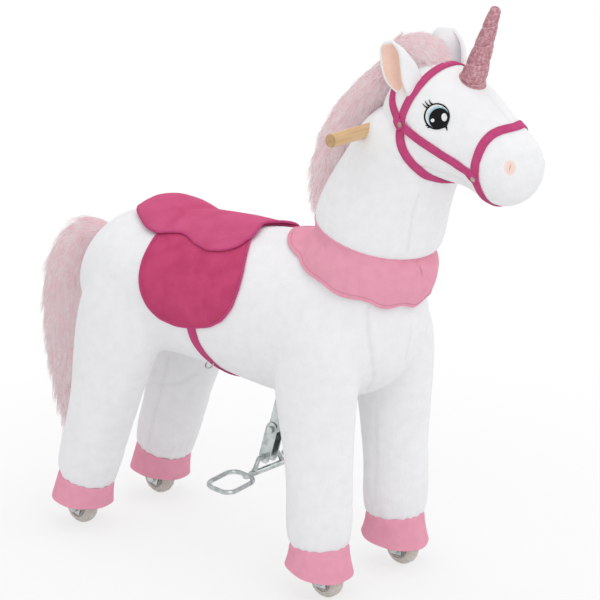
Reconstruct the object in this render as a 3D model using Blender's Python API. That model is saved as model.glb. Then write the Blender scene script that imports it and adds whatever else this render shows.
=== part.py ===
"""Plush ride-on unicorn on a spring-jointed steel walking frame.

The animal faces -Y, so its right side is at -X.  Z is up, the wheels stand on Z = 0, and the origin
is under the middle of the bounding box.  All lengths are in metres.

Inside the plush a box beam carries two cross tubes that turn in sleeves.  The front cross tube
carries the front leg tubes and the pedal arm, the rear one the rear leg tubes, and pushing the
pedals spreads the legs.  A steering post turns the neck and head with the wooden handle.
"""
import math

import bmesh
import bpy
from mathutils import Matrix, Vector

# Fits shared by all pieces
SEAT_GAP = 0.0003
WRAP_GAP = 0.0005
SWING_GAP = 0.0012
OVERRUN = 0.02
ROUND_SIDES = 16
SMOOTH_ANGLE = math.radians(35)

# Rolling base
WHEELBASE = 0.492
TRACK = 0.178
FRONT_AXLE_Y = -0.170
REAR_AXLE_Y = FRONT_AXLE_Y + WHEELBASE
WHEEL_RADIUS = 0.027
WHEEL_WIDTH = 0.024
TREAD_FLAT_WIDTH = 0.010
TREAD_CROWN_DROP = 0.0045
TYRE_SHOULDER_DROP = 0.0015
TYRE_WALL_INSET = 0.003
TYRE_INNER_RADIUS = 0.0165
WHEEL_FACETS = 24
HUB_FLANGE_WIDTH = 0.020
HUB_BOSS_RADIUS = 0.0085
AXLE_RADIUS = 0.004
AXLE_HEAD_RADIUS = 0.0065
AXLE_HEAD_LENGTH = 0.004
AXLE_SIDES = 12

# Wheel forks
FORK_PLATE = 0.003
FORK_SIDE_CLEARANCE = 0.0012
FORK_LENGTH = 0.020
FORK_TIP_DROP = 0.009
FORK_CROWN_CLEARANCE = 0.003
FORK_STEM_RADIUS = 0.008
FORK_STEM_LENGTH = 0.040

# Legs
PIVOT_Z = 0.390
FRONT_WHEEL_LEAD = 0.015
FRONT_PIVOT_Y = FRONT_AXLE_Y + FRONT_WHEEL_LEAD
REAR_PIVOT_Y = 0.215
LEG_SWING = math.radians(10)
LEG_TUBE_RADIUS = 0.011
LEG_TUBE_WALL = 0.0027
CROSS_TUBE_RADIUS = 0.012
CROSS_TUBE_WALL = 0.0025
CROSS_TUBE_END = 0.004
LEG_SIDES = 16
LEG_ANKLE_GAP = 0.012
FRONT_LEG_GIRTH = 0.098
REAR_LEG_GIRTH = 0.098
FRONT_SHOULDER_RADIUS = 0.068
REAR_HAUNCH_RADIUS = 0.078
HIP_INNER_X = 0.060
SHOULDER_OUTER_X = 0.125
HAUNCH_OUTER_X = 0.117
HIP_SIDES = 20
# height along the leg, half depth fore and aft, half width and shift to the back, as shares
FRONT_LEG_SHARES = (
    (0.124, 0.41, 0.41, 0.0),
    (0.142, 0.465, 0.465, 0.0),
    (0.185, 0.50, 0.50, 0.0),
    (0.26, 0.505, 0.50, 0.0),
    (0.40, 0.49, 0.485, 0.0),
    (0.56, 0.50, 0.48, 0.0),
    (0.70, 0.56, 0.48, 0.03),
    (0.83, 0.63, 0.47, 0.04),
    (0.95, 0.64, 0.42, 0.0),
    (1.0, 0.60, 0.36, 0.0),
)
REAR_LEG_SHARES = (
    (0.119, 0.41, 0.41, 0.0),
    (0.136, 0.465, 0.465, 0.0),
    (0.18, 0.50, 0.50, 0.0),
    (0.26, 0.51, 0.50, 0.0),
    (0.40, 0.53, 0.49, 0.01),
    (0.53, 0.59, 0.485, 0.03),
    (0.66, 0.69, 0.48, 0.06),
    (0.79, 0.79, 0.46, 0.07),
    (0.91, 0.83, 0.42, 0.05),
    (1.0, 0.78, 0.36, 0.0),
)
# reach out from the body and radius of the hip disc, as shares of its thickness and radius
FRONT_HIP_SHARES = ((0.0, 1.0), (0.70, 1.0), (0.84, 0.94), (0.93, 0.82), (0.98, 0.60), (1.0, 0.30))
REAR_HIP_SHARES = ((0.0, 1.0), (0.50, 1.0), (0.70, 0.93), (0.86, 0.80), (0.96, 0.58), (1.0, 0.28))

# Hoof cuffs
CUFF_TOP_RADIUS = 0.0435
CUFF_HEM_RADIUS = 0.051
CUFF_HEM_RISE = 0.008
CUFF_WALL = 0.003
CUFF_SHOULDER = 0.003
CUFF_SIDES = 18

# Seat frame
BEAM_WIDTH = 0.040
BEAM_HEIGHT = 0.025
BEAM_OVERHANG = 0.022
SLEEVE_WALL = 0.004
SLEEVE_INNER_X = 0.014
SLEEVE_OUTER_X = 0.040
SLEEVE_BITE = 0.002
BOARD_HALF_WIDTH = 0.055
BOARD_THICKNESS = 0.012
BOARD_FRONT_Y = -0.030
BOARD_REAR_Y = 0.270
FRAME_HOLLOW_CLEARANCE = 0.005
BOARD_CLEARANCE = 0.0005

# Torso
TORSO_FRONT_Y = -0.252
TORSO_LENGTH = 0.620
TORSO_DEPTH = 0.240
TORSO_WIDTH = 0.242
TORSO_CENTRE_Z = 0.396
TORSO_SIDES = 28
TORSO_STATIONS = 15
# share of the length from the chest, then rise of the centre, depth and width as shares
TORSO_SHARES = (
    (0.0, 0.05, 0.10, 0.10),
    (0.01, 0.05, 0.34, 0.32),
    (0.03, 0.045, 0.60, 0.58),
    (0.075, 0.035, 0.82, 0.79),
    (0.135, 0.020, 0.95, 0.90),
    (0.215, -0.005, 1.02, 0.97),
    (0.33, -0.027, 1.03, 0.995),
    (0.45, -0.022, 0.96, 1.00),
    (0.58, -0.007, 0.885, 1.00),
    (0.70, -0.007, 0.875, 1.00),
    (0.80, -0.010, 0.905, 0.97),
    (0.88, -0.020, 0.83, 0.86),
    (0.945, -0.045, 0.62, 0.64),
    (0.985, -0.060, 0.33, 0.34),
    (1.0, -0.065, 0.08, 0.08),
)

# Neck, turned by the steering post
NECK_BASE_Y = -0.188
NECK_BASE_Z = 0.528
STEER_TILT = math.radians(11.5)
NECK_LENGTH = 0.225
NECK_DEPTH = 0.188
NECK_WIDTH = 0.168
NECK_SIDES = 20
# share of the height above the base, forward lean, depth and width as shares
NECK_SHARES = (
    (0.0, 0.0, 1.00, 1.00),
    (0.07, 0.0, 1.04, 1.04),
    (0.18, 0.01, 1.03, 1.03),
    (0.38, 0.04, 0.95, 0.95),
    (0.60, 0.11, 0.86, 0.87),
    (0.80, 0.22, 0.80, 0.80),
    (1.0, 0.36, 0.70, 0.70),
)
HUMP_DEPTH = 0.090
# share of the depth below the base, backward shift, depth and width as shares of the neck's
HUMP_SHARES = ((0.0, 0.0, 0.985, 0.985), (0.45, 0.02, 1.02, 1.10), (1.0, 0.06, 0.98, 1.12))
POST_RADIUS = 0.009
POST_CLEARANCE = 0.0005
HEAD_TUBE_WALL = 0.003
HEAD_TUBE_TOP_DROP = 0.006
CLAMP_SIZE = 0.034
HANDLE_RADIUS = 0.010
HANDLE_LENGTH = 0.300
HANDLE_HEIGHT = 0.181
HANDLE_SIDES = 20

# Head
SKULL_Y = -0.303
SKULL_Z = 0.727
HEAD_DROP = math.radians(26.6)
HEAD_REACH = 0.263
SKULL_BACK = 0.084
HEAD_DEPTH = 0.160
HEAD_WIDTH = 0.156
HEAD_SIDES = 24
HEAD_STATIONS = 14
# share of the reach from the nape, rise of the middle, depth and width as shares
HEAD_SHARES = (
    (0.0, 0.0, 0.08, 0.08),
    (0.035, 0.0, 0.42, 0.42),
    (0.125, 0.0, 0.76, 0.76),
    (0.235, -0.01, 0.93, 0.95),
    (0.35, -0.02, 1.00, 1.00),
    (0.455, -0.01, 0.975, 0.93),
    (0.56, 0.02, 0.88, 0.81),
    (0.665, 0.045, 0.77, 0.745),
    (0.77, 0.03, 0.725, 0.75),
    (0.875, 0.0, 0.65, 0.68),
    (0.945, -0.01, 0.49, 0.52),
    (0.985, -0.01, 0.27, 0.28),
    (1.0, -0.01, 0.09, 0.09),
)

# Ears
EAR_LENGTH = 0.080
EAR_WIDTH = 0.038
EAR_THICKNESS = 0.012
EAR_BASE_X = 0.056
EAR_BASE_Y = -0.286
EAR_BASE_Z = 0.768
EAR_BACK_LEAN = math.radians(31)
EAR_OUTWARD_LEAN = math.radians(7)
EAR_TURN = math.radians(38)
EAR_SIDES = 14
EAR_CUP = 0.007
EAR_SHARES = ((0.0, 0.55, 0.9), (0.15, 0.82, 1.0), (0.38, 1.0, 1.0), (0.62, 0.86, 0.9), (0.82, 0.55, 0.75),
              (0.95, 0.24, 0.5), (1.0, 0.07, 0.25))

# Horn
HORN_BASE_Y = -0.350
HORN_BASE_Z = 0.768
HORN_TIP_Y = -0.3945
HORN_TIP_Z = 0.893
HORN_BASE_RADIUS = 0.0205
HORN_TIP_RADIUS = 0.007
HORN_SIDES = 14
HORN_RINGS = 19
HORN_TURNS = 4.5
HORN_GROOVE = 0.0014
HORN_ROUNDING = 0.0035

# Mane and forelock
MANE_WIDTH = 0.092
MANE_THICKNESS = 0.052
MANE_SIDES = 16
# crest of the neck from the forehead to the withers: y and z measured from the skull's middle as
# shares of the mane's drop, then width and thickness as shares
MANE_DROP = 0.190
MANE_SHARES = (
    (0.07, 0.50, 0.30, 0.30),
    (0.13, 0.49, 0.64, 0.66),
    (0.28, 0.405, 0.88, 0.88),
    (0.47, 0.24, 0.98, 0.98),
    (0.68, 0.06, 1.00, 1.00),
    (0.86, -0.16, 1.00, 1.00),
    (0.98, -0.40, 0.98, 0.96),
    (1.04, -0.62, 0.88, 0.84),
    (1.06, -0.78, 0.62, 0.60),
    (1.06, -0.86, 0.30, 0.32),
)
FORELOCK_SHARES = (
    (0.05, 0.44, 0.30, 0.30),
    (-0.03, 0.445, 0.62, 0.50),
    (-0.12, 0.43, 0.66, 0.50),
    (-0.20, 0.39, 0.50, 0.40),
    (-0.26, 0.345, 0.22, 0.24),
)

# Tail
TAIL_ROOT_Y = 0.3457
TAIL_ROOT_Z = 0.452
TAIL_FALL = 0.340
TAIL_WIDTH = 0.070
TAIL_THICKNESS = 0.080
TAIL_SIDES = 12
# y behind the root and z below it as shares of the fall, then width and thickness as shares
TAIL_SHARES = (
    (-0.02, 0.02, 0.36, 0.36),
    (0.06, -0.03, 0.50, 0.52),
    (0.14, 0.01, 0.68, 0.70),
    (0.205, 0.10, 0.86, 0.86),
    (0.235, 0.24, 0.98, 0.98),
    (0.245, 0.40, 1.00, 1.00),
    (0.24, 0.56, 0.96, 0.92),
    (0.225, 0.72, 0.80, 0.76),
    (0.215, 0.86, 0.56, 0.52),
    (0.21, 0.96, 0.28, 0.28),
    (0.21, 1.0, 0.10, 0.10),
)

# Saddle
BLANKET_THICKNESS = 0.005
BLANKET_FRONT_Y = -0.026
BLANKET_REAR_Y = 0.176
BLANKET_EDGE_Z = 0.482
BLANKET_TOP_Z = 0.512
BLANKET_TOP_SHIFT = 0.032
BLANKET_BOTTOM_Z = 0.376
BLANKET_STATIONS = 13
BLANKET_FULLNESS = 2.6
DRAPE_POINTS = 13
SEAT_FRONT_Y = 0.012
SEAT_REAR_Y = 0.248
SEAT_THICKNESS = 0.009
SEAT_EDGE_THICKNESS = 0.004
SEAT_STATIONS = 11
# share of the seat's length, how far down the flank it reaches (degrees from the top), padding share
SEAT_SHARES = (
    (0.0, 9, 0.5),
    (0.05, 30, 0.7),
    (0.11, 42, 0.75),
    (0.24, 47, 0.7),
    (0.41, 43, 0.65),
    (0.57, 37, 0.8),
    (0.72, 35, 1.4),
    (0.85, 31, 2.1),
    (0.95, 24, 1.8),
    (1.0, 12, 0.8),
)
GIRTH_Y = 0.072
GIRTH_WIDTH = 0.026
GIRTH_THICKNESS = 0.0025
GIRTH_TOP_Z = 0.375
GIRTH_RING_ANGLE = math.pi * 1.2
SMALL_TURN = math.radians(2)
GIRTH_RING_RADIUS = 0.008
GIRTH_RING_WIRE = 0.0014

# Collar
COLLAR_THICKNESS = 0.005
COLLAR_REAR_DROP = 0.040
COLLAR_FRONT_DROP = 0.068
COLLAR_SIDE_DROP = 0.010
COLLAR_SCALLOP = 0.005
COLLAR_SCALLOPS = 9
COLLAR_REACH = 0.175
COLLAR_SIDES = 45

# Bridle
BRIDLE_WIDTH = 0.013
BRIDLE_THICKNESS = 0.0022
# place along the head, tilt and bend of each ribbon, as shares of the head's reach
NOSEBAND_SHARES = (0.757, 0.030, 0.0)
BROWBAND_SHARES = (0.2544, 0.1385, 0.0971)
RIVET_RADIUS = 0.0055
RIVET_HEIGHT = 0.003
STRAP_RINGS = 4
STUD_SHARES = ((0.0, 1.0), (0.6, 0.97), (0.85, 0.7), (1.0, 0.25))
CHEEK_STRAP_TURN_SHARES = (-0.011, -0.145)

# Pedals
BOLT_Y = 0.005
BOLT_Z = 0.198
HANGER_LEAN = math.radians(17)
HANGER_BOLT_TO_EYE = 0.047
HANGER_END = 0.012
HANGER_PLATE = 0.002
HANGER_INNER_WIDTH = 0.0150
HANGER_DEPTH = 0.021
ARM_WIDTH = 0.014
ARM_DEPTH = 0.016
ARM_KNEE_Z = 0.292
ARM_ROOT_DROP = 0.006
ARM_SLOT_CLEARANCE = 0.003
BOLT_RADIUS = 0.003
BOLT_HEAD_RADIUS = 0.0055
BOLT_HEAD_LENGTH = 0.0035
PEDAL_ROD_RADIUS = 0.0036
PEDAL_BAR_RADIUS = 0.0045
PEDAL_BAR_DROP = 0.0205
BRACKET_TOP_HALF = 0.022
BRACKET_BOTTOM_HALF = 0.033
PEDAL_BAR_HALF = 0.0385
LOOP_CENTRE_X = 0.0855
LOOP_LENGTH = 0.086
LOOP_DEPTH = 0.057
LOOP_CORNER = 0.024
LOOP_CORNER_POINTS = 5
ROD_RESOLUTION = 2

FINISHES = {
    "plush": ((0.86, 0.87, 0.87), 0.95, 0.0),
    "hair": ((0.86, 0.56, 0.61), 0.85, 0.0),
    "felt": ((0.80, 0.32, 0.47), 0.9, 0.0),
    "saddle": ((0.60, 0.07, 0.22), 0.7, 0.0),
    "horn": ((0.57, 0.22, 0.30), 0.35, 0.6),
    "steel": ((0.42, 0.45, 0.44), 0.35, 1.0),
    "wood": ((0.74, 0.50, 0.26), 0.55, 0.0),
    "rubber": ((0.55, 0.53, 0.49), 0.35, 0.0),
    "plastic": ((0.72, 0.72, 0.70), 0.4, 0.0),
}

X_AXIS = Vector((1, 0, 0))
Y_AXIS = Vector((0, 1, 0))
Z_AXIS = Vector((0, 0, 1))


def clear_scene():
    """Empty the scene that Blender opened with."""
    for item in list(bpy.data.objects):
        bpy.data.objects.remove(item, do_unlink=True)


def finish_material(key):
    """One Principled material for each finish."""
    found = bpy.data.materials.get(key)
    if found:
        return found
    colour, roughness, metallic = FINISHES[key]
    material = bpy.data.materials.new(key)
    material.use_nodes = True
    shader = material.node_tree.nodes["Principled BSDF"]
    shader.inputs["Base Color"].default_value = (*colour, 1.0)
    shader.inputs["Roughness"].default_value = roughness
    shader.inputs["Metallic"].default_value = metallic
    return material


def add_carrier(name, place):
    """An empty on a joint's axis, which carries the pieces that move with it."""
    carrier = bpy.data.objects.new(name, None)
    carrier.location = place
    bpy.context.collection.objects.link(carrier)
    return carrier


def add_piece(name, bm, finish, carrier):
    """Make a mesh built in world coordinates into an object whose origin is its carrier's."""
    bm.transform(Matrix.Translation(-carrier.location))
    mesh = bpy.data.meshes.new(name)
    bm.to_mesh(mesh)
    bm.free()
    mesh.shade_smooth()
    mesh.set_sharp_from_angle(angle=SMOOTH_ANGLE)
    mesh.materials.append(finish_material(finish))
    piece = bpy.data.objects.new(name, mesh)
    bpy.context.collection.objects.link(piece)
    piece.parent = carrier
    return piece


def combine(piece, bm, operation):
    """Cut a mesh from a piece, or join or intersect them, with a hidden cutter object."""
    mesh = bpy.data.meshes.new(piece.name + "_cutter")
    bm.to_mesh(mesh)
    bm.free()
    cutter = bpy.data.objects.new(mesh.name, mesh)
    cutter.hide_render = True
    cutter.display_type = "WIRE"
    bpy.context.collection.objects.link(cutter)
    modifier = piece.modifiers.new(operation.title(), "BOOLEAN")
    modifier.operation = operation
    modifier.object = cutter
    return cutter


def cut(piece, bm):
    """Take a mesh away from a piece."""
    return combine(piece, bm, "DIFFERENCE")


def join(piece, bm):
    """Weld a mesh to a piece."""
    combine(piece, bm, "UNION")


def read_table(table, share):
    """Read the columns of a table at a share, on a smooth curve through its rows."""
    last = len(table) - 1
    row = 0
    while row < last - 1 and share > table[row + 1][0]:
        row += 1
    before, start = table[max(row - 1, 0)], table[row]
    end, after = table[row + 1], table[min(row + 2, last)]
    span = end[0] - start[0]
    part = min(max((share - start[0]) / span, 0), 1)
    values = []
    for column in range(1, len(start)):
        leave = (end[column] - before[column]) / (end[0] - before[0]) * span
        arrive = (after[column] - start[column]) / (after[0] - start[0]) * span
        square, cube = part ** 2, part ** 3
        values.append((2 * cube - 3 * square + 1) * start[column] + (cube - 2 * square + part) * leave
                      + (3 * square - 2 * cube) * end[column] + (cube - square) * arrive)
    return values


def oval(centre, across, upward, half_across, half_upward, sides):
    """Points round an oval, from the positive across axis towards upward."""
    points = []
    for corner in range(sides):
        turn = 2 * math.pi * (corner + 0.5) / sides
        points.append(centre + across * half_across * math.cos(turn) + upward * half_upward * math.sin(turn))
    return points


def loft(rings):
    """Closed skin through rings with the same number of points, with a face over each end."""
    bm = bmesh.new()
    loops = [[bm.verts.new(point) for point in ring] for ring in rings]
    count = len(loops[0])
    for near, far in zip(loops, loops[1:]):
        for corner in range(count):
            beside = (corner + 1) % count
            bm.faces.new((near[corner], near[beside], far[beside], far[corner]))
    bm.faces.new(loops[0])
    bm.faces.new(loops[-1])
    bmesh.ops.recalc_face_normals(bm, faces=bm.faces)
    return bm


def closed_band(rings):
    """Skin through rings that come round to the first again."""
    bm = bmesh.new()
    loops = [[bm.verts.new(point) for point in ring] for ring in rings]
    count = len(loops[0])
    for place, near in enumerate(loops):
        far = loops[(place + 1) % len(loops)]
        for corner in range(count):
            beside = (corner + 1) % count
            bm.faces.new((near[corner], near[beside], far[beside], far[corner]))
    bmesh.ops.recalc_face_normals(bm, faces=bm.faces)
    return bm


def turned(profile, centre, axis, sides, phase=0.5):
    """Revolve a closed profile of (distance along the axis, radius) about an axis."""
    side = axis.orthogonal().normalized()
    other = axis.cross(side)
    rings = []
    for step in range(sides):
        turn = 2 * math.pi * (step + phase) / sides
        outward = side * math.cos(turn) + other * math.sin(turn)
        rings.append([centre + axis * along + outward * radius for along, radius in profile])
    return closed_band(rings)


def rod(start, end, radius, sides):
    """A straight round bar between two points."""
    axis = (end - start).normalized()
    side = axis.orthogonal().normalized()
    other = axis.cross(side)
    return loft([oval(start, side, other, radius, radius, sides), oval(end, side, other, radius, radius, sides)])


def block(low, high):
    """A box between two corners."""
    bm = bmesh.new()
    bmesh.ops.create_cube(bm, size=1)
    size = high - low
    bm.transform(Matrix.Translation((low + high) / 2) @ Matrix.Diagonal((*size, 1)))
    return bm


def hull_of(meshes):
    """The convex hull round several meshes, which are used up."""
    bm = bmesh.new()
    for mesh in meshes:
        for vertex in mesh.verts:
            bm.verts.new(vertex.co)
        mesh.free()
    result = bmesh.ops.convex_hull(bm, input=bm.verts)
    loose = [item for item in result["geom_interior"] if isinstance(item, bmesh.types.BMVert)]
    bmesh.ops.delete(bm, geom=loose, context="VERTS")
    bmesh.ops.recalc_face_normals(bm, faces=bm.faces)
    return bm


def turned_about(bm, pivot, angle):
    """Turn a mesh about an X axis through a pivot."""
    bm.transform(Matrix.Translation(pivot) @ Matrix.Rotation(angle, 4, "X") @ Matrix.Translation(-pivot))
    return bm


def wire(name, points, radius, finish, carrier, closed=False):
    """A bent round rod as a curve with a bevel and filled caps."""
    curve = bpy.data.curves.new(name, "CURVE")
    curve.dimensions = "3D"
    curve.bevel_depth = radius
    curve.bevel_resolution = ROD_RESOLUTION
    curve.use_fill_caps = True
    spline = curve.splines.new("POLY")
    spline.points.add(len(points) - 1)
    for place, point in zip(spline.points, points):
        place.co = (*(point - carrier.location), 1)
    spline.use_cyclic_u = closed
    curve.materials.append(finish_material(finish))
    piece = bpy.data.objects.new(name, curve)
    bpy.context.collection.objects.link(piece)
    piece.parent = carrier
    return piece


class Leg:
    """One leg: its place, its lean and the tables that shape its plush."""

    def __init__(self, end, side):
        front = end == "front"
        self.end = end
        self.side = side
        self.label = f"{end}_{'left' if side > 0 else 'right'}"
        x = side * TRACK / 2
        self.lead = FRONT_WHEEL_LEAD if front else 0.0
        self.axle = Vector((x, FRONT_AXLE_Y if front else REAR_AXLE_Y, WHEEL_RADIUS))
        self.foot = self.axle + Y_AXIS * self.lead
        self.pivot = Vector((x, FRONT_PIVOT_Y if front else REAR_PIVOT_Y, PIVOT_Z))
        self.up = (self.pivot - self.foot).normalized()
        self.back = self.up.cross(X_AXIS)
        self.length = (self.pivot - self.foot).length
        self.shares = FRONT_LEG_SHARES if front else REAR_LEG_SHARES
        self.girth = FRONT_LEG_GIRTH if front else REAR_LEG_GIRTH
        self.hip_radius = FRONT_SHOULDER_RADIUS if front else REAR_HAUNCH_RADIUS
        self.hip_shares = FRONT_HIP_SHARES if front else REAR_HIP_SHARES
        self.hip_outer_x = SHOULDER_OUTER_X if front else HAUNCH_OUTER_X
        self.swing = -LEG_SWING if front else LEG_SWING

    def at(self, height, back=0.0, across=0.0):
        """A point at a height up the middle line of the leg, which starts level with the axle."""
        return self.foot + self.up * height + self.back * back + X_AXIS * across

    def limb(self, grow=0.0):
        """The tapering limb below the hip."""
        rings = []
        for height, depth, width, back in self.shares:
            rings.append(oval(self.at(height * self.length, back * self.girth), X_AXIS, self.back,
                              width * self.girth + grow, depth * self.girth + grow, LEG_SIDES))
        return loft(rings)

    def hip(self, grow=0.0):
        """The disc round the pivot, turned about the swing axis so that it fills its socket."""
        thickness = self.hip_outer_x - HIP_INNER_X
        centre = Vector((self.side * (HIP_INNER_X - grow), self.pivot.y, self.pivot.z))
        axis = X_AXIS * self.side
        side = axis.orthogonal().normalized()
        other = axis.cross(side)
        rings = []
        for reach, radius in self.hip_shares:
            around = radius * self.hip_radius + grow
            place = centre + axis * (reach * thickness + 2 * grow * math.ceil(reach))
            rings.append(oval(place, side, other, around, around, HIP_SIDES))
        return loft(rings)

    def swept_limb(self, clearance):
        """The room that the limb needs from rest to the end of its swing."""
        return hull_of([turned_about(self.limb(clearance), self.pivot, self.swing * step / 2)
                        for step in range(3)])

    def hip_socket(self, clearance):
        """A round socket, open to the side, for the hip disc."""
        start = Vector((self.side * (HIP_INNER_X - clearance), self.pivot.y, self.pivot.z))
        return rod(start, start + X_AXIS * self.side * (TORSO_WIDTH / 2 + OVERRUN),
                   self.hip_radius + clearance, HIP_SIDES)


def torso_section(y, grow=0.0):
    """Height of the middle, half depth and half width of the barrel at a place along it."""
    rise, depth, width = read_table(TORSO_SHARES, (y - TORSO_FRONT_Y) / TORSO_LENGTH)
    return (TORSO_CENTRE_Z + rise * TORSO_DEPTH, depth * TORSO_DEPTH / 2 + grow, width * TORSO_WIDTH / 2 + grow)


def torso_point(y, angle, grow):
    """A point on the barrel, at an angle from its top towards +X."""
    middle, half_depth, half_width = torso_section(y, grow)
    return Vector((half_width * math.sin(angle), y, middle + half_depth * math.cos(angle)))


def torso_angle(y, z, grow):
    """The angle from the top at which the barrel's side is at a height."""
    middle, half_depth, _ = torso_section(y, grow)
    return math.acos(min(max((z - middle) / half_depth, -1), 1))


def barrel(grow=0.0):
    """The torso's barrel from chest to rump."""
    rings = []
    for station in range(TORSO_STATIONS):
        share = (1 - math.cos(math.pi * station / (TORSO_STATIONS - 1))) / 2
        y = TORSO_FRONT_Y + share * TORSO_LENGTH
        middle, half_depth, half_width = torso_section(y, grow)
        stretch = grow * (2 * share - 1)
        rings.append(oval(Vector((0, y + stretch, middle)), X_AXIS, Z_AXIS, half_width, half_depth, TORSO_SIDES))
    return loft(rings)


def steering_axis():
    """The direction of the steering post, upwards."""
    return Vector((0, -math.sin(STEER_TILT), math.cos(STEER_TILT)))


def neck_base():
    """The middle of the joint between neck and torso."""
    return Vector((0, NECK_BASE_Y, NECK_BASE_Z))


def neck_back():
    """The direction square to the steering post, towards the tail."""
    return Vector((0, math.cos(STEER_TILT), math.sin(STEER_TILT)))


def hump(grow=0.0):
    """The swelling of the shoulders up to the neck's joint."""
    rings = []
    for drop, back, depth, width in HUMP_SHARES:
        centre = neck_base() - steering_axis() * drop * HUMP_DEPTH + neck_back() * back * NECK_DEPTH
        rings.append(oval(centre, X_AXIS, neck_back(), width * NECK_WIDTH / 2 + grow,
                          depth * NECK_DEPTH / 2 + grow, TORSO_SIDES))
    return loft(rings)


def neck_loft(grow=0.0):
    """The neck from its joint into the head."""
    rings = []
    for height, lean, depth, width in NECK_SHARES:
        lift = height * NECK_LENGTH + SEAT_GAP
        centre = neck_base() + steering_axis() * lift - neck_back() * lean * NECK_LENGTH
        rings.append(oval(centre, X_AXIS, neck_back(), width * NECK_WIDTH / 2 + grow,
                          depth * NECK_DEPTH / 2 + grow, NECK_SIDES))
    return loft(rings)


def head_axes():
    """The head's forward direction, down the nose, and its upward one."""
    forward = Vector((0, -math.cos(HEAD_DROP), -math.sin(HEAD_DROP)))
    upward = Vector((0, -math.sin(HEAD_DROP), math.cos(HEAD_DROP)))
    return forward, upward


def head_point(share, angle, grow, along=0.0):
    """A point on the head at an angle from its left side towards its top."""
    rise, depth, width = read_table(HEAD_SHARES, share)
    forward, upward = head_axes()
    place = Vector((0, SKULL_Y, SKULL_Z)) + forward * (share * HEAD_REACH - SKULL_BACK + along)
    half_depth = depth * HEAD_DEPTH / 2 + grow
    half_width = width * HEAD_WIDTH / 2 + grow
    return (place + upward * (rise * HEAD_DEPTH + half_depth * math.sin(angle))
            + X_AXIS * half_width * math.cos(angle))


def head_angles():
    """The angles of the head's corners, which the ribbons share."""
    return [2 * math.pi * (corner + 0.5) / HEAD_SIDES for corner in range(HEAD_SIDES)]


def head_loft(grow=0.0):
    """The head from nape to muzzle."""
    rings = []
    for station in range(HEAD_STATIONS):
        share = (1 - math.cos(math.pi * station / (HEAD_STATIONS - 1))) / 2
        stretch = grow * (2 * share - 1)
        rings.append([head_point(share, angle, grow, stretch) for angle in head_angles()])
    return loft(rings)


def build_wheel(leg, carrier):
    """A crowned tyre on a dished hub."""
    half = WHEEL_WIDTH / 2
    reach = WHEEL_RADIUS / math.cos(math.pi / WHEEL_FACETS)
    flat = TREAD_FLAT_WIDTH / 2
    tyre = [(-half, TYRE_INNER_RADIUS), (-half, reach - TREAD_CROWN_DROP - TYRE_WALL_INSET),
            (-flat - TYRE_WALL_INSET, reach - TYRE_SHOULDER_DROP), (-flat, reach), (flat, reach),
            (flat + TYRE_WALL_INSET, reach - TYRE_SHOULDER_DROP),
            (half, reach - TREAD_CROWN_DROP - TYRE_WALL_INSET), (half, TYRE_INNER_RADIUS)]
    add_piece(f"tyre_{leg.label}", turned(tyre, leg.axle, X_AXIS, WHEEL_FACETS), "rubber", carrier)
    rim = TYRE_INNER_RADIUS * math.cos(math.pi / WHEEL_FACETS) - SEAT_GAP
    face = HUB_FLANGE_WIDTH / 2
    bore = AXLE_RADIUS + SEAT_GAP
    hub = [(-half, bore), (-half, HUB_BOSS_RADIUS), (-face, rim), (face, rim), (half, HUB_BOSS_RADIUS), (half, bore)]
    add_piece(f"hub_{leg.label}", turned(hub, leg.axle, X_AXIS, ROUND_SIDES), "plastic", carrier)


def build_axle(leg, carrier):
    """The wheel's bolt with its head and nut outside the fork."""
    inner = WHEEL_WIDTH / 2 + FORK_SIDE_CLEARANCE + FORK_PLATE + SEAT_GAP
    outer = inner + AXLE_HEAD_LENGTH
    axis = X_AXIS * leg.side
    shaft = rod(leg.axle - axis * outer, leg.axle + axis * outer, AXLE_RADIUS, AXLE_SIDES)
    piece = add_piece(f"axle_{leg.label}", shaft, "steel", carrier)
    for way in (-1, 1):
        join(piece, rod(leg.axle + axis * way * inner, leg.axle + axis * way * (outer + AXLE_HEAD_LENGTH / 2),
                        AXLE_HEAD_RADIUS, AXLE_SIDES // 2))


def fork_mesh(leg):
    """The folded plate round the wheel, whose arms reach forward to the axle where the wheel leads."""
    inner = WHEEL_WIDTH / 2 + FORK_SIDE_CLEARANCE
    outer = inner + FORK_PLATE
    under = WHEEL_RADIUS + FORK_CROWN_CLEARANCE
    top = under + FORK_PLATE
    outline = [(outer, -FORK_TIP_DROP), (outer, top), (-outer, top), (-outer, -FORK_TIP_DROP),
               (-inner, -FORK_TIP_DROP), (-inner, under), (inner, under), (inner, -FORK_TIP_DROP)]
    rings = []
    for edge in (-1, 1):
        ring = []
        for across, height in outline:
            lead = leg.lead if edge < 0 else leg.lead * (top - height) / (top + FORK_TIP_DROP)
            ring.append(leg.at(height, edge * FORK_LENGTH / 2 - lead, across))
        rings.append(ring)
    return loft(rings)


def build_fork(leg, carrier):
    """A folded fork round the wheel with a stem that goes up into the leg tube."""
    piece = add_piece(f"fork_{leg.label}", fork_mesh(leg), "steel", carrier)
    crown = WHEEL_RADIUS + FORK_CROWN_CLEARANCE + FORK_PLATE
    join(piece, rod(leg.at(crown - FORK_PLATE / 2), leg.at(crown + FORK_STEM_LENGTH), FORK_STEM_RADIUS, ROUND_SIDES))
    reach = X_AXIS * (WHEEL_WIDTH / 2 + FORK_PLATE + OVERRUN)
    cut(piece, rod(leg.axle - reach, leg.axle + reach, AXLE_RADIUS + SEAT_GAP, AXLE_SIDES))


def leg_tube_bottom():
    """Height along the leg where the tube ends above the fork's crown."""
    return WHEEL_RADIUS + FORK_CROWN_CLEARANCE + FORK_PLATE + SEAT_GAP


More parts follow.
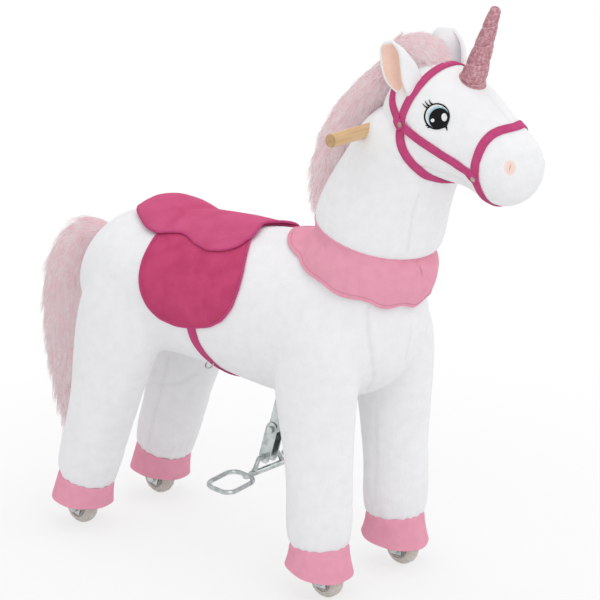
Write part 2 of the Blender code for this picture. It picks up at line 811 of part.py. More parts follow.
def build_leg_tube(leg, carrier):
    """The steel tube from the cross tube down to the fork."""
    bottom = leg_tube_bottom()
    top = leg.length - CROSS_TUBE_RADIUS - SEAT_GAP
    inner = LEG_TUBE_RADIUS - LEG_TUBE_WALL
    profile = [(bottom, inner), (bottom, LEG_TUBE_RADIUS), (top, LEG_TUBE_RADIUS), (top, inner)]
    add_piece(f"leg_tube_{leg.label}", turned(profile, leg.foot, leg.up, ROUND_SIDES), "steel", carrier)


def build_leg_plush(leg, carrier):
    """The stuffed leg with its hip disc, bored for the tubes inside it."""
    piece = add_piece(f"leg_plush_{leg.label}", leg.limb(), "plush", carrier)
    join(piece, leg.hip())
    bore = LEG_TUBE_RADIUS + SEAT_GAP
    cut(piece, rod(leg.at(0), leg.at(leg.length), bore, ROUND_SIDES))
    inner = Vector((leg.side * (HIP_INNER_X - OVERRUN), leg.pivot.y, leg.pivot.z))
    outer = Vector((leg.side * (cross_tube_reach() + SEAT_GAP), leg.pivot.y, leg.pivot.z))
    cut(piece, rod(inner, outer, CROSS_TUBE_RADIUS + SEAT_GAP, ROUND_SIDES))


def build_cuff(leg, carrier):
    """The flared cuff sewn under the leg, open below round the wheel, with a level hem."""
    top = leg.shares[0][0] * leg.length - SEAT_GAP
    hole = LEG_TUBE_RADIUS + SEAT_GAP
    drop = (CUFF_HEM_RISE - top)
    rings = []
    for height, radius in ((top, CUFF_TOP_RADIUS - CUFF_SHOULDER), (top - CUFF_SHOULDER, CUFF_TOP_RADIUS),
                           (top + drop * 0.55, (CUFF_TOP_RADIUS * 0.6 + CUFF_HEM_RADIUS * 0.4)),
                           (CUFF_HEM_RISE, CUFF_HEM_RADIUS), (CUFF_HEM_RISE, CUFF_HEM_RADIUS - CUFF_WALL),
                           (top - CUFF_WALL, CUFF_TOP_RADIUS - CUFF_WALL), (top - CUFF_WALL, hole), (top, hole)):
        share = max(0, (top - CUFF_SHOULDER - height) / -drop)
        normal = leg.up.lerp(Z_AXIS, share).normalized()
        rings.append(oval(leg.at(height), X_AXIS, normal.cross(X_AXIS), radius, radius, CUFF_SIDES))
    add_piece(f"cuff_{leg.label}", closed_band(rings), "felt", carrier)


def cross_tube_reach():
    """Half the length of the cross tubes."""
    return TRACK / 2 + LEG_TUBE_RADIUS + CROSS_TUBE_END


def build_cross_tube(end, y, carrier):
    """The tube that joins both legs and turns in the sleeves."""
    inner = CROSS_TUBE_RADIUS - CROSS_TUBE_WALL
    reach = cross_tube_reach()
    profile = [(-reach, inner), (-reach, CROSS_TUBE_RADIUS), (reach, CROSS_TUBE_RADIUS), (reach, inner)]
    add_piece(f"{end}_cross_tube", turned(profile, Vector((0, y, PIVOT_Z)), X_AXIS, ROUND_SIDES), "steel", carrier)


def sleeve_radii():
    """Inner and outer radius of the sleeves that the cross tubes turn in."""
    inner = (CROSS_TUBE_RADIUS + SEAT_GAP) / math.cos(math.pi / AXLE_SIDES)
    return inner, inner + SLEEVE_WALL


def beam_levels():
    """Underside and top of the seat beam, which rests on the sleeves."""
    under = PIVOT_Z + sleeve_radii()[1] - SLEEVE_BITE
    return under, under + BEAM_HEIGHT


def build_seat_frame(carrier):
    """The box beam with its four sleeves, the seat board and the head tube."""
    under, top = beam_levels()
    front = FRONT_PIVOT_Y - BEAM_OVERHANG
    rear = REAR_PIVOT_Y + BEAM_OVERHANG
    beam = add_piece("seat_beam", block(Vector((-BEAM_WIDTH / 2, front, under)), Vector((BEAM_WIDTH / 2, rear, top))),
                     "steel", carrier)
    inner, outer = sleeve_radii()
    for y in (FRONT_PIVOT_Y, REAR_PIVOT_Y):
        for side in (-1, 1):
            near, far = side * SLEEVE_INNER_X, side * SLEEVE_OUTER_X
            profile = [(near, inner), (near, outer), (far, outer), (far, inner)]
            join(beam, turned(profile, Vector((0, y, PIVOT_Z)), X_AXIS, AXLE_SIDES))
    board_low = top + SEAT_GAP
    add_piece("seat_board", block(Vector((-BOARD_HALF_WIDTH, BOARD_FRONT_Y, board_low)),
                                  Vector((BOARD_HALF_WIDTH, BOARD_REAR_Y, board_low + BOARD_THICKNESS))),
              "wood", carrier)
    bore = POST_RADIUS + POST_CLEARANCE
    head_tube_top = -HEAD_TUBE_TOP_DROP
    foot = -(NECK_BASE_Z - under) / math.cos(STEER_TILT)
    profile = [(foot, bore), (foot, bore + HEAD_TUBE_WALL), (head_tube_top, bore + HEAD_TUBE_WALL), (head_tube_top, bore)]
    tube = add_piece("head_tube", turned(profile, neck_base(), steering_axis(), ROUND_SIDES), "steel", carrier)
    spread = Vector((BEAM_WIDTH, OVERRUN, 0))
    cut(tube, block(Vector((0, front, under - OVERRUN)) - spread, Vector((0, rear, top + SEAT_GAP)) + spread))


def build_torso(legs, carrier):
    """The stuffed body, with sockets for the legs and room for the frame inside."""
    piece = add_piece("torso_plush", barrel(), "plush", carrier)
    join(piece, hump())
    for leg in legs:
        cut(piece, leg.hip_socket(SWING_GAP))
        cut(piece, leg.swept_limb(SWING_GAP))
    under, top = beam_levels()
    outer = sleeve_radii()[1]
    room = FRAME_HOLLOW_CLEARANCE
    cut(piece, block(Vector((-SLEEVE_OUTER_X - room, FRONT_PIVOT_Y - BEAM_OVERHANG - room, PIVOT_Z - outer - room)),
                     Vector((SLEEVE_OUTER_X + room, REAR_PIVOT_Y + BEAM_OVERHANG + room, top + SEAT_GAP))))
    cut(piece, block(Vector((-BOARD_HALF_WIDTH - BOARD_CLEARANCE, BOARD_FRONT_Y - BOARD_CLEARANCE, under)),
                     Vector((BOARD_HALF_WIDTH + BOARD_CLEARANCE, BOARD_REAR_Y + BOARD_CLEARANCE,
                             top + SEAT_GAP + BOARD_THICKNESS + BOARD_CLEARANCE))))
    for y in (FRONT_PIVOT_Y, REAR_PIVOT_Y):
        start = Vector((-HIP_INNER_X - OVERRUN, y, PIVOT_Z))
        cut(piece, rod(start, Vector((HIP_INNER_X + OVERRUN, y, PIVOT_Z)), CROSS_TUBE_RADIUS + SWING_GAP, ROUND_SIDES))
    tube = POST_RADIUS + POST_CLEARANCE + HEAD_TUBE_WALL
    tube_start = neck_base() - steering_axis() * (NECK_BASE_Z - top + OVERRUN / 2)
    cut(piece, rod(tube_start, neck_base() + steering_axis() * OVERRUN, tube + SEAT_GAP * 2, ROUND_SIDES))
    for swept in swept_arm():
        cut(piece, swept)


def arm_path():
    """The pedal arm's bends, from the front cross tube to its bolt."""
    bolt = Vector((0, BOLT_Y, BOLT_Z))
    upward = Vector((0, -math.sin(HANGER_LEAN), math.cos(HANGER_LEAN)))
    knee = bolt + upward * (ARM_KNEE_Z - BOLT_Z) / upward.z
    root = Vector((0, FRONT_PIVOT_Y + CROSS_TUBE_RADIUS + SEAT_GAP, PIVOT_Z - ARM_ROOT_DROP))
    return root, knee, bolt


def arm_rings(grow=0.0):
    """Rectangles along the arm, mitred at its knee."""
    root, knee, tip = arm_path()
    upper = (knee - root).normalized()
    lower = (tip - knee).normalized()
    mitre = (upper + lower).normalized()
    half_width = ARM_WIDTH / 2 + grow
    rings = []
    for place, along, direction in ((root, Y_AXIS, upper), (knee, mitre, mitre), (tip, lower, lower)):
        square = along.cross(X_AXIS)
        depth = (ARM_DEPTH / 2 + grow) / abs(direction.cross(X_AXIS).dot(square))
        if place is knee:
            depth /= upper.dot(mitre)
        rings.append([place + X_AXIS * half_width + square * depth, place - X_AXIS * half_width + square * depth,
                      place - X_AXIS * half_width - square * depth, place + X_AXIS * half_width - square * depth])
    return rings


def swept_arm():
    """The room that both runs of the arm need through the belly while the legs swing."""
    pivot = Vector((0, FRONT_PIVOT_Y, PIVOT_Z))
    cutters = []
    for run in (slice(0, 2), slice(1, 3)):
        cutters.append(hull_of([turned_about(loft(arm_rings(ARM_SLOT_CLEARANCE)[run]), pivot, -LEG_SWING * step / 2)
                                for step in range(3)]))
    return cutters


def build_pedal_arm(carrier):
    """The bent bar from the front cross tube to the pedals, and its bolt."""
    arm = add_piece("pedal_arm", loft(arm_rings()), "steel", carrier)
    bolt = Vector((0, BOLT_Y, BOLT_Z))
    half = X_AXIS * ARM_WIDTH / 2
    join(arm, rod(bolt - half, bolt + half, ARM_DEPTH / 2, ROUND_SIDES))
    reach = X_AXIS * (HANGER_INNER_WIDTH / 2 + HANGER_PLATE + SEAT_GAP)
    end = X_AXIS * BOLT_HEAD_LENGTH
    cut(arm, rod(bolt - reach * 2, bolt + reach * 2, BOLT_RADIUS + SEAT_GAP, AXLE_SIDES))
    shank = add_piece("pedal_bolt", rod(bolt - reach - end / 2, bolt + reach + end / 2, BOLT_RADIUS, AXLE_SIDES),
                      "steel", carrier)
    for way in (-1, 1):
        join(shank, rod(bolt + reach * way, bolt + (reach + end) * way, BOLT_HEAD_RADIUS, AXLE_SIDES // 2))


def hanger_axes():
    """Directions down the hanger and forwards across it."""
    down = Vector((0, math.sin(HANGER_LEAN), -math.cos(HANGER_LEAN)))
    forward = Vector((0, -math.cos(HANGER_LEAN), -math.sin(HANGER_LEAN)))
    return down, forward


def channel_side(centre_x, half_width, back, front, bolt, eye):
    """A flat bar with round ends, seen from the side, as thick as the width given."""
    down, forward = hanger_axes()
    middle = (front + back) / 2
    radius = (front - back) / 2
    outline = []
    for centre, start in ((bolt, math.pi), (eye, 0)):
        for step in range(AXLE_SIDES // 2 + 1):
            turn = start + math.pi * step / (AXLE_SIDES // 2)
            outline.append(centre + forward * (middle + radius * math.cos(turn)) + down * HANGER_END * math.sin(turn))
    shift = X_AXIS * half_width
    centre = X_AXIS * centre_x
    return loft([[point + centre - shift for point in outline], [point + centre + shift for point in outline]])


def build_pedals(carrier):
    """The channel that hangs on the arm's bolt, the bracket in its eye, and the bar with two loops."""
    bolt = Vector((0, BOLT_Y, BOLT_Z))
    down, forward = hanger_axes()
    eye = bolt + down * HANGER_BOLT_TO_EYE
    outer = HANGER_INNER_WIDTH / 2 + HANGER_PLATE
    back, front = -HANGER_DEPTH / 2, HANGER_DEPTH / 2
    hanger = add_piece("pedal_hanger", channel_side(0, outer, back, front, bolt, eye), "steel", carrier)
    cut(hanger, channel_side(0, HANGER_INNER_WIDTH / 2, back + HANGER_PLATE, front + HANGER_PLATE + OVERRUN,
                             bolt - down * OVERRUN, eye + down * OVERRUN))
    reach = X_AXIS * (outer + OVERRUN)
    cut(hanger, rod(bolt - reach, bolt + reach, BOLT_RADIUS + SEAT_GAP, AXLE_SIDES))
    cut(hanger, rod(eye - reach, eye + reach, PEDAL_ROD_RADIUS + SEAT_GAP, AXLE_SIDES))
    bar_middle = eye + Vector((0, 0, -PEDAL_BAR_DROP))
    bar_end = X_AXIS * PEDAL_BAR_HALF
    bar = add_piece("pedal_bar", rod(bar_middle - bar_end, bar_middle + bar_end, PEDAL_BAR_RADIUS, AXLE_SIDES),
                    "steel", carrier)
    top = X_AXIS * BRACKET_TOP_HALF
    foot = X_AXIS * BRACKET_BOTTOM_HALF
    welded = bar_middle + Z_AXIS * PEDAL_BAR_RADIUS / 2
    join(bar, rod(eye - top, eye + top, PEDAL_ROD_RADIUS, AXLE_SIDES))
    stub = X_AXIS * (LOOP_CENTRE_X - LOOP_LENGTH / 2 - SEAT_GAP)
    join(bar, rod(bar_middle - stub, bar_middle + stub, PEDAL_ROD_RADIUS, AXLE_SIDES))
    for way in (-1, 1):
        join(bar, rod(eye + top * way, welded + foot * way, PEDAL_ROD_RADIUS, AXLE_SIDES))
        join(bar, ball(eye + top * way, PEDAL_ROD_RADIUS))
        label = "left" if way > 0 else "right"
        centre = bar_middle + X_AXIS * LOOP_CENTRE_X * way
        wire(f"foot_loop_{label}", loop_points(centre), PEDAL_ROD_RADIUS, "steel", carrier, closed=True)


def ball(centre, radius):
    """A small round elbow where a rod bends."""
    bm = bmesh.new()
    bmesh.ops.create_icosphere(bm, subdivisions=1, radius=radius)
    bm.transform(Matrix.Translation(centre))
    return bm


def loop_points(centre):
    """The middle line of a foot loop, a rectangle with large round corners."""
    half_x = (LOOP_LENGTH - 2 * PEDAL_ROD_RADIUS) / 2 - LOOP_CORNER
    half_y = (LOOP_DEPTH - 2 * PEDAL_ROD_RADIUS) / 2 - LOOP_CORNER
    points = []
    for quarter, (side_x, side_y) in enumerate(((1, 1), (-1, 1), (-1, -1), (1, -1))):
        for step in range(LOOP_CORNER_POINTS):
            turn = math.pi / 2 * (quarter + step / (LOOP_CORNER_POINTS - 1))
            points.append(centre + Vector((side_x * half_x + LOOP_CORNER * math.cos(turn),
                                           side_y * half_y + LOOP_CORNER * math.sin(turn), 0)))
    return points


def build_neck_and_head(carrier):
    """The stuffed neck and head, bored for the steering post and the handle."""
    neck = add_piece("neck_plush", neck_loft(), "plush", carrier)
    head = add_piece("head_plush", head_loft(), "plush", carrier)
    cut(neck, head_loft(SEAT_GAP))
    cut(neck, head_ribbon(BROWBAND_SHARES, SWING_GAP))
    handle = handle_centre()
    reach = X_AXIS * (HANDLE_LENGTH / 2 + OVERRUN)
    corner = Vector((1, 1, 1)) * (CLAMP_SIZE / 2 + SEAT_GAP)
    for piece in (neck, head):
        cut(piece, rod(neck_base() - steering_axis() * OVERRUN, handle, POST_RADIUS + SEAT_GAP, ROUND_SIDES))
        cut(piece, rod(handle - reach, handle + reach, HANDLE_RADIUS + SEAT_GAP, HANDLE_SIDES))
        cut(piece, block(handle - corner, handle + corner))


def handle_centre():
    """Where the handle crosses the steering post."""
    return neck_base() + steering_axis() * HANDLE_HEIGHT


def build_steering(carrier):
    """The post with the block that clamps the handle, and the handle."""
    top = beam_levels()[1]
    handle = handle_centre()
    foot = neck_base() - steering_axis() * (NECK_BASE_Z - top - POST_RADIUS) / math.cos(STEER_TILT)
    post = add_piece("steering_post", rod(foot, handle, POST_RADIUS, ROUND_SIDES), "steel", carrier)
    corner = Vector((1, 1, 1)) * CLAMP_SIZE / 2
    join(post, block(handle - corner, handle + corner))
    reach = X_AXIS * HANDLE_LENGTH / 2
    cut(post, rod(handle - reach, handle + reach, HANDLE_RADIUS + SEAT_GAP, HANDLE_SIDES))
    add_piece("handle_dowel", rod(handle - reach, handle + reach, HANDLE_RADIUS, HANDLE_SIDES), "wood", carrier)


def build_ear(side, carrier):
    """A leaf-shaped ear, hollowed like a spoon towards the front."""
    upward = Vector((side * math.sin(EAR_OUTWARD_LEAN), math.sin(EAR_BACK_LEAN), math.cos(EAR_BACK_LEAN))).normalized()
    facing = Vector((side * math.sin(EAR_TURN), -math.cos(EAR_TURN), 0))
    across = upward.cross(facing).normalized()
    facing = across.cross(upward).normalized()
    base = Vector((side * EAR_BASE_X, EAR_BASE_Y, EAR_BASE_Z))
    rings = []
    for height, width, thickness in EAR_SHARES:
        centre = base + upward * height * EAR_LENGTH
        ring = []
        for corner in range(EAR_SIDES):
            turn = 2 * math.pi * (corner + 0.5) / EAR_SIDES
            reach = math.cos(turn)
            bow = EAR_CUP * width * (reach ** 2)
            ring.append(centre + across * reach * width * EAR_WIDTH / 2
                        + facing * (math.sin(turn) * thickness * EAR_THICKNESS / 2 * width ** 0.5 + bow))
        rings.append(ring)
    piece = add_piece(f"ear_{'left' if side > 0 else 'right'}", loft(rings), "plush", carrier)
    cut(piece, head_loft(SEAT_GAP))
    cut(piece, head_ribbon(BROWBAND_SHARES, SEAT_GAP))


def horn_line():
    """The foot of the horn and the way from it to the tip."""
    base = Vector((0, HORN_BASE_Y, HORN_BASE_Z))
    return base, Vector((0, HORN_TIP_Y, HORN_TIP_Z)) - base


def build_horn(carrier):
    """A tapering horn wound round with a spiral groove."""
    base, way = horn_line()
    axis = way.normalized()
    side = X_AXIS
    other = axis.cross(side)
    length = way.length
    rings = []
    for step in range(HORN_RINGS):
        share = step / (HORN_RINGS - 1)
        taper = HORN_BASE_RADIUS + (HORN_TIP_RADIUS - HORN_BASE_RADIUS) * share
        near_tip = max(0, share * length - (length - HORN_ROUNDING)) / HORN_ROUNDING
        taper *= math.sqrt(max(1 - near_tip ** 2, 0.05))
        ring = []
        for corner in range(HORN_SIDES):
            turn = 2 * math.pi * (corner + 0.5) / HORN_SIDES
            wave = abs(math.sin((turn - 2 * math.pi * HORN_TURNS * share) / 2))
            radius = taper - HORN_GROOVE * (1 - wave) * (1 - share / 2)
            ring.append(base + axis * share * length + side * radius * math.cos(turn) + other * radius * math.sin(turn))
        rings.append(ring)
    piece = add_piece("horn", loft(rings), "horn", carrier)
    cut(piece, head_loft(SEAT_GAP))


def crest_loft(table, sides):
    """A tapering roll of hair along the crest, read from a table about the skull's middle."""
    skull = Vector((0, SKULL_Y, SKULL_Z))
    centres = [skull + Vector((0, row[0], row[1])) * MANE_DROP for row in table]
    rings = []
    for place, row in enumerate(table):
        before = centres[max(place - 1, 0)]
        after = centres[min(place + 1, len(table) - 1)]
        along = (after - before).normalized()
        outward = along.cross(X_AXIS)
        rings.append(oval(centres[place], X_AXIS, outward, row[2] * MANE_WIDTH / 2, row[3] * MANE_THICKNESS / 2, sides))
    return loft(rings)


def build_mane(carrier):
    """The mane down the crest and the forelock between the ears."""
    mane = add_piece("mane", crest_loft(MANE_SHARES, MANE_SIDES), "hair", carrier)
    cut(mane, head_loft(SEAT_GAP))
    cut(mane, neck_loft(SEAT_GAP))
    cut(mane, head_ribbon(BROWBAND_SHARES, SEAT_GAP))
    forelock = add_piece("forelock", crest_loft(FORELOCK_SHARES, MANE_SIDES), "hair", carrier)
    cut(forelock, head_loft(SEAT_GAP))
    cut(forelock, head_ribbon(BROWBAND_SHARES, SEAT_GAP))
    horn_base, horn_axis = horn_line()
    cut(forelock, rod(horn_base, horn_base + horn_axis, HORN_BASE_RADIUS + SWING_GAP, HORN_SIDES))
    cut(forelock, crest_loft([(row[0], row[1], row[2] * 1.02, row[3] * 1.02) for row in MANE_SHARES], MANE_SIDES))


def build_tail(carrier):
    """The long tail of hair, from the rump nearly to the floor."""
    root = Vector((0, TAIL_ROOT_Y, TAIL_ROOT_Z))
    centres = [root + Vector((0, row[0], -row[1])) * TAIL_FALL for row in TAIL_SHARES]
    rings = []
    for place, row in enumerate(TAIL_SHARES):
        before = centres[max(place - 1, 0)]
        after = centres[min(place + 1, len(TAIL_SHARES) - 1)]
        along = (after - before).normalized()
        outward = along.cross(X_AXIS)
        rings.append(oval(centres[place], X_AXIS, outward, row[2] * TAIL_WIDTH / 2,
                          row[3] * TAIL_THICKNESS / 2, TAIL_SIDES))
    piece = add_piece("tail", loft(rings), "hair", carrier)
    cut(piece, barrel(SEAT_GAP))


def drape_ring(y, low_angle, outer, edge):
    """A band over the barrel's top between equal angles on both sides, thinner at its edges."""
    over, under = [], []
    for step in range(DRAPE_POINTS):
        share = step / (DRAPE_POINTS - 1) * 2 - 1
        angle = low_angle * share
        over.append(torso_point(y, angle, edge + (outer - edge) * (1 - share ** 4)))
        under.append(torso_point(y, angle, -BLANKET_THICKNESS))
    return over + under[::-1]


def blanket_outline(grow=0.0):
    """A prism through both flanks: the band over the back with a round flap on each side."""
    middle = (BLANKET_FRONT_Y + BLANKET_REAR_Y) / 2
    half = (BLANKET_REAR_Y - BLANKET_FRONT_Y) / 2 + grow
    high = TORSO_CENTRE_Z + TORSO_DEPTH
    outline = [(middle - half + BLANKET_TOP_SHIFT, high), (middle - half + BLANKET_TOP_SHIFT, BLANKET_TOP_Z)]
    for station in range(BLANKET_STATIONS):
        reach = -math.cos(math.pi * station / (BLANKET_STATIONS - 1))
        fall = (1 - abs(reach) ** BLANKET_FULLNESS) ** (1 / BLANKET_FULLNESS)
        outline.append((middle + half * reach,
                        BLANKET_EDGE_Z - (BLANKET_EDGE_Z - BLANKET_BOTTOM_Z + grow) * fall))
    outline.append((middle + half, high))
    return loft([[Vector((x, y, z)) for y, z in outline] for x in (-TORSO_WIDTH, TORSO_WIDTH)])


def build_blanket(carrier):
    """The saddle's lower layer, with a round flap down each flank."""
    piece = add_piece("saddle_blanket", barrel(SEAT_GAP + BLANKET_THICKNESS), "saddle", carrier)
    combine(piece, blanket_outline(), "INTERSECT")
    cut(piece, barrel(WRAP_GAP))


def build_seat(carrier):
    """The padded seat with its raised cantle, over the blanket."""
    rings = []
    over_blanket = BLANKET_THICKNESS + SEAT_GAP + WRAP_GAP
    for station in range(SEAT_STATIONS):
        share = (1 - math.cos(math.pi * station / (SEAT_STATIONS - 1))) / 2
        y = SEAT_FRONT_Y + share * (SEAT_REAR_Y - SEAT_FRONT_Y)
        degrees, padding = read_table(SEAT_SHARES, share)
        rings.append(drape_ring(y, math.radians(degrees), over_blanket + padding * SEAT_THICKNESS,
                                over_blanket + SEAT_EDGE_THICKNESS))
    seat = add_piece("saddle_seat", loft(rings), "saddle", carrier)
    cut(seat, barrel(SEAT_GAP))
    combine(cut(seat, barrel(over_blanket)), blanket_outline(SEAT_GAP), "INTERSECT")


def build_girth(carrier):
    """The strap under the belly between the flaps, and the ring sewn to it."""
    piece = add_piece("girth_strap", barrel(SEAT_GAP + GIRTH_THICKNESS), "saddle", carrier)
    combine(piece, block(Vector((-TORSO_WIDTH, GIRTH_Y - GIRTH_WIDTH / 2, 0)),
                         Vector((TORSO_WIDTH, GIRTH_Y + GIRTH_WIDTH / 2, GIRTH_TOP_Z))), "INTERSECT")
    cut(piece, barrel(SEAT_GAP))
    strap = torso_point(GIRTH_Y, GIRTH_RING_ANGLE, SEAT_GAP + GIRTH_THICKNESS)
    beyond = torso_point(GIRTH_Y, GIRTH_RING_ANGLE + SMALL_TURN, SEAT_GAP + GIRTH_THICKNESS)
    along = (beyond - strap).normalized()
    outward = along.cross(Y_AXIS)
    if outward.z > 0:
        outward = -outward
    centre = strap + outward * (GIRTH_RING_WIRE + SEAT_GAP * 3)
    points = []
    for step in range(AXLE_SIDES):
        turn = 2 * math.pi * step / AXLE_SIDES
        points.append(centre + (Y_AXIS * math.cos(turn) + along * math.sin(turn)) * GIRTH_RING_RADIUS)
    wire("girth_ring", points, GIRTH_RING_WIRE, "steel", carrier, closed=True)


def build_collar(carrier):
    """The scalloped collar that lies on the shoulders round the neck."""
    thickness = SEAT_GAP + COLLAR_THICKNESS
    piece = add_piece("collar", barrel(thickness), "felt", carrier)
    join(piece, hump(thickness))
    top, bottom = [], []
    for corner in range(COLLAR_SIDES):
        turn = 2 * math.pi * corner / COLLAR_SIDES
        rearward = (1 + math.sin(turn)) / 2
        rearward = rearward ** 2 * (3 - 2 * rearward)
        drop = COLLAR_FRONT_DROP + (COLLAR_REAR_DROP - COLLAR_FRONT_DROP) * rearward
        drop += COLLAR_SIDE_DROP * math.cos(turn) ** 2
        drop += COLLAR_SCALLOP * abs(math.sin(turn * COLLAR_SCALLOPS / 2))
        spoke = (X_AXIS * math.cos(turn) + neck_back() * math.sin(turn)) * COLLAR_REACH
        top.append(neck_base() + spoke - steering_axis() * SWING_GAP)
        bottom.append(neck_base() + spoke - steering_axis() * drop)
    region = bmesh.new()
    upper = [region.verts.new(point) for point in top]
    lower = [region.verts.new(point) for point in bottom]
    core = region.verts.new(neck_base() - steering_axis() * (COLLAR_FRONT_DROP + COLLAR_REAR_DROP) / 2)
    for corner in range(COLLAR_SIDES):
        beside = (corner + 1) % COLLAR_SIDES
        region.faces.new((upper[corner], upper[beside], lower[beside], lower[corner]))
        region.faces.new((lower[corner], lower[beside], core))
    region.faces.new(upper)
    bmesh.ops.recalc_face_normals(region, faces=region.faces)
    combine(piece, region, "INTERSECT")
    cut(piece, barrel(WRAP_GAP))
    cut(piece, hump(WRAP_GAP))


def head_ribbon(line, grow=0.0):
    """A flat ribbon round the head, tilted so that its lower side runs further forward."""
    half = BRIDLE_WIDTH / 2 + grow
    under = -BRIDLE_THICKNESS
    over = SEAT_GAP + BRIDLE_THICKNESS + grow
    rings = []
    for angle in head_angles():
        place = band_share(line, angle)
        rings.append([head_point(place + along / HEAD_REACH, angle, offset)
                      for along, offset in ((-half, under), (half, under), (half, over), (-half, over))])
    return closed_band(rings)


def band_share(line, angle):
    """Where a ribbon crosses an angle on the head."""
    share, tilt, bend = line
    return share - tilt * math.sin(angle) + bend * math.sin(angle) ** 2


def build_bridle(carrier):
    """The noseband, the browband that comes round under the jaw, and the riveted cheek straps."""
    for name, line in (("noseband", NOSEBAND_SHARES), ("browband", BROWBAND_SHARES)):
        cut(add_piece(name, head_ribbon(line), "saddle", carrier), head_loft(SEAT_GAP))
    rear_angle, front_angle = (share * math.pi for share in CHEEK_STRAP_TURN_SHARES)
    start = band_share(BROWBAND_SHARES, rear_angle)
    end = band_share(NOSEBAND_SHARES, front_angle)
    half = BRIDLE_WIDTH / 2
    over_band = (half + BRIDLE_THICKNESS * 3) / HEAD_REACH
    ramp = BRIDLE_WIDTH / HEAD_REACH
    first, last = start + over_band + ramp, end - over_band - ramp
    stops = [(start - over_band, 1), (start, 1), (start + over_band, 1)]
    stops += [(first + (last - first) * step / STRAP_RINGS, 0) for step in range(STRAP_RINGS + 1)]
    stops += [(end - over_band, 1), (end, 1), (end + over_band, 1)]
    for side, label in ((1, "left"), (-1, "right")):
        rings = []
        for place, lift in stops:
            share = (place - start) / (end - start)
            angle = rear_angle + (front_angle - rear_angle) * share
            under = SEAT_GAP + lift * (BRIDLE_THICKNESS + SEAT_GAP)
            spread = half / (HEAD_DEPTH * read_table(HEAD_SHARES, place)[1] / 2)
            ring = []
            for turn, grow in ((-spread, 0), (0, 0), (spread, 0), (spread, 1), (0, 1), (-spread, 1)):
                ring.append(mirrored(head_point(place, angle + turn, under + grow * BRIDLE_THICKNESS), side))
            rings.append(ring)
        strap = add_piece(f"cheek_strap_{label}", loft(rings), "saddle", carrier)
        cut(strap, head_loft(SEAT_GAP))
        for place, angle in ((start, rear_angle), (end, front_angle)):
            foot = mirrored(head_point(place, angle, BRIDLE_THICKNESS * 3 / 2), side)
            above = mirrored(head_point(place, angle, BRIDLE_THICKNESS * 2 + RIVET_HEIGHT), side)
            join(strap, stud(foot, above))


def mirrored(point, side):
    """The point itself on the left, or its mirror image on the right."""
    return Vector((point.x * side, point.y, point.z))


def stud(foot, top):
    """A domed rivet head between two points."""
    out = (top - foot).normalized()
    across = out.orthogonal().normalized()
    rings = []
    for share, radius in STUD_SHARES:
        around = RIVET_RADIUS * radius
        rings.append(oval(foot.lerp(top, share), across, out.cross(across), around, around, AXLE_SIDES))
    return loft(rings)


def main():
    """Build every piece on the carrier that it moves with."""
    clear_scene()
    seat_frame = add_carrier("seat_frame_carrier", Vector((0, 0, 0)))
    steering = add_carrier("steering_carrier", neck_base())
    pedals = add_carrier("pedals_carrier", Vector((0, BOLT_Y, BOLT_Z)))
    swings = {"front": add_carrier("front_legs_carrier", Vector((0, FRONT_PIVOT_Y, PIVOT_Z))),
              "rear": add_carrier("rear_legs_carrier", Vector((0, REAR_PIVOT_Y, PIVOT_Z)))}
    legs = [Leg(end, side) for end in ("front", "rear") for side in (-1, 1)]

    build_seat_frame(seat_frame)
    build_torso(legs, seat_frame)
    build_tail(seat_frame)
    build_blanket(seat_frame)
    build_seat(seat_frame)
    build_girth(seat_frame)
    build_collar(seat_frame)

    build_cross_tube("front", FRONT_PIVOT_Y, swings["front"])
    build_cross_tube("rear", REAR_PIVOT_Y, swings["rear"])
    build_pedal_arm(swings["front"])
    for leg in legs:
        carrier = swings[leg.end]
        build_leg_tube(leg, carrier)
        build_leg_plush(leg, carrier)
        build_cuff(leg, carrier)
        wheel = add_carrier(f"wheel_{leg.label}_carrier", leg.axle)
        build_wheel(leg, wheel)
        fork = add_carrier(f"fork_{leg.label}_carrier", leg.axle)
        build_fork(leg, fork)
        build_axle(leg, fork)
    build_pedals(pedals)

    build_steering(steering)
    build_neck_and_head(steering)
    for side in (-1, 1):
        build_ear(side, steering)
    build_horn(steering)
    build_mane(steering)
    build_bridle(steering)


main()
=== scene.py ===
"""The looks of a plush ride-on unicorn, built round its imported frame.

The frame is in metres with Z up. The animal faces -Y, so its right side is at -X. Each sub-assembly
is a class that builds its pieces and dresses them, and main() builds the classes in order.
"""

from __future__ import annotations

import logging
import math
from collections.abc import Callable, Iterable, Iterator, Sequence
from contextlib import contextmanager
from dataclasses import dataclass, field
from enum import Enum
from functools import cached_property, lru_cache

import bpy
import numpy as np
from mathutils import Matrix, Vector
from mathutils.bvhtree import BVHTree


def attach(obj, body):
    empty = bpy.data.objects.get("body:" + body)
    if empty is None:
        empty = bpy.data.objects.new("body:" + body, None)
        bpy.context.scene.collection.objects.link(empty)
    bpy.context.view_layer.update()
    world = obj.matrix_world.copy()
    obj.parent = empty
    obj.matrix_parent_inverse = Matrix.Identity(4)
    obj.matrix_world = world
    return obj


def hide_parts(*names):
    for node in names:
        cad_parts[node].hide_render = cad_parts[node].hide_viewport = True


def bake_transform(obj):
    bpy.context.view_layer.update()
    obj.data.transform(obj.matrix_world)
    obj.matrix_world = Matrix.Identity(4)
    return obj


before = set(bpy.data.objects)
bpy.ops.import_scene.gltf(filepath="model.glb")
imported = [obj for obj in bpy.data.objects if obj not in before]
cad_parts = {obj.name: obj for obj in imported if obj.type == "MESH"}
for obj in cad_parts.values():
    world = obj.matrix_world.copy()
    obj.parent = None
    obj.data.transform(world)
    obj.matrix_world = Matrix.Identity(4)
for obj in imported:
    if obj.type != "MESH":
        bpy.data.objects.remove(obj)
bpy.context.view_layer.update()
LOG = logging.getLogger("unicorn")

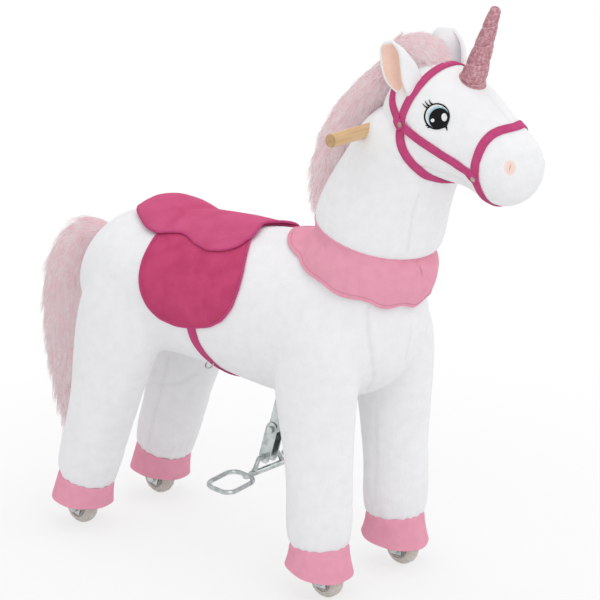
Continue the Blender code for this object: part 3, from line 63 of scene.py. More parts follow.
MM = 0.001
X_AXIS = Vector((1.0, 0.0, 0.0))
Y_AXIS = Vector((0.0, 1.0, 0.0))
Z_AXIS = Vector((0.0, 0.0, 1.0))
ORIGIN = (0.0, 0.0, 0.0)
WHITE = (1.0, 1.0, 1.0, 1.0)
TURN = 2 * math.pi
DRAPE_STEP = 3 * MM
Colour = tuple[float, float, float]
Pair = tuple[float, float]
Table = tuple[tuple[float, ...], ...]
Place = Callable[[float, float], Vector]


class Body(Enum):
    """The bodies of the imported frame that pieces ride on."""

    TORSO = "body"
    STEERING = "steering"
    FRONT_LEGS = "front_legs"
    REAR_LEGS = "rear_legs"
    PEDALS = "pedals"


class Slot(Enum):
    """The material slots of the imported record."""

    PLUSH = "plush"
    HAIR = "hair"
    FELT = "felt"
    SADDLE = "saddle"
    HORN = "horn"
    STEEL = "steel"
    WOOD = "wood"
    TREAD = "tread"
    PLASTIC = "plastic"


class Side(Enum):
    """The animal's two sides, as signs along X."""

    LEFT = 1
    RIGHT = -1

    @property
    def label(self) -> str:
        """The side's word in node names."""
        return self.name.lower()

    def mirrored(self, point: Vector | Sequence[float]) -> Vector:
        """The point given for the left side, on this side."""
        return Vector((point[0] * self.value, point[1], point[2]))


class Board:
    """A new material's node tree, with small helpers that add and join nodes."""

    def __init__(self, name: str) -> None:
        """Start a material with this name, which reads Object coordinates.

        Args:
            name: The material's name.
        """
        self.material = bpy.data.materials.new(name)
        self.material.use_nodes = True
        self.tree = self.material.node_tree
        self.shader = self.tree.nodes["Principled BSDF"]
        self.place = self.node("ShaderNodeTexCoord").outputs["Object"]

    def node(self, kind: str, inputs: dict | None = None, **settings: object) -> bpy.types.Node:
        """Add a node.

        Args:
            kind: The node's type name.
            inputs: A value or a socket for each input named.
            **settings: The node's own properties.

        Returns:
            The new node.
        """
        made = self.tree.nodes.new(kind)
        for name, value in settings.items():
            setattr(made, name, value)
        for key, value in (inputs or {}).items():
            self.feed(made.inputs[key], value)
        return made

    def feed(self, socket: bpy.types.NodeSocket, value: object) -> None:
        """Join an input socket to an output, or give it a value.

        Args:
            socket: The input socket.
            value: An output socket, or the value to set.
        """
        if isinstance(value, bpy.types.NodeSocket):
            self.tree.links.new(value, socket)
        else:
            socket.default_value = value

    def shade(self, **inputs: object) -> None:
        """Set or join inputs of the Principled shader, with underscores for spaces."""
        for name, value in inputs.items():
            self.feed(self.shader.inputs[name.replace("_", " ")], value)

    def show_instead(self, share: object, other: bpy.types.Node) -> None:
        """Show another shader in place of a share of the Principled one."""
        mix = self.node("ShaderNodeMixShader", {0: share, 1: self.shader.outputs[0], 2: other.outputs[0]})
        self.feed(self.tree.nodes["Material Output"].inputs["Surface"], mix.outputs[0])

    def noise(self, scale: float, detail: float = 2.0, stretch: Colour | None = None) -> bpy.types.NodeSocket:
        """A noise value in object space.

        Args:
            scale: Cells per metre.
            detail: Octaves of detail.
            stretch: Scale along each axis, for streaks.

        Returns:
            The noise output.
        """
        place = self.place
        if stretch:
            place = self.node("ShaderNodeMapping", {"Vector": place, "Scale": stretch}).outputs[0]
        return self.node("ShaderNodeTexNoise", {"Vector": place, "Scale": scale, "Detail": detail}).outputs[0]

    def attribute(self, name: str) -> bpy.types.NodeSocket:
        """A mesh attribute's value, which is 0 where the mesh has none."""
        return self.node("ShaderNodeAttribute", attribute_name=name).outputs["Fac"]

    def sum(self, operation: str, first: object, second: object = 0.5) -> bpy.types.NodeSocket:
        """The result of a Math node's operation on two values."""
        return self.node("ShaderNodeMath", {0: first, 1: second}, operation=operation).outputs[0]

    def spread(
        self, value: object, low: float, high: float, to_low: float = 0.0, to_high: float = 1.0
    ) -> bpy.types.NodeSocket:
        """A value's range mapped to another, and clamped to it.

        Args:
            value: The value's socket.
            low: Where the range starts.
            high: Where it ends.
            to_low: What it starts at after that.
            to_high: What it ends at after that.

        Returns:
            The result's socket.
        """
        inputs = {0: value, 1: low, 2: high, 3: to_low, 4: to_high}
        return self.node("ShaderNodeMapRange", inputs, clamp=True).outputs[0]

    def blend(self, share: object, first: object, second: object) -> bpy.types.NodeSocket:
        """A mix of two colours or colour sockets, with a share of the second.

        Args:
            share: How much of the second there is.
            first: A colour or its socket.
            second: A colour or its socket.

        Returns:
            The mixed colour's socket.
        """
        made = self.node("ShaderNodeMix", data_type="RGBA")
        colours = [value if isinstance(value, bpy.types.NodeSocket) else (*value, 1.0) for value in (first, second)]
        for index, value in zip((0, 6, 7), (share, *colours)):
            self.feed(made.inputs[index], value)
        return made.outputs[2]

    def bump(
        self, height: object, distance: float, strength: float = 1.0, under: object = None
    ) -> bpy.types.NodeSocket:
        """A bumped normal.

        Args:
            height: The height's socket, from 0 to 1.
            distance: The depth in metres.
            strength: How much of it shows.
            under: The normal below it.

        Returns:
            The normal's socket.
        """
        inputs = {"Height": height, "Distance": distance, "Strength": strength}
        if under:
            inputs["Normal"] = under
        return self.node("ShaderNodeBump", inputs).outputs[0]


@dataclass(frozen=True)
class Finish:
    """A material that is built when a piece first needs it."""

    name: str

    @lru_cache(maxsize=None)
    def material(self) -> bpy.types.Material:
        """The material, built at the first call.

        Returns:
            The material.
        """
        board = Board(self.name)
        self.paint(board)
        return board.material

    def paint(self, board: Board) -> None:
        """Lay out the material's nodes on its board."""
        raise NotImplementedError


@dataclass(frozen=True)
class PileFinish(Finish):
    """Brushed cloth: plush, velour or felt, with a nap that lies in patches; a mesh attribute mixes in painted shade at
    grooves and hollows, and a fade at a patch's edge.
    """

    base: Colour
    shade: Colour
    sheen: float = 0.25
    pile_scale: float = 1100.0
    pile_depth: float = 0.5 * MM
    nap_scale: float = 45.0
    # The colour that a mesh attribute mixes in: painted shade along seam grooves and in the ears' hollows, and the
    # white that a nostril patch fades to at its edge.
    seam: Colour = (0.6, 0.6, 0.6)

    def paint(self, board: Board) -> None:
        """Lay out the cloth's nodes.

        Args:
            board: The board to lay them out on.
        """
        nap = board.noise(self.nap_scale, 3.0)
        pile = board.noise(self.pile_scale, 3.0)
        brushed = board.noise(self.pile_scale / 3, 2.0, (1.0, 1.0, 0.3))
        worn = board.sum("ADD", board.sum("MULTIPLY", nap, 0.5), board.sum("MULTIPLY", pile, 0.5))
        colour = board.blend(board.spread(worn, 0.34, 0.60), self.shade, self.base)
        # Mix in painted shade along seam grooves and in the ear's hollow, and a nostril patch's fade to white, by the
        # mesh attribute's weight.
        colour = board.blend(board.attribute("seam"), colour, self.seam)
        height = board.sum("ADD", pile, brushed)
        normal = board.bump(board.noise(self.nap_scale * 2.0, 2.0), 1.2 * MM, 0.16)
        normal = board.bump(height, self.pile_depth, 0.45, normal)
        board.shade(Base_Color=colour, Normal=normal, Roughness=0.92, Specular_IOR_Level=0.15)
        board.shade(Sheen_Weight=self.sheen, Sheen_Roughness=0.5, Sheen_Tint=(*self.base, 1.0))


@dataclass(frozen=True)
class HairFinish(Finish):
    """Long pile, deeper at the roots and paler at the tips."""

    root: Colour
    tip: Colour

    def paint(self, board: Board) -> None:
        """Lay out the pile's nodes.

        Args:
            board: The board to lay them out on.
        """
        reach = board.spread(board.attribute("reach"), 0.0, 0.75)
        patch = board.spread(board.noise(70.0, 3.0), 0.3, 0.7, -0.25, 0.25)
        share = board.sum("ADD", board.sum("ADD", reach, patch), board.attribute("tint"))
        streak = board.noise(900.0, 2.0, (1.0, 1.0, 0.08))
        colour = board.blend(board.spread(share, 0.0, 1.0), self.root, self.tip)
        board.shade(Base_Color=colour, Roughness=0.62, Sheen_Weight=0.35, Specular_IOR_Level=0.3)
        board.shade(Normal=board.bump(streak, 0.4 * MM, 0.4))
        board.show_instead(0.40, board.node("ShaderNodeBsdfTranslucent", {"Color": colour}))


@dataclass(frozen=True)
class GlitterFinish(Finish):
    """Metallic coated cloth that sparkles."""

    base: Colour
    spark: Colour

    def paint(self, board: Board) -> None:
        """Lay out the cloth's nodes.

        Args:
            board: The board to lay them out on.
        """
        flakes = board.node("ShaderNodeTexVoronoi", {"Vector": board.place, "Scale": 1500.0})
        bright = board.spread(board.sum("MULTIPLY", flakes.outputs["Color"], 1.0), 0.55, 0.95)
        patches = board.spread(board.noise(240.0), 0.4, 0.7, 0.0, 0.4)
        mottled = board.sum("ADD", board.sum("MULTIPLY", bright, 0.6), patches)
        board.shade(Base_Color=board.blend(mottled, self.base, self.spark), Metallic=0.75)
        board.shade(Roughness=board.spread(flakes.outputs["Distance"], 0.0, 0.8, 0.28, 0.5))
        weave = board.bump(board.noise(420.0, 4.0), 0.9 * MM, 0.5)
        board.shade(Normal=board.bump(flakes.outputs["Distance"], 0.35 * MM, 0.7, weave))


@dataclass(frozen=True)
class WoodFinish(Finish):
    """Pale turned wood with its grain along the bar, under a clear varnish."""

    early: Colour
    late: Colour

    def paint(self, board: Board) -> None:
        """Lay out the wood's nodes.

        Args:
            board: The board to lay them out on.
        """
        bent = board.noise(14.0, 3.0, (0.25, 1.0, 1.0))
        grain = board.noise(260.0, 4.0, (0.04, 1.0, 1.0))
        pores = board.noise(1400.0, 2.0, (0.03, 1.0, 1.0))
        share = board.spread(board.sum("ADD", bent, board.sum("MULTIPLY", grain, 0.8)), 0.7, 1.1)
        axes = board.node("ShaderNodeSeparateXYZ", {0: board.place}).outputs
        end = board.spread(board.sum("ABSOLUTE", axes[0]), 0.1488, 0.1496, 0.0, 0.75)
        side = board.blend(share, self.early, self.late)
        cut = board.blend(board.spread(grain, 0.4, 0.6), tuple(c * 0.62 for c in self.late), self.late)
        board.shade(Base_Color=board.blend(end, side, cut), Coat_Weight=0.25, Coat_Roughness=0.2)
        board.shade(Roughness=board.spread(grain, 0.3, 0.7, 0.38, 0.55), Normal=board.bump(pores, 0.1 * MM, 0.5))


@dataclass(frozen=True)
class MetalFinish(Finish):
    """Plated steel with faint drawn streaks and dull patches."""

    base: Colour
    dull: Colour
    roughness: float = 0.3

    def paint(self, board: Board) -> None:
        """Lay out the metal's nodes.

        Args:
            board: The board to lay them out on.
        """
        patch = board.noise(90.0, 4.0)
        fine = board.noise(1300.0, 2.0)
        board.shade(Base_Color=board.blend(board.spread(patch, 0.4, 0.65), self.base, self.dull), Metallic=1.0)
        rough = board.spread(board.sum("ADD", patch, fine), 0.7, 1.3, self.roughness - 0.06, self.roughness + 0.14)
        board.shade(Roughness=rough, Normal=board.bump(fine, 0.05 * MM, 0.4))


@dataclass(frozen=True)
class CastFinish(Finish):
    """Moulded plastic or rubber that lets a little light in."""

    base: Colour
    deep: Colour
    roughness: float = 0.35
    clear: float = 0.0

    def paint(self, board: Board) -> None:
        """Lay out the plastic's nodes.

        Args:
            board: The board to lay them out on.
        """
        cloud = board.noise(120.0, 3.0)
        scuff = board.noise(700.0, 4.0, (1.0, 0.25, 0.25))
        board.shade(Base_Color=board.blend(board.spread(cloud, 0.35, 0.65), self.base, self.deep))
        board.shade(Roughness=board.spread(scuff, 0.4, 0.7, self.roughness, self.roughness + 0.2))
        board.shade(Transmission_Weight=self.clear, IOR=1.45, Normal=board.bump(scuff, 0.05 * MM, 0.25))


@dataclass(frozen=True)
class ThreadFinish(Finish):
    """Satin stitched embroidery, with its threads along one direction."""

    base: Colour

    def paint(self, board: Board) -> None:
        """Lay out the thread's nodes.

        Args:
            board: The board to lay them out on.
        """
        threads = board.noise(1500.0, 1.0, (0.2, 0.2, 1.0))
        darker = tuple(channel * 0.72 for channel in self.base)
        board.shade(Base_Color=board.blend(board.spread(threads, 0.35, 0.65), darker, self.base))
        board.shade(Roughness=0.6, Sheen_Weight=0.15 * max(self.base), Specular_IOR_Level=0.2)
        board.shade(Normal=board.bump(threads, 0.25 * MM, 0.6))


# Each cloth's last colour is mixed in by a mesh attribute: painted shade in the white plush's seam grooves and the
# peach lining's hollow, and the white that the nostril patch fades to at its edge.
WHITE_PLUSH = PileFinish(
    "white_plush", (0.90, 0.905, 0.92), (0.845, 0.85, 0.865), 0.10, 900.0, 0.6 * MM, 60.0, (0.60, 0.60, 0.59)
)
PEACH_PLUSH = PileFinish(
    "peach_plush", (0.94, 0.70, 0.60), (0.88, 0.60, 0.49), 0.15, 1000.0, 0.4 * MM, 70.0, (0.80, 0.47, 0.35)
)
PEACH_SPOT = PileFinish(
    "peach_spot", (0.92, 0.72, 0.65), (0.90, 0.68, 0.60), 0.10, 900.0, 0.5 * MM, 70.0, (0.90, 0.905, 0.92)
)
DEEP_PEACH = PileFinish("deep_peach", (0.80, 0.42, 0.33), (0.74, 0.36, 0.28), 0.1)
PINK_VELOUR = PileFinish(
    "pink_velour", (0.59, 0.072, 0.185), (0.47, 0.046, 0.135), 0.30, 1200.0, 0.35 * MM, 38.0, (0.34, 0.03, 0.09)
)
# A lighter, shinier copy of the flaps' velour: the seat's top is painted lighter for the light that falls on it.
LIT_SEAT_VELOUR = PileFinish(
    "lit_seat_velour", (0.62, 0.105, 0.235), (0.53, 0.072, 0.175), 0.40, 1200.0, 0.35 * MM, 30.0, (0.38, 0.035, 0.10)
)
PINK_RIBBON = PileFinish(
    "pink_ribbon", (0.58, 0.078, 0.225), (0.48, 0.058, 0.175), 0.12, 1500.0, 0.2 * MM, 90.0, (0.33, 0.03, 0.09)
)
PINK_FELT = PileFinish(
    "pink_felt", (0.84, 0.37, 0.485), (0.77, 0.32, 0.43), 0.15, 1300.0, 0.3 * MM, 60.0, (0.56, 0.2, 0.29)
)
LONG_PILE = HairFinish("pink_long_pile", (0.96, 0.68, 0.725), (0.99, 0.90, 0.915))
HORN_CLOTH = GlitterFinish("glitter_cloth", (0.43, 0.165, 0.205), (0.90, 0.62, 0.66))
DOWEL_WOOD = WoodFinish("pale_dowel", (0.72, 0.50, 0.27), (0.57, 0.35, 0.16))
BOARD_WOOD = WoodFinish("plain_board", (0.62, 0.42, 0.22), (0.50, 0.32, 0.15))
ZINC = MetalFinish("zinc_plate", (0.62, 0.66, 0.66), (0.42, 0.455, 0.45), 0.28)
RIVET_METAL = MetalFinish("rivet_metal", (0.52, 0.46, 0.41), (0.36, 0.31, 0.27), 0.34)
THREAD_METAL = MetalFinish("metallic_thread", (0.86, 0.60, 0.64), (0.74, 0.46, 0.52), 0.28)
TYRE_CAST = CastFinish("clear_tyre", (0.80, 0.755, 0.70), (0.73, 0.68, 0.62), 0.25, 0.18)
HUB_CAST = CastFinish("grey_hub", (0.72, 0.69, 0.65), (0.62, 0.59, 0.55), 0.4)
BLACK_THREAD = ThreadFinish("black_thread", (0.004, 0.004, 0.005))
WHITE_THREAD = ThreadFinish("white_thread", (0.93, 0.93, 0.93))
BLUE_THREAD = ThreadFinish("blue_thread", (0.46, 0.68, 0.77))
PALE_BLUE_THREAD = ThreadFinish("pale_blue_thread", (0.76, 0.87, 0.90))
PINK_THREAD = ThreadFinish("pink_thread", (0.62, 0.11, 0.22))
DUSKY_THREAD = ThreadFinish("dusky_thread", (0.50, 0.17, 0.26))


class Bench:
    """Modelling steps that the pieces share, each with nothing else selected."""

    @staticmethod
    def clear() -> None:
        """Leave edit mode and deselect everything."""
        if bpy.context.mode != "OBJECT":
            bpy.ops.object.mode_set(mode="OBJECT")
        bpy.ops.object.select_all(action="DESELECT")

    @staticmethod
    def take(piece: bpy.types.Object) -> None:
        """Select one piece and make it active.

        Args:
            piece: The object.
        """
        Bench.clear()
        piece.select_set(True)
        bpy.context.view_layer.objects.active = piece

    @staticmethod
    @contextmanager
    def editing(piece: bpy.types.Object) -> Iterator[None]:
        """Edit a piece's mesh, with all of it selected.

        Args:
            piece: The object.

        Returns:
            A context, which leaves edit mode at its end.
        """
        Bench.take(piece)
        bpy.ops.object.mode_set(mode="EDIT")
        bpy.ops.mesh.select_all(action="SELECT")
        yield
        bpy.ops.object.mode_set(mode="OBJECT")

    @staticmethod
    def link(name: str, data: bpy.types.ID) -> bpy.types.Object:
        """A new object in the scene, with the data given.

        Args:
            name: The object's name.
            data: Its mesh, curve, camera or lamp.

        Returns:
            The object.
        """
        made = bpy.data.objects.new(name, data)
        bpy.context.scene.collection.objects.link(made)
        return made

    @staticmethod
    def modify(piece: bpy.types.Object, kind: str, **settings: object) -> None:
        """Add a modifier of a kind with its settings, and apply it.

        Args:
            piece: The object.
            kind: The modifier's type.
            **settings: Its settings.
        """
        made = piece.modifiers.new(kind.lower(), kind)
        for name, value in settings.items():
            setattr(made, name, value)
        Bench.take(piece)
        bpy.ops.object.modifier_apply(modifier=made.name)

    @staticmethod
    def thicken(piece: bpy.types.Object, thickness: float, levels: int = 0) -> None:
        """Give a sheet its thickness, and round it by levels of subdivision.

        Args:
            piece: The sheet.
            thickness: Its thickness.
            levels: Levels of subdivision.
        """
        Bench.modify(piece, "SOLIDIFY", thickness=thickness, offset=0.0)
        if levels:
            Bench.modify(piece, "SUBSURF", levels=levels, render_levels=levels)

    @staticmethod
    def joined(pieces: Sequence[bpy.types.Object], name: str) -> bpy.types.Object:
        """Several objects made one, with a new name.

        Args:
            pieces: The objects.
            name: The result's name.

        Returns:
            The one object.
        """
        Bench.take(pieces[0])
        for piece in pieces:
            piece.select_set(True)
        bpy.ops.object.join()
        made = bpy.context.object
        made.name = name
        return made

    @staticmethod
    def copied(piece: bpy.types.Object, name: str) -> bpy.types.Object:
        """A copy with its own mesh."""
        return Bench.link(name, piece.data.copy())

    @staticmethod
    def mirrored(piece: bpy.types.Object, name: str) -> bpy.types.Object:
        """A copy mirrored across X, with its faces outwards.

        Args:
            piece: The object to mirror.
            name: The copy's name.

        Returns:
            The copy.
        """
        made = Bench.copied(piece, name)
        made.data.transform(Matrix.Diagonal((-1.0, 1.0, 1.0, 1.0)))
        made.data.flip_normals()
        return made

    @staticmethod
    def smooth(piece: bpy.types.Object) -> None:
        """Shade a piece smooth."""
        Bench.take(piece)
        bpy.ops.object.shade_smooth()

    @staticmethod
    def soften(piece: bpy.types.Object, angle: float = 60.0) -> None:
        """Shade a piece smooth except at edges sharper than an angle in degrees."""
        Bench.take(piece)
        bpy.ops.object.shade_smooth_by_angle(angle=math.radians(angle))

    @staticmethod
    def outwards(piece: bpy.types.Object, soft: float | None = None) -> None:
        """Turn a closed piece's faces outwards, and soften it up to an angle in degrees if one is given.

        Args:
            piece: The object.
            soft: The sharpest angle that is softened.
        """
        with Bench.editing(piece):
            bpy.ops.mesh.normals_make_consistent(inside=False)
        if soft:
            Bench.soften(piece, soft)

    @staticmethod
    def weld(piece: bpy.types.Object, within: float = 0.01 * MM) -> None:
        """Merge points that lie together."""
        with Bench.editing(piece):
            bpy.ops.mesh.remove_doubles(threshold=within)

    @staticmethod
    def close(piece: bpy.types.Object, operator: Callable[[], object]) -> None:
        """Close a piece's open edges with an operator that fills or bridges them.

        Args:
            piece: The object with open edges.
            operator: The operator, which works on the edges selected.
        """
        with Bench.editing(piece):
            bpy.ops.mesh.select_mode(type="EDGE")
            bpy.ops.mesh.select_all(action="DESELECT")
            bpy.ops.mesh.select_non_manifold(
                extend=False, use_wire=False, use_multi_face=False, use_non_contiguous=False, use_verts=False
            )
            operator()
            bpy.ops.mesh.select_mode(type="VERT")

    @staticmethod
    def points(piece: bpy.types.Object) -> np.ndarray:
        """The vertices' places, one row each.

        Args:
            piece: The object.

        Returns:
            The places.
        """
        found = np.zeros(len(piece.data.vertices) * 3)
        piece.data.vertices.foreach_get("co", found)
        return found.reshape(-1, 3)

    @staticmethod
    def normals(piece: bpy.types.Object) -> np.ndarray:
        """The vertices' normals, one row each."""
        return np.array([tuple(n.vector) for n in piece.data.vertex_normals])

    @staticmethod
    def area(piece: bpy.types.Object) -> float:
        """The area of all faces."""
        return sum(face.area for face in piece.data.polygons)

    @staticmethod
    def move(piece: bpy.types.Object, places: np.ndarray) -> None:
        """Put the vertices at new places."""
        piece.data.vertices.foreach_set("co", np.asarray(places, np.float32).ravel())
        piece.data.update()

    @staticmethod
    def note(piece: bpy.types.Object, name: str, values: np.ndarray) -> None:
        """Keep a number for each vertex as an attribute."""
        found = piece.data.attributes.get(name) or piece.data.attributes.new(name, "FLOAT", "POINT")
        found.data.foreach_set("value", np.asarray(values, np.float32))

    @staticmethod
    def weigh(piece: bpy.types.Object, name: str, weights: np.ndarray, least: float = 0.01) -> None:
        """Keep the weights above a least one as a vertex group.

        Args:
            piece: The object.
            name: The group's name.
            weights: One weight for each vertex.
            least: The least weight that is kept.
        """
        group = piece.vertex_groups.new(name=name)
        for index in np.nonzero(weights > least)[0]:
            group.add([int(index)], float(weights[index]), "REPLACE")

    @staticmethod
    def melt(piece: bpy.types.Object, name: str, weights: np.ndarray, iterations: int) -> None:
        """Smooth a remeshed piece strongly where it is weighted, and a little all over.

        Args:
            piece: The object.
            name: The name of its group of weights.
            weights: One weight for each vertex.
            iterations: How often it is smoothed there.
        """
        Bench.weigh(piece, name, weights)
        Bench.modify(piece, "SMOOTH", factor=0.6, iterations=iterations, vertex_group=name)
        Bench.modify(piece, "SMOOTH", factor=0.5, iterations=6)

    @staticmethod
    def grid(name: str, columns: int, rows: int, place: Place, around: bool = False) -> bpy.types.Object:
        """A grid laid point by point on a surface.

        Args:
            name: The object's name.
            columns: Faces along the grid's first direction.
            rows: Faces along its second.
            place: Where a point goes, from its two shares of the grid.
            around: Whether the first direction closes on itself.

        Returns:
            The object.
        """
        Bench.clear()
        bpy.ops.mesh.primitive_grid_add(x_subdivisions=columns, y_subdivisions=rows, size=1.0, location=ORIGIN)
        made = bpy.context.object
        made.name = name
        for vertex in made.data.vertices:
            vertex.co = place(vertex.co.x + 0.5, vertex.co.y + 0.5)
        made.data.update()
        if around:
            Bench.weld(made, 0.02 * MM)
        return made

    @staticmethod
    def lathe(
        name: str, outline: Sequence[Pair], sides: int, axes: tuple[Vector, ...], closed: bool = False
    ) -> bpy.types.Object:
        """A turned form.

        Args:
            name: The object's name.
            outline: Its section: places along the axis and away from it.
            sides: Faces round it.
            axes: Its middle, its axis and the two directions across it.
            closed: Whether the section is a ring.

        Returns:
            The object.
        """
        centre, along_way, first, second = axes
        rows = len(outline) - (0 if closed else 1)

        def place(u: float, v: float) -> Vector:
            """The form's point.

            Args:
                u: The share round the axis.
                v: The share along the outline.

            Returns:
                The point.
            """
            along, reach = outline[round(v * rows) % len(outline)]
            turn = TURN * u
            return centre + along_way * along + (first * math.cos(turn) + second * math.sin(turn)) * reach

        return Bench.grid(name, sides, rows, place, around=True)

    @staticmethod
    def tube(name: str, line: Sequence[Vector], radius: float, closed: bool, round_steps: int = 3) -> bpy.types.Object:
        """A round bar or piping along a line.

        Args:
            name: The object's name.
            line: The points of its middle line.
            radius: Its radius.
            closed: Whether its ends meet.
            round_steps: How finely its section is rounded.

        Returns:
            The bar as a mesh.
        """
        Bench.clear()
        curve = bpy.data.curves.new(name, "CURVE")
        curve.dimensions = "3D"
        curve.bevel_depth = radius
        curve.bevel_resolution = round_steps
        curve.use_fill_caps = not closed
        spline = curve.splines.new("POLY")
        spline.points.add(len(line) - 1)
        for point, place in zip(spline.points, line):
            point.co = (*place, 1.0)
        spline.use_cyclic_u = closed
        Bench.take(Bench.link(name, curve))
        bpy.ops.object.convert(target="MESH")
        made = bpy.context.object
        Bench.weld(made)
        Bench.outwards(made, 60.0)
        return made

    @staticmethod
    def dress(
        piece: bpy.types.Object, finish: Finish, slot: Slot, body: Body | str | None, stands_for: Iterable[str] = ()
    ) -> bpy.types.Object:
        """Give a piece its material and its place in the frame.

        Args:
            piece: The finished object.
            finish: The finish that builds its material.
            slot: The record's slot for it; not used.
            body: The body that it rides on, or None to leave it unattached.
            stands_for: The CAD nodes that it replaces.

        Returns:
            The piece.
        """
        piece.data.materials.clear()
        piece.data.materials.append(finish.material())
        if body:
            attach(piece, body.value if isinstance(body, Body) else body)
        if stands_for:
            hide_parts(*stands_for)
        LOG.info("%s: %d faces", piece.name, len(piece.data.polygons))
        return piece


@dataclass(frozen=True)
class Ring:
    """One ring of a stuffed form. Its plane turns about X by its tilt from level."""

    y: float
    z: float
    half_width: float
    half_depth: float
    tilt: float = 0.0
    x: float = 0.0

    def stand(self, taut: float) -> None:
        """Bring a unit circle that is being edited to this ring.

        Args:
            taut: A factor on its sizes, for what rounding takes off.
        """
        bpy.ops.transform.resize(value=(self.half_width * taut, self.half_depth * taut, 1.0), center_override=ORIGIN)
        bpy.ops.transform.rotate(value=-self.tilt, orient_axis="X", center_override=ORIGIN)
        bpy.ops.transform.translate(value=(self.x, self.y, self.z))

    def lay(self, taut: float) -> None:
        """Bring this ring back to the unit circle.

        Args:
            taut: The factor that it stood with.
        """
        bpy.ops.transform.translate(value=(-self.x, -self.y, -self.z))
        bpy.ops.transform.rotate(value=self.tilt, orient_axis="X", center_override=ORIGIN)
        shrink = (1 / (self.half_width * taut), 1 / (self.half_depth * taut), 1.0)
        bpy.ops.transform.resize(value=shrink, center_override=ORIGIN)


def stuffed(name: str, rings: Sequence[Ring], sides: int) -> bpy.types.Object:
    """A closed form extruded from ring to ring, then rounded.

    Args:
        name: The object's name.
        rings: Its rings in order.
        sides: The corners of each ring.

    Returns:
        The form.
    """
    Bench.clear()
    bpy.ops.mesh.primitive_circle_add(vertices=sides, radius=1.0, fill_type="NGON", location=ORIGIN)
    form = bpy.context.object
    form.name = name
    taut = 3 / (2 + math.cos(TURN / sides))
    with Bench.editing(form):
        rings[0].stand(taut)
        for before, after in zip(rings, rings[1:]):
            bpy.ops.mesh.extrude_region_move()
            before.lay(taut)
            after.stand(taut)
        bpy.ops.mesh.select_all(action="SELECT")
        bpy.ops.mesh.normals_make_consistent(inside=False)
    Bench.modify(form, "SUBSURF", levels=2, render_levels=2)
    return form


class Skin:
    """The surface of a finished soft piece, which other pieces are laid on."""

    def __init__(self, piece: bpy.types.Object) -> None:
        """Read the piece's mesh.

        Args:
            piece: The object to lay others on.
        """
        mesh = piece.data
        normals = Bench.normals(piece)
        self.tree = BVHTree.FromPolygons(
            [vertex.co.copy() for vertex in mesh.vertices], [tuple(face.vertices) for face in mesh.polygons]
        )
        self.smooth = [Vector(normals[list(face.vertices)].mean(0)).normalized() for face in mesh.polygons]

    def nearest(self, point: Vector) -> tuple[Vector, Vector]:
        """The closest point of the surface, and its smooth normal."""
        place, _, index, _ = self.tree.find_nearest(point)
        return place, self.smooth[index]

    def lifted(self, point: Vector, height: float) -> Vector:
        """The closest point of the surface, lifted off it."""
        place, normal = self.nearest(point)
        return place + normal * height

    def hit(self, start: Vector, way: Vector) -> tuple[Vector, Vector] | None:
        """Where a ray meets the surface, with its smooth normal, or None."""
        place, _, index, _ = self.tree.ray_cast(start, way)
        return None if place is None else (place, self.smooth[index])


class Outline:
    """A flat pattern's edge, measured from a hub that sees all of it."""

    def __init__(self, points: Sequence[Pair], hub: Sequence[float] | None = None) -> None:
        """Measure the edge from a hub, or from the mean of its points.

        Args:
            points: Points of the edge.
            hub: The hub.
        """
        flat = np.array(points)
        self.hub = flat.mean(0) if hub is None else hub
        angles = np.arctan2(flat[:, 1] - self.hub[1], flat[:, 0] - self.hub[0])
        order = np.argsort(angles)
        self.angles = angles[order]
        self.reaches = np.linalg.norm(flat - np.array(self.hub), axis=1)[order]

    def reach(self, angle: float) -> float:
        """The way from the hub to the edge in a direction."""
        return float(np.interp(angle, self.angles, self.reaches, period=TURN))

    def point(self, angle: float, reach: float) -> Pair:
        """The point at a direction and a distance from the hub."""
        return self.hub[0] + reach * math.cos(angle), self.hub[1] + reach * math.sin(angle)

    def within(self, u: float, v: float) -> tuple[float, float, float]:
        """A square grid's point rounded to the outline, and its share of the way to the edge.

        Args:
            u: The grid's first share.
            v: Its second share.

        Returns:
            The point's two places, and its share of the way.
        """
        x, y = u * 2 - 1, v * 2 - 1
        disc_x, disc_y = x * math.sqrt(1 - y * y / 2), y * math.sqrt(1 - x * x / 2)
        angle, share = math.atan2(disc_y, disc_x), math.hypot(disc_x, disc_y)
        return *self.point(angle, self.reach(angle) * share), min(share, 1.0)


def row(vector: Vector) -> np.ndarray:
    """A vector as an array."""
    return np.array(tuple(vector))


def spaced(count: int) -> np.ndarray:
    """Angles at even steps round a full turn."""
    return np.linspace(0, TURN, count, endpoint=False)


def steps(count: int) -> list[float]:
    """Even shares from 0 to 1."""
    return [step / (count - 1) for step in range(count)]


def read(table: Sequence[Sequence[float]], share: float) -> list[float]:
    """The rest of a table's row at a share, read between rows that start with theirs."""
    shares = [line[0] for line in table]
    return [float(np.interp(share, shares, [line[column] for line in table])) for column in range(1, len(table[0]))]


def eased(values: np.ndarray) -> np.ndarray:
    """Numbers clamped to 0 to 1, with a smooth start and end."""
    held = np.clip(values, 0.0, 1.0)
    return held * held * (3 - 2 * held)


def bell(offset: object, width: float) -> object:
    """A smooth bump of height 1 about 0, for a number or an array."""
    return np.exp(-((offset / width) ** 2))


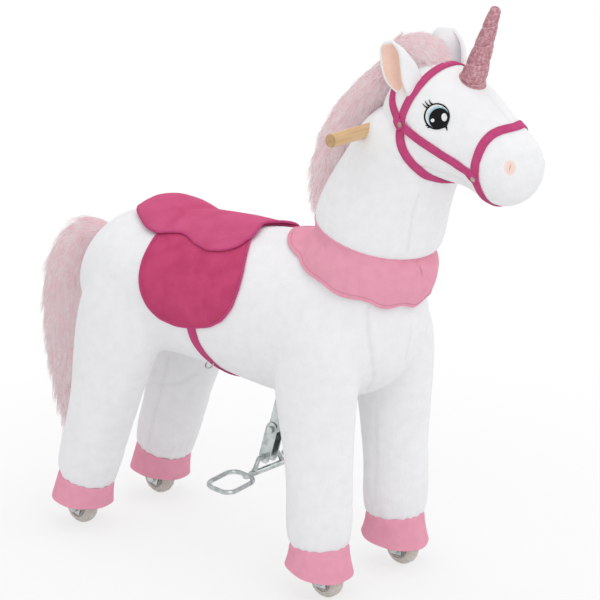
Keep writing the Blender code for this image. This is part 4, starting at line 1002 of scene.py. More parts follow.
def sewn(piece: bpy.types.Object, line: Sequence[Vector], width: float, depth: float, skin: Skin) -> None:
    """Press a seam into a piece along a line, and mark a painted shade along its groove for the finish.

    Args:
        piece: The soft piece.
        line: Points of the seam, near the surface.
        width: How wide the groove is, in millimetres.
        depth: How deep it is, in millimetres.
        skin: The piece's surface, which the seam is brought to.
    """
    width, depth = width * MM, depth * MM
    laid = np.array([tuple(skin.nearest(point)[0]) for point in resampled(line, DRAPE_STEP)])
    places, normals = Bench.points(piece), Bench.normals(piece)
    low, high = laid.min(0) - width * 3, laid.max(0) + width * 3
    near = np.nonzero(((places > low) & (places < high)).all(1))[0]
    start, way = laid[:-1], laid[1:] - laid[:-1]
    length = np.maximum((way * way).sum(1), 1e-12)
    offset = places[near][:, None, :] - start[None]
    share = np.clip((offset * way[None]).sum(2) / length, 0, 1)
    away = np.linalg.norm(offset - share[:, :, None] * way[None], axis=2).min(1)
    places[near] -= normals[near] * (bell(away, width) * depth)[:, None]
    Bench.move(piece, places)
    kept = np.zeros(len(places), np.float32)
    old = piece.data.attributes.get("seam")
    if old:
        old.data.foreach_get("value", kept)
    # Painted shade along the groove, at most 0.22 of the way to the finish's darker colour.
    kept[near] = np.maximum(kept[near], 0.22 * bell(away, width * 0.9))
    Bench.note(piece, "seam", kept)


def resampled(line: Sequence[Vector], step: float, closed: bool = False) -> list[Vector]:
    """Points at even steps along a line.

    Args:
        line: The line's points.
        step: The step in metres.
        closed: Whether the line returns to its start.

    Returns:
        The points, without the first again at the end.
    """
    places = np.array([tuple(point) for point in line])
    if closed:
        places = np.vstack([places, places[:1]])
    along = np.concatenate([[0], np.cumsum(np.linalg.norm(np.diff(places, axis=0), axis=1))])
    at = np.linspace(0, along[-1], max(2, int(round(along[-1] / step)) + 1))
    found = [Vector([np.interp(a, along, places[:, axis]) for axis in range(3)]) for a in at]
    return found[:-1] if closed else found


def rounded(line: Sequence[Vector], times: int, closed: bool) -> list[Vector]:
    """A line with its corners eased.

    Args:
        line: The line's points.
        times: How often each point moves halfway to its neighbours' middle.
        closed: Whether the line returns to its start.

    Returns:
        The eased points.
    """
    points, count = list(line), len(line)
    for _ in range(times):
        moved = [
            point * 0.5 + (points[index - 1] + points[(index + 1) % count]) * 0.25 for index, point in enumerate(points)
        ]
        if not closed:
            moved[0], moved[-1] = points[0], points[-1]
        points = moved
    return points


def spline(points: Sequence[Vector], share: float) -> Vector:
    """The point at a share of the smooth line through a few points.

    Args:
        points: The line's points.
        share: The share from 0 to 1.

    Returns:
        The point.
    """
    last = len(points) - 1
    at = min(max(share, 0.0), 1.0) * last
    index = min(int(at), last - 1)
    s = at - index
    b, c = points[index], points[index + 1]
    a = points[index - 1] if index else b * 2 - c
    d = points[index + 2] if index + 2 <= last else c * 2 - b
    return 0.5 * (b * 2 + (c - a) * s + (a * 2 - b * 5 + c * 4 - d) * s**2 + (b * 3 - a - c * 3 + d) * s**3)


def line_length(line: Sequence[Vector], closed: bool = False) -> float:
    """The length of a line of points."""
    ends = list(line) + ([line[0]] if closed else [])
    return sum((b - a).length for a, b in zip(ends, ends[1:]))


@dataclass
class Ribbon:
    """A flat sewn band laid along a line on a soft surface."""

    name: str
    width: float
    thickness: float
    lift: float = 0.6 * MM
    groove: float = 0.30 * MM

    def sections(self) -> list[Pair]:
        """The band's section: shares across it, and the height of its face there.

        Returns:
            The section's points.
        """
        t = self.thickness
        edge = [(-1.0, 0.0), (-1.0, 0.55 * t), (-0.9, 0.95 * t), (-0.78, t), (-0.68, t - self.groove), (-0.58, t)]
        right = [(-share, height) for share, height in reversed(edge)]
        return edge + [(-0.2, 1.04 * t), (0.2, 1.04 * t)] + right

    def line_frames(self, line: Sequence[Vector], skin: Skin, closed: bool) -> list[tuple[Vector, Vector]]:
        """Each point of the line brought to the surface, with the direction across the band there.

        Args:
            line: Even points along its middle.
            skin: The surface below it.
            closed: Whether it is a ring.

        Returns:
            The places and directions.
        """
        count = len(line)
        frames = []
        for index, point in enumerate(line):
            after = line[(index + 1) % count] if closed or index < count - 1 else line[index]
            before = line[index - 1] if closed or index else line[index]
            place, normal = skin.nearest(point)
            frames.append((place, normal.cross(after - before).normalized()))
        return frames

    def build(
        self, line: Sequence[Vector], skin: Skin, closed: bool, lifts: Sequence[float] | None = None
    ) -> bpy.types.Object:
        """Lay the band.

        Args:
            line: Even points along its middle.
            skin: The surface below it.
            closed: Whether it is a ring.
            lifts: Extra height at each point, where it crosses another band.

        Returns:
            The band.
        """
        section = self.sections()
        count, across = len(line), len(section) + 2
        half = self.width / 2
        loops = []
        for (place, side), extra in zip(self.line_frames(line, skin, closed), lifts or [0.0] * count):
            upper = [skin.lifted(place + side * share * half, self.lift + extra + height) for share, height in section]
            lower = [skin.lifted(place + side * share * half, self.lift * 0.3 + extra) for share in (0.5, -0.5)]
            loops.append(upper + lower)
        columns = count if closed else count - 1

        def place_at(u: float, v: float) -> Vector:
            """The grid's point on the band."""
            return loops[round(u * columns) % count][round(v * across) % across]

        band = Bench.grid(self.name, columns, across, place_at, around=True)
        if not closed:
            Bench.close(band, bpy.ops.mesh.edge_face_add)
        Bench.outwards(band, 50.0)
        return band


class Thread:
    """Rows of small stitches, gathered into one piece."""

    LENGTH = 2.4 * MM
    STEP = 3.4 * MM
    HALF = 0.32 * MM
    SHOULDER = 0.6
    FACES = ((1, 2, 5, 4), (2, 3, 6, 5), (3, 8, 9, 6), (8, 1, 4, 9))

    def __init__(self) -> None:
        """Start with no stitches."""
        self.points: list[Vector] = []
        self.faces: list[tuple[int, ...]] = []

    def sew(self, line: Sequence[Vector], skin: Skin, height: float, closed: bool = True) -> None:
        """Add a row of stitches.

        Args:
            line: The row's line.
            skin: The surface below.
            height: How high the stitches lie above that surface.
            closed: Whether the row is a ring.
        """
        places = resampled(line, self.STEP, closed)
        count = len(places)
        for index in range(count if closed else count - 1):
            here, there = places[index], places[(index + 1) % count]
            place, normal = skin.nearest(here.lerp(there, 0.5))
            along = (there - here).normalized()
            side = normal.cross(along).normalized() * self.HALF
            up = normal * self.HALF
            centre = place + normal * height
            reach = along * self.LENGTH / 2
            start, end = centre - reach * self.SHOULDER, centre + reach * self.SHOULDER
            base = len(self.points)
            self.points += [centre - reach, start - side, start + up, start + side, end - side, end + up, end + side]
            self.points += [centre + reach, start - up, end - up]
            for a, b, d, c in self.FACES:
                self.faces.append((base, base + b, base + a))
                self.faces.append((base + a, base + b, base + d, base + c))
                self.faces.append((base + 7, base + c, base + d))

    def build(self, name: str) -> bpy.types.Object:
        """Make the stitches a mesh with this name.

        Args:
            name: The piece's name.

        Returns:
            The piece.
        """
        mesh = bpy.data.meshes.new(name)
        mesh.from_pydata([tuple(point) for point in self.points], [], self.faces)
        made = Bench.link(name, mesh)
        Bench.outwards(made, 60.0)
        return made


@dataclass
class LegShape:
    """The sizes of one pair of legs, as the frame has them."""

    end: str
    body: Body
    axle_y: float
    lead: float
    pivot_y: float
    hip: tuple[float, float, float]
    shares: Table
    track: float = 0.178
    wheel_radius: float = 0.027
    pivot_z: float = 0.390
    girth: float = 0.098

    def __post_init__(self) -> None:
        """Work out the leg's own directions."""
        self.foot = Vector((self.track / 2, self.axle_y + self.lead, self.wheel_radius))
        self.pivot = Vector((self.track / 2, self.pivot_y, self.pivot_z))
        self.up = (self.pivot - self.foot).normalized()
        self.back = self.up.cross(X_AXIS)
        self.length = (self.pivot - self.foot).length
        self.tilt = math.asin(-self.up.y)

    def at(self, height: float, back: float = 0.0) -> Vector:
        """A point at a height up the left leg's middle line."""
        return self.foot + self.up * height + self.back * back

    def rings(self) -> list[Ring]:
        """The limb's rings from ankle to hip.

        Returns:
            The rings.
        """
        found = []
        for height, depth, width, back in self.shares:
            centre = self.at(height * self.length, back * self.girth)
            found.append(Ring(centre.y, centre.z, width * self.girth, depth * self.girth, self.tilt, centre.x))
        return found


FRONT_LEG = LegShape(
    "front", Body.FRONT_LEGS, -0.170, 0.015, -0.155, (0.036, 0.062, 0.066),
    (
        (0.128, 0.40, 0.40, 0.0), (0.148, 0.448, 0.448, 0.0), (0.170, 0.485, 0.485, 0.0), (0.26, 0.505, 0.50, 0.0),
        (0.36, 0.495, 0.485, -0.008), (0.473, 0.52, 0.485, 0.006), (0.629, 0.61, 0.48, 0.045),
        (0.74, 0.69, 0.48, 0.07), (0.84, 0.73, 0.46, 0.07), (0.95, 0.69, 0.42, 0.03), (1.04, 0.57, 0.34, 0.0),
        (1.10, 0.40, 0.24, 0.0),
    ),
)
REAR_LEG = LegShape(
    "rear", Body.REAR_LEGS, 0.322, 0.0, 0.215, (0.034, 0.078, 0.076),
    (
        (0.124, 0.40, 0.40, 0.045), (0.143, 0.448, 0.448, 0.05), (0.165, 0.485, 0.485, 0.06),
        (0.26, 0.51, 0.50, 0.06), (0.40, 0.53, 0.49, 0.035), (0.53, 0.59, 0.485, 0.035), (0.66, 0.69, 0.48, 0.06),
        (0.79, 0.79, 0.46, 0.07), (0.91, 0.83, 0.42, 0.05), (1.0, 0.76, 0.34, 0.0), (1.07, 0.56, 0.24, 0.0),
    ),
)
LEGS = (FRONT_LEG, REAR_LEG)
FEET = tuple((leg, side) for leg in LEGS for side in Side)


@dataclass
class Neck:
    """The steering axis and the sizes of the neck and head, as the frame has them."""

    base: Vector = field(default_factory=lambda: Vector((0.0, -0.188, 0.528)))
    tilt: float = math.radians(11.5)
    length: float = 0.225
    depth: float = 0.188
    width: float = 0.168
    skull: Vector = field(default_factory=lambda: Vector((0.0, -0.303, 0.727)))
    head_drop: float = math.radians(26.6)
    head_reach: float = 0.263
    skull_back: float = 0.084
    head_depth: float = 0.160
    head_width: float = 0.156
    handle_height: float = 0.181
    neck_shares: Table = (
        (0.004, 0.0, 0.87, 0.93), (0.03, 0.0, 0.975, 1.03), (0.09, 0.0, 1.03, 1.06), (0.20, 0.01, 1.03, 1.04),
        (0.38, 0.04, 0.96, 0.98), (0.60, 0.11, 0.88, 0.97), (0.80, 0.22, 0.84, 1.00), (1.0, 0.36, 0.74, 0.86),
    )
    hump_shares: Table = (
        (0.090, 0.06, 0.98, 1.12), (0.040, 0.02, 1.02, 1.10), (0.012, 0.0, 1.0, 1.02), (0.003, 0.0, 0.93, 0.93),
    )
    head_shares: Table = (
        (0.0, 0.0, 0.08, 0.08), (0.035, 0.0, 0.42, 0.42), (0.125, 0.0, 0.76, 0.76), (0.235, -0.01, 0.93, 0.95),
        (0.35, -0.02, 1.00, 1.00), (0.455, -0.015, 0.975, 0.93), (0.56, 0.005, 0.87, 0.81),
        (0.665, 0.020, 0.745, 0.735), (0.77, 0.012, 0.70, 0.735), (0.875, -0.002, 0.65, 0.68),
        (0.945, -0.01, 0.49, 0.52), (0.985, -0.01, 0.27, 0.28), (1.0, -0.01, 0.09, 0.09),
    )

    @property
    def axis(self) -> Vector:
        """The steering axis, upwards."""
        return Vector((0.0, -math.sin(self.tilt), math.cos(self.tilt)))

    @property
    def back(self) -> Vector:
        """Square to the steering axis, towards the tail."""
        return Vector((0.0, math.cos(self.tilt), math.sin(self.tilt)))

    @property
    def forward(self) -> Vector:
        """Down the nose."""
        return Vector((0.0, -math.cos(self.head_drop), -math.sin(self.head_drop)))

    @property
    def upward(self) -> Vector:
        """Square to the nose, upwards."""
        return Vector((0.0, -math.sin(self.head_drop), math.cos(self.head_drop)))

    @property
    def handle(self) -> Vector:
        """Where the handle crosses the steering axis."""
        return self.base + self.axis * self.handle_height

    def level(self, centre: Vector, depth: float, width: float) -> Ring:
        """A ring square to the steering axis."""
        return Ring(centre.y, centre.z, width * self.width / 2, depth * self.depth / 2, self.tilt)

    def neck_rings(self) -> list[Ring]:
        """The neck's rings from its joint up into the head.

        Returns:
            The rings.
        """
        found = []
        for height, lean, depth, width in self.neck_shares:
            centre = self.base + self.axis * height * self.length - self.back * lean * self.length
            found.append(self.level(centre, depth, width))
        return found

    def hump_rings(self) -> list[Ring]:
        """The shoulders' rings up to the neck's joint.

        Returns:
            The rings.
        """
        found = []
        for drop, back, depth, width in self.hump_shares:
            centre = self.base - self.axis * drop + self.back * back * self.depth
            found.append(self.level(centre, depth, width))
        return found

    def head_rings(self) -> list[Ring]:
        """The head's rings from nape to muzzle.

        Returns:
            The rings.
        """
        found = []
        for share, rise, depth, width in self.head_shares:
            centre = self.skull + self.forward * (share * self.head_reach - self.skull_back)
            centre += self.upward * rise * self.head_depth
            size = (width * self.head_width / 2, depth * self.head_depth / 2)
            found.append(Ring(centre.y, centre.z, *size, math.pi / 2 + self.head_drop))
        return found

    def head_point(self, share: float, angle: float) -> Vector:
        """A point on the head, at an angle from its left side towards its top.

        Args:
            share: The share of the way to the muzzle.
            angle: The angle.

        Returns:
            The point.
        """
        rise, depth, width = read(self.head_shares, share)
        place = self.skull + self.forward * (share * self.head_reach - self.skull_back)
        place += self.upward * (rise * self.head_depth + depth * self.head_depth / 2 * math.sin(angle))
        return place + X_AXIS * width * self.head_width / 2 * math.cos(angle)


def distances(places: np.ndarray, centre: Sequence[float], sizes: object = 1.0) -> np.ndarray:
    """How far places are from a centre, measured in sizes along the axes."""
    return np.linalg.norm((places - np.array(tuple(centre))) / np.array(sizes), axis=1)


@dataclass
class StuffedBody:
    """The torso and legs as one soft skin, parted under the girth."""

    front_y: float = -0.252
    length: float = 0.620
    depth: float = 0.240
    width: float = 0.242
    centre_z: float = 0.396
    part_y: float = 0.072
    voxel: float = 3.6 * MM
    sides: tuple[int, int] = (28, 20)
    hip_inset: Vector = field(default_factory=lambda: X_AXIS * 0.004)
    hip_drop: Vector = field(default_factory=lambda: Z_AXIS * 0.012)
    blend_top: float = 0.330
    blend_depth: float = 0.115
    slit_x: float = 0.010
    slit_ends: Pair = (-0.098, -0.014)
    shares: Table = (
        (0.0, 0.05, 0.10, 0.10), (0.01, 0.05, 0.34, 0.32), (0.03, 0.045, 0.60, 0.58), (0.075, 0.035, 0.82, 0.79),
        (0.135, 0.020, 0.95, 0.90), (0.215, -0.005, 1.02, 0.97), (0.33, -0.027, 1.03, 0.995),
        (0.45, -0.022, 0.96, 1.00), (0.58, -0.007, 0.885, 1.00), (0.70, -0.007, 0.875, 1.00),
        (0.80, -0.010, 0.905, 0.97), (0.88, -0.020, 0.83, 0.86), (0.945, -0.045, 0.62, 0.64),
        (0.985, -0.060, 0.33, 0.34), (1.0, -0.065, 0.08, 0.08),
    )
    flank: Table = (
        (0.072, -0.245, 0.470), (0.078, -0.238, 0.440), (0.074, -0.238, 0.400), (0.062, -0.235, 0.360),
        (0.046, -0.225, 0.325), (0.036, -0.205, 0.295),
    )
    haunch: Table = ((0.036, 0.300, 0.330), (0.034, 0.325, 0.360), (0.022, 0.345, 0.400), (0.010, 0.352, 0.430))

    def section(self, y: float) -> tuple[float, float, float]:
        """Height of the middle, half depth and half width of the torso at a place."""
        rise, depth, width = read(self.shares, (y - self.front_y) / self.length)
        return self.centre_z + rise * self.depth, depth * self.depth / 2, width * self.width / 2

    def torso_rings(self) -> list[Ring]:
        """The torso's rings from chest to rump.

        Returns:
            The rings.
        """
        found = []
        for share, *_ in self.shares:
            y = self.front_y + share * self.length
            middle, half_depth, half_width = self.section(y)
            found.append(Ring(y, middle, half_width, half_depth, math.pi / 2))
        return found

    def on_skin(self, surface: Skin, y: float, angle: float) -> tuple[Vector, Vector]:
        """The skin's point and normal at a place along the torso and an angle from its top.

        Args:
            surface: The skin.
            y: The place along the torso.
            angle: The angle, towards the left side.

        Returns:
            The point and the normal.
        """
        middle = Vector((0.0, y, self.section(y)[0]))
        way = Vector((math.sin(angle), 0.0, math.cos(angle)))
        return surface.hit(middle + way * 0.3, -way) or surface.nearest(middle + way * 0.12)

    def model(self, neck: Neck) -> bpy.types.Object:
        """Model torso, legs and the neck's shoulders, and melt them into one skin.

        Args:
            neck: The neck, whose shoulders belong to the torso.

        Returns:
            The whole skin.
        """
        trunk, limbs = self.sides
        forms = [stuffed("torso_form", self.torso_rings(), trunk), stuffed("shoulder_form", neck.hump_rings(), trunk)]
        for leg in LEGS:
            limb = stuffed(f"{leg.end}_limb", leg.rings(), limbs)
            Bench.clear()
            bpy.ops.mesh.primitive_uv_sphere_add(segments=32, ring_count=20, radius=1.0, location=ORIGIN)
            hip = bpy.context.object
            move = Matrix.Translation(leg.pivot - self.hip_inset - self.hip_drop)
            hip.data.transform(move @ Matrix.Diagonal((*leg.hip, 1.0)))
            forms += [limb, hip, Bench.mirrored(limb, "limb_right"), Bench.mirrored(hip, "hip_right")]
        skin = Bench.joined(forms, "plush_skin")
        Bench.modify(skin, "REMESH", mode="VOXEL", voxel_size=self.voxel, use_smooth_shade=True)
        self.melt(skin, neck)
        return skin

    @staticmethod
    def melt(skin: bpy.types.Object, neck: Neck) -> None:
        """Round off the creases where legs and shoulders join the torso, but keep the neck's joint flat.

        Args:
            skin: The whole skin.
            neck: The neck, whose joint stays flat.
        """
        places = Bench.points(skin)
        near = np.zeros(len(places))
        for leg, side in FEET:
            centre = side.mirrored(leg.pivot - Z_AXIS * 0.045)
            near = np.maximum(near, eased(1.45 - distances(places, centre, (0.095, 0.135, 0.15))))
        near = np.maximum(near, eased(1.5 - distances(places, (0.0, -0.19, 0.47), (0.13, 0.13, 0.06))))
        near *= eased(((row(neck.base) - places) @ row(neck.axis) - 0.006) / 0.030)
        Bench.melt(skin, "joins", near, 60)

    @staticmethod
    def gather(skin: bpy.types.Object) -> None:
        """Pucker the plush where each leg is gathered into its cuff, and let it sag in soft folds.

        Args:
            skin: The whole skin.
        """
        places, normals = Bench.points(skin), Bench.normals(skin)
        shift = np.zeros(len(places))
        for leg, side in FEET:
            up = row(leg.up)
            offset = places - row(side.mirrored(leg.foot))
            height = offset @ up / leg.length
            around = np.arctan2(offset @ row(leg.back), offset[:, 0])
            within = np.linalg.norm(offset - np.outer(offset @ up, up), axis=1) < 0.075
            fold = 0.5 + 0.5 * np.cos(around * 15 + 1.7 * np.sin(around * 4 + side.value))
            shift -= np.where(within, fold * eased((0.245 - height) / 0.10) * 1.5 * MM, 0.0)
            sag = np.sin(around * 2 + 1.3 * side.value) * np.sin(height * 19 + around)
            crease = bell(height - 0.33 - 0.02 * np.sin(around + side.value), 0.014)
            crease += 0.8 * bell(height - 0.44 - 0.03 * np.cos(around * 1.5), 0.016)
            hold = eased((height - 0.1) / 0.2) * eased((0.75 - height) / 0.3)
            shift += np.where(within, (sag - crease * (0.5 + 0.5 * np.cos(around + 0.6))) * hold * 1.1 * MM, 0)
        Bench.move(skin, places + normals * shift[:, None])

    def seams(self, skin: bpy.types.Object, surface: Skin) -> None:
        """Sew the chest, belly, back and leg seams.

        Args:
            skin: The whole skin.
            surface: Its surface.
        """
        sewn(skin, [Vector((0, -0.40, z)) for z in (0.50, 0.46, 0.42, 0.38, 0.34, 0.30)], 2.6, 0.8, surface)
        for side in Side:
            sewn(skin, [side.mirrored(point) for point in self.flank], 3.2, 1.5, surface)
            sewn(skin, [side.mirrored(point) for point in self.haunch], 3.0, 1.2, surface)
            for leg in LEGS:
                inner = [side.mirrored(leg.at(h * leg.length) - X_AXIS * 0.06) for h in (0.2, 0.35, 0.5, 0.62)]
                sewn(skin, inner, 2.6, 0.9, surface)
        sewn(skin, [Vector((0, y, 0.20)) for y in (-0.16, -0.1, 0.0, 0.1, 0.2, 0.28)], 2.6, 0.9, surface)
        sewn(skin, [Vector((0, y, 0.62)) for y in (0.25, 0.29, 0.32)], 2.6, 0.9, surface)

    def part(self, skin: bpy.types.Object) -> None:
        """Cut the skin under the girth into a front and a rear half.

        Args:
            skin: The whole skin.
        """
        halves = []
        for name, is_front in (("plush_front", True), ("plush_rear", False)):
            half = Bench.copied(skin, name)
            with Bench.editing(half):
                bpy.ops.mesh.bisect(
                    plane_co=(0, self.part_y, 0), plane_no=(0, 1, 0), use_fill=True,
                    clear_outer=is_front, clear_inner=not is_front,
                )
            Bench.smooth(half)
            halves.append(half)
        bpy.data.objects.remove(skin)
        front, rear = halves
        plush = [f"leg_plush_front_{side.label}" for side in Side]
        Bench.dress(front, WHITE_PLUSH, Slot.PLUSH, None, ["torso_plush", *plush])
        Bench.dress(rear, WHITE_PLUSH, Slot.PLUSH, None, [f"leg_plush_rear_{side.label}" for side in Side])
        self.bend(front, FRONT_LEG, -0.35)
        self.bend(rear, REAR_LEG, 0.35)

    def bend(self, half: bpy.types.Object, leg: LegShape, lean: float) -> None:
        """Bake a half's transform into its mesh.

        Args:
            half: The half skin.
            leg: Its pair of legs; not used.
            lean: How far the blend would lean out of plumb; not used.
        """
        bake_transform(half)

    def slit(self, surface: Skin) -> None:
        """The bound slit in the belly that the pedal arm comes through.

        Args:
            surface: The skin's surface.
        """
        front, rear = self.slit_ends
        line = []
        for step in range(48):
            turn = TURN * step / 48
            y = (front + rear) / 2 + (rear - front) / 2 * math.cos(turn)
            found = surface.hit(Vector((self.slit_x * math.sin(turn), y, 0.1)), Z_AXIS)
            line.append(found[0] + found[1] * 0.5 * MM)
        lips = Bench.tube("belly_slit_binding", line, 1.8 * MM, True)
        Bench.dress(lips, WHITE_PLUSH, Slot.PLUSH, Body.TORSO)

    def build(self, neck: Neck) -> Skin:
        """Build the whole stuffed body below a neck, and return its surface.

        Args:
            neck: The neck that stands on it.

        Returns:
            Its surface, for the saddle and collar.
        """
        skin = self.model(neck)
        surface = Skin(skin)
        self.gather(skin)
        self.seams(skin, surface)
        surface = Skin(skin)
        self.slit(surface)
        self.part(skin)
        return surface


@dataclass
class HeadAndNeck:
    """The stuffed neck and head, with ears, embroidered eyes and nostrils, and the handle."""

    neck: Neck
    voxel: float = 2.8 * MM
    sides: int = 24
    camera_way: Vector = field(default_factory=lambda: Vector((-0.734, -0.617, 0.285)).normalized())
    eye_centre: Colour = (0.0655, -0.3447, 0.7437)
    nostril_centre: Colour = (0.0389, -0.4511, 0.6829)
    nostril_size: Pair = (11.0, 14.0)
    drawing_off: float = 0.08
    handle_half: float = 0.150
    handle_radius: float = 0.010
    front_seam: Table = (
        (0.046, -0.285, 0.530), (0.048, -0.288, 0.560), (0.048, -0.292, 0.590), (0.045, -0.298, 0.620),
    )
    # From the ear's foot to its tip: rear edge, hollow, folded crest and front edge, in millimetres on the left.
    ear_rows: tuple[Table, ...] = (
        ((59, -270, 763), (55, -283, 762), (65, -294, 764), (42, -297, 752)),
        ((58, -256, 770), (51, -278, 770), (70.5, -295, 775), (44, -299, 767)),
        ((57, -246.5, 777), (46, -273, 779), (71, -291, 784), (45, -301, 779)),
        ((57.5, -241.5, 787.5), (43.5, -269, 792), (70, -287.5, 796), (47, -301, 792)),
        ((58.5, -238.5, 800), (44, -266, 805), (69, -285, 809), (52, -298, 806)),
        ((59.5, -238, 815), (47, -263, 818), (67, -281.5, 820.5), (57.5, -291.5, 818)),
        ((60, -239.5, 825.5), (52.5, -259, 828), (65.5, -276, 828.5), (61.5, -282, 828.5)),
        ((61.5, -248, 834), (59.5, -258.5, 836.5), (64.5, -267, 835.5), (63.5, -271, 835)),
    )
    # Each lash's root, bend and tip, in millimetres right and up of the eye's middle.
    lashes: tuple[Table, ...] = (
        ((-12.2, 11.6), (-15.8, 13.2), (-19.4, 18.0)), ((-9.9, 14.0), (-13.8, 16.2), (-15.9, 21.8)),
        ((-6.0, 16.4), (-9.8, 18.6), (-10.6, 23.4)), ((-11.5, -12.3), (-13.5, -12.9), (-15.6, -11.8)),
        ((-9.6, -14.0), (-11.5, -15.4), (-12.9, -15.2)), ((12.4, -14.5), (13.8, -17.5), (13.6, -20.2)),
    )

    def build(self) -> Skin:
        """Build the head and all that is sewn to it, and return its surface.

        Returns:
            The surface, for the bridle.
        """
        neck_form = stuffed("neck_form", self.neck.neck_rings(), self.sides)
        head_form = stuffed("head_form", self.neck.head_rings(), self.sides)
        skin = Bench.joined([neck_form, head_form], "plush_head_and_neck")
        Bench.modify(skin, "REMESH", mode="VOXEL", voxel_size=self.voxel, use_smooth_shade=True)
        away = distances(Bench.points(skin), (0.0, -0.270, 0.665), (0.12, 0.085, 0.075))
        Bench.melt(skin, "throat", eased(1.5 - away), 22)
        surface = Skin(skin)
        self.sculpt(skin)
        self.seams(skin, surface)
        surface = Skin(skin)
        Bench.smooth(skin)
        Bench.dress(skin, WHITE_PLUSH, Slot.PLUSH, Body.STEERING, ["neck_plush", "head_plush"])
        for side in Side:
            self.ear(side)
            self.eye(side, surface)
            self.nostril(side, surface)
        Horn().build(surface)
        self.dowel()
        return surface

    def sculpt(self, skin: bpy.types.Object) -> None:
        """Sink the eye sockets, the nostrils and the handle's holes, and wrinkle the throat.

        Args:
            skin: The soft piece.
        """
        places, normals = Bench.points(skin), Bench.normals(skin)
        shift = np.zeros(len(places))
        away = np.linalg.norm((places - row(self.neck.handle))[:, 1:], axis=1)
        shift += (11.0 * bell(away, 0.045) - 3.5 * bell(away, 0.014)) * MM * (np.abs(places[:, 0]) > 0.02)
        for side in Side:
            shift -= 2.2 * MM * bell(distances(places, (side.value * 0.068, -0.342, 0.745)), 0.030)
            nostril = (side.value * self.nostril_centre[0], *self.nostril_centre[1:])
            shift -= 1.6 * MM * bell(distances(places, nostril), 0.008)
        crease = places[:, 2] + (places[:, 1] + 0.25) * 0.35
        folds = np.sin((crease - 0.6) * 260) * bell(crease - 0.625, 0.022)
        shift += 0.55 * MM * folds * (places[:, 1] < -0.16)
        Bench.move(skin, places + normals * shift[:, None])

    def seams(self, skin: bpy.types.Object, surface: Skin) -> None:
        """Sew the seams of the neck and the head.

        Args:
            skin: The soft piece.
            surface: Its surface.
        """
        for side in Side:
            sewn(skin, [side.mirrored(point) for point in self.front_seam], 2.6, 0.9, surface)
            cheek = [self.neck.head_point(share, math.radians(-38)) for share in (0.30, 0.42, 0.54, 0.66, 0.74)]
            sewn(skin, [side.mirrored(point) for point in cheek], 2.4, 0.7, surface)
        top = [self.neck.head_point(share, math.pi / 2) for share in (0.52, 0.6, 0.7, 0.74)]
        sewn(skin, top, 2.2, 0.6, surface)
        jaw = [self.neck.head_point(share, -math.pi / 2) for share in (0.55, 0.7, 0.85, 0.95)]
        sewn(skin, jaw, 2.4, 0.7, surface)

    @cached_property
    def ear_columns(self) -> list[list[Vector]]:
        """The ear's lines from foot to tip, in metres."""
        return [[Vector(point) * MM for point in column] for column in zip(*self.ear_rows)]

    def leaf(self, u: float, v: float) -> Vector:
        """The left ear's middle surface, from its shares across and up."""
        return spline([spline(column, v) for column in self.ear_columns], u)

    def lining(self, u: float, v: float) -> Vector:
        """The left ear lining's middle surface, a little inside the hollow.

        Args:
            u: The share across.
            v: The share up.

        Returns:
            The point.
        """
        across, up, step = 0.035 + 0.60 * u, 0.055 + 0.89 * v, 0.01
        one = self.leaf(across + step, up) - self.leaf(across - step, up)
        other = self.leaf(across, up + step) - self.leaf(across, up - step)
        out = one.cross(other).normalized()
        if out.x < 0:
            out = -out
        edge = min(u, 1 - u, v, 1 - v)
        return self.leaf(across, up) + out * (2.2 * MM + 1.0 * MM * min(edge * 8, 1.0))

    def ear(self, side: Side) -> None:
        """A leaf of plush folded at its front edge, with a peach lining in its hollow.

        Args:
            side: Which ear.
        """
        shell = Bench.grid(f"ear_shell_{side.label}", 20, 20, lambda u, v: side.mirrored(self.leaf(u, v)))
        Bench.thicken(shell, 4.6 * MM, 2)
        Bench.outwards(shell)
        Bench.smooth(shell)
        Bench.dress(shell, WHITE_PLUSH, Slot.PLUSH, Body.STEERING, [f"ear_{side.label}"])
        inner = Bench.grid(f"ear_lining_{side.label}", 16, 20, lambda u, v: side.mirrored(self.lining(u, v)))
        # Painted shade along the deep side of the lining's hollow, next to the folded crest.
        shares = np.array([(vertex.index % 17) / 16 for vertex in inner.data.vertices])
        Bench.note(inner, "seam", 0.75 * bell(shares - 0.80, 0.20))
        Bench.thicken(inner, 1.4 * MM, 1)
        Bench.outwards(inner)
        Bench.smooth(inner)
        Bench.dress(inner, PEACH_PLUSH, Slot.PLUSH, Body.STEERING)

    def view_axes(self, side: Side) -> tuple[Vector, Vector, Vector]:
        """Right, up and towards the eye, as the animal's right side is seen.

        Args:
            side: Which side.

        Returns:
            The three directions.
        """
        towards = self.camera_way
        right = Z_AXIS.cross(towards).normalized()
        return tuple(Vector((a.x * -side.value, a.y, a.z)) for a in (right, towards.cross(right), towards))

    def drawn(
        self, side: Side, surface: Skin, centre: Sequence[float], spot: Sequence[float], height: float
    ) -> Vector:
        """The place on the head behind a point of a flat drawing.

        Args:
            side: Which side of the head.
            surface: The head's surface.
            centre: The drawing's middle, on the left side.
            spot: The point, in millimetres right and up of it.
            height: How far it is lifted off the surface.

        Returns:
            The place.
        """
        right, upward, towards = self.view_axes(side)
        off = towards * self.drawing_off
        start = side.mirrored(centre) + right * spot[0] * MM + upward * spot[1] * MM + off
        place, normal = surface.hit(start, -towards) or surface.nearest(start - off)
        return place + normal * height

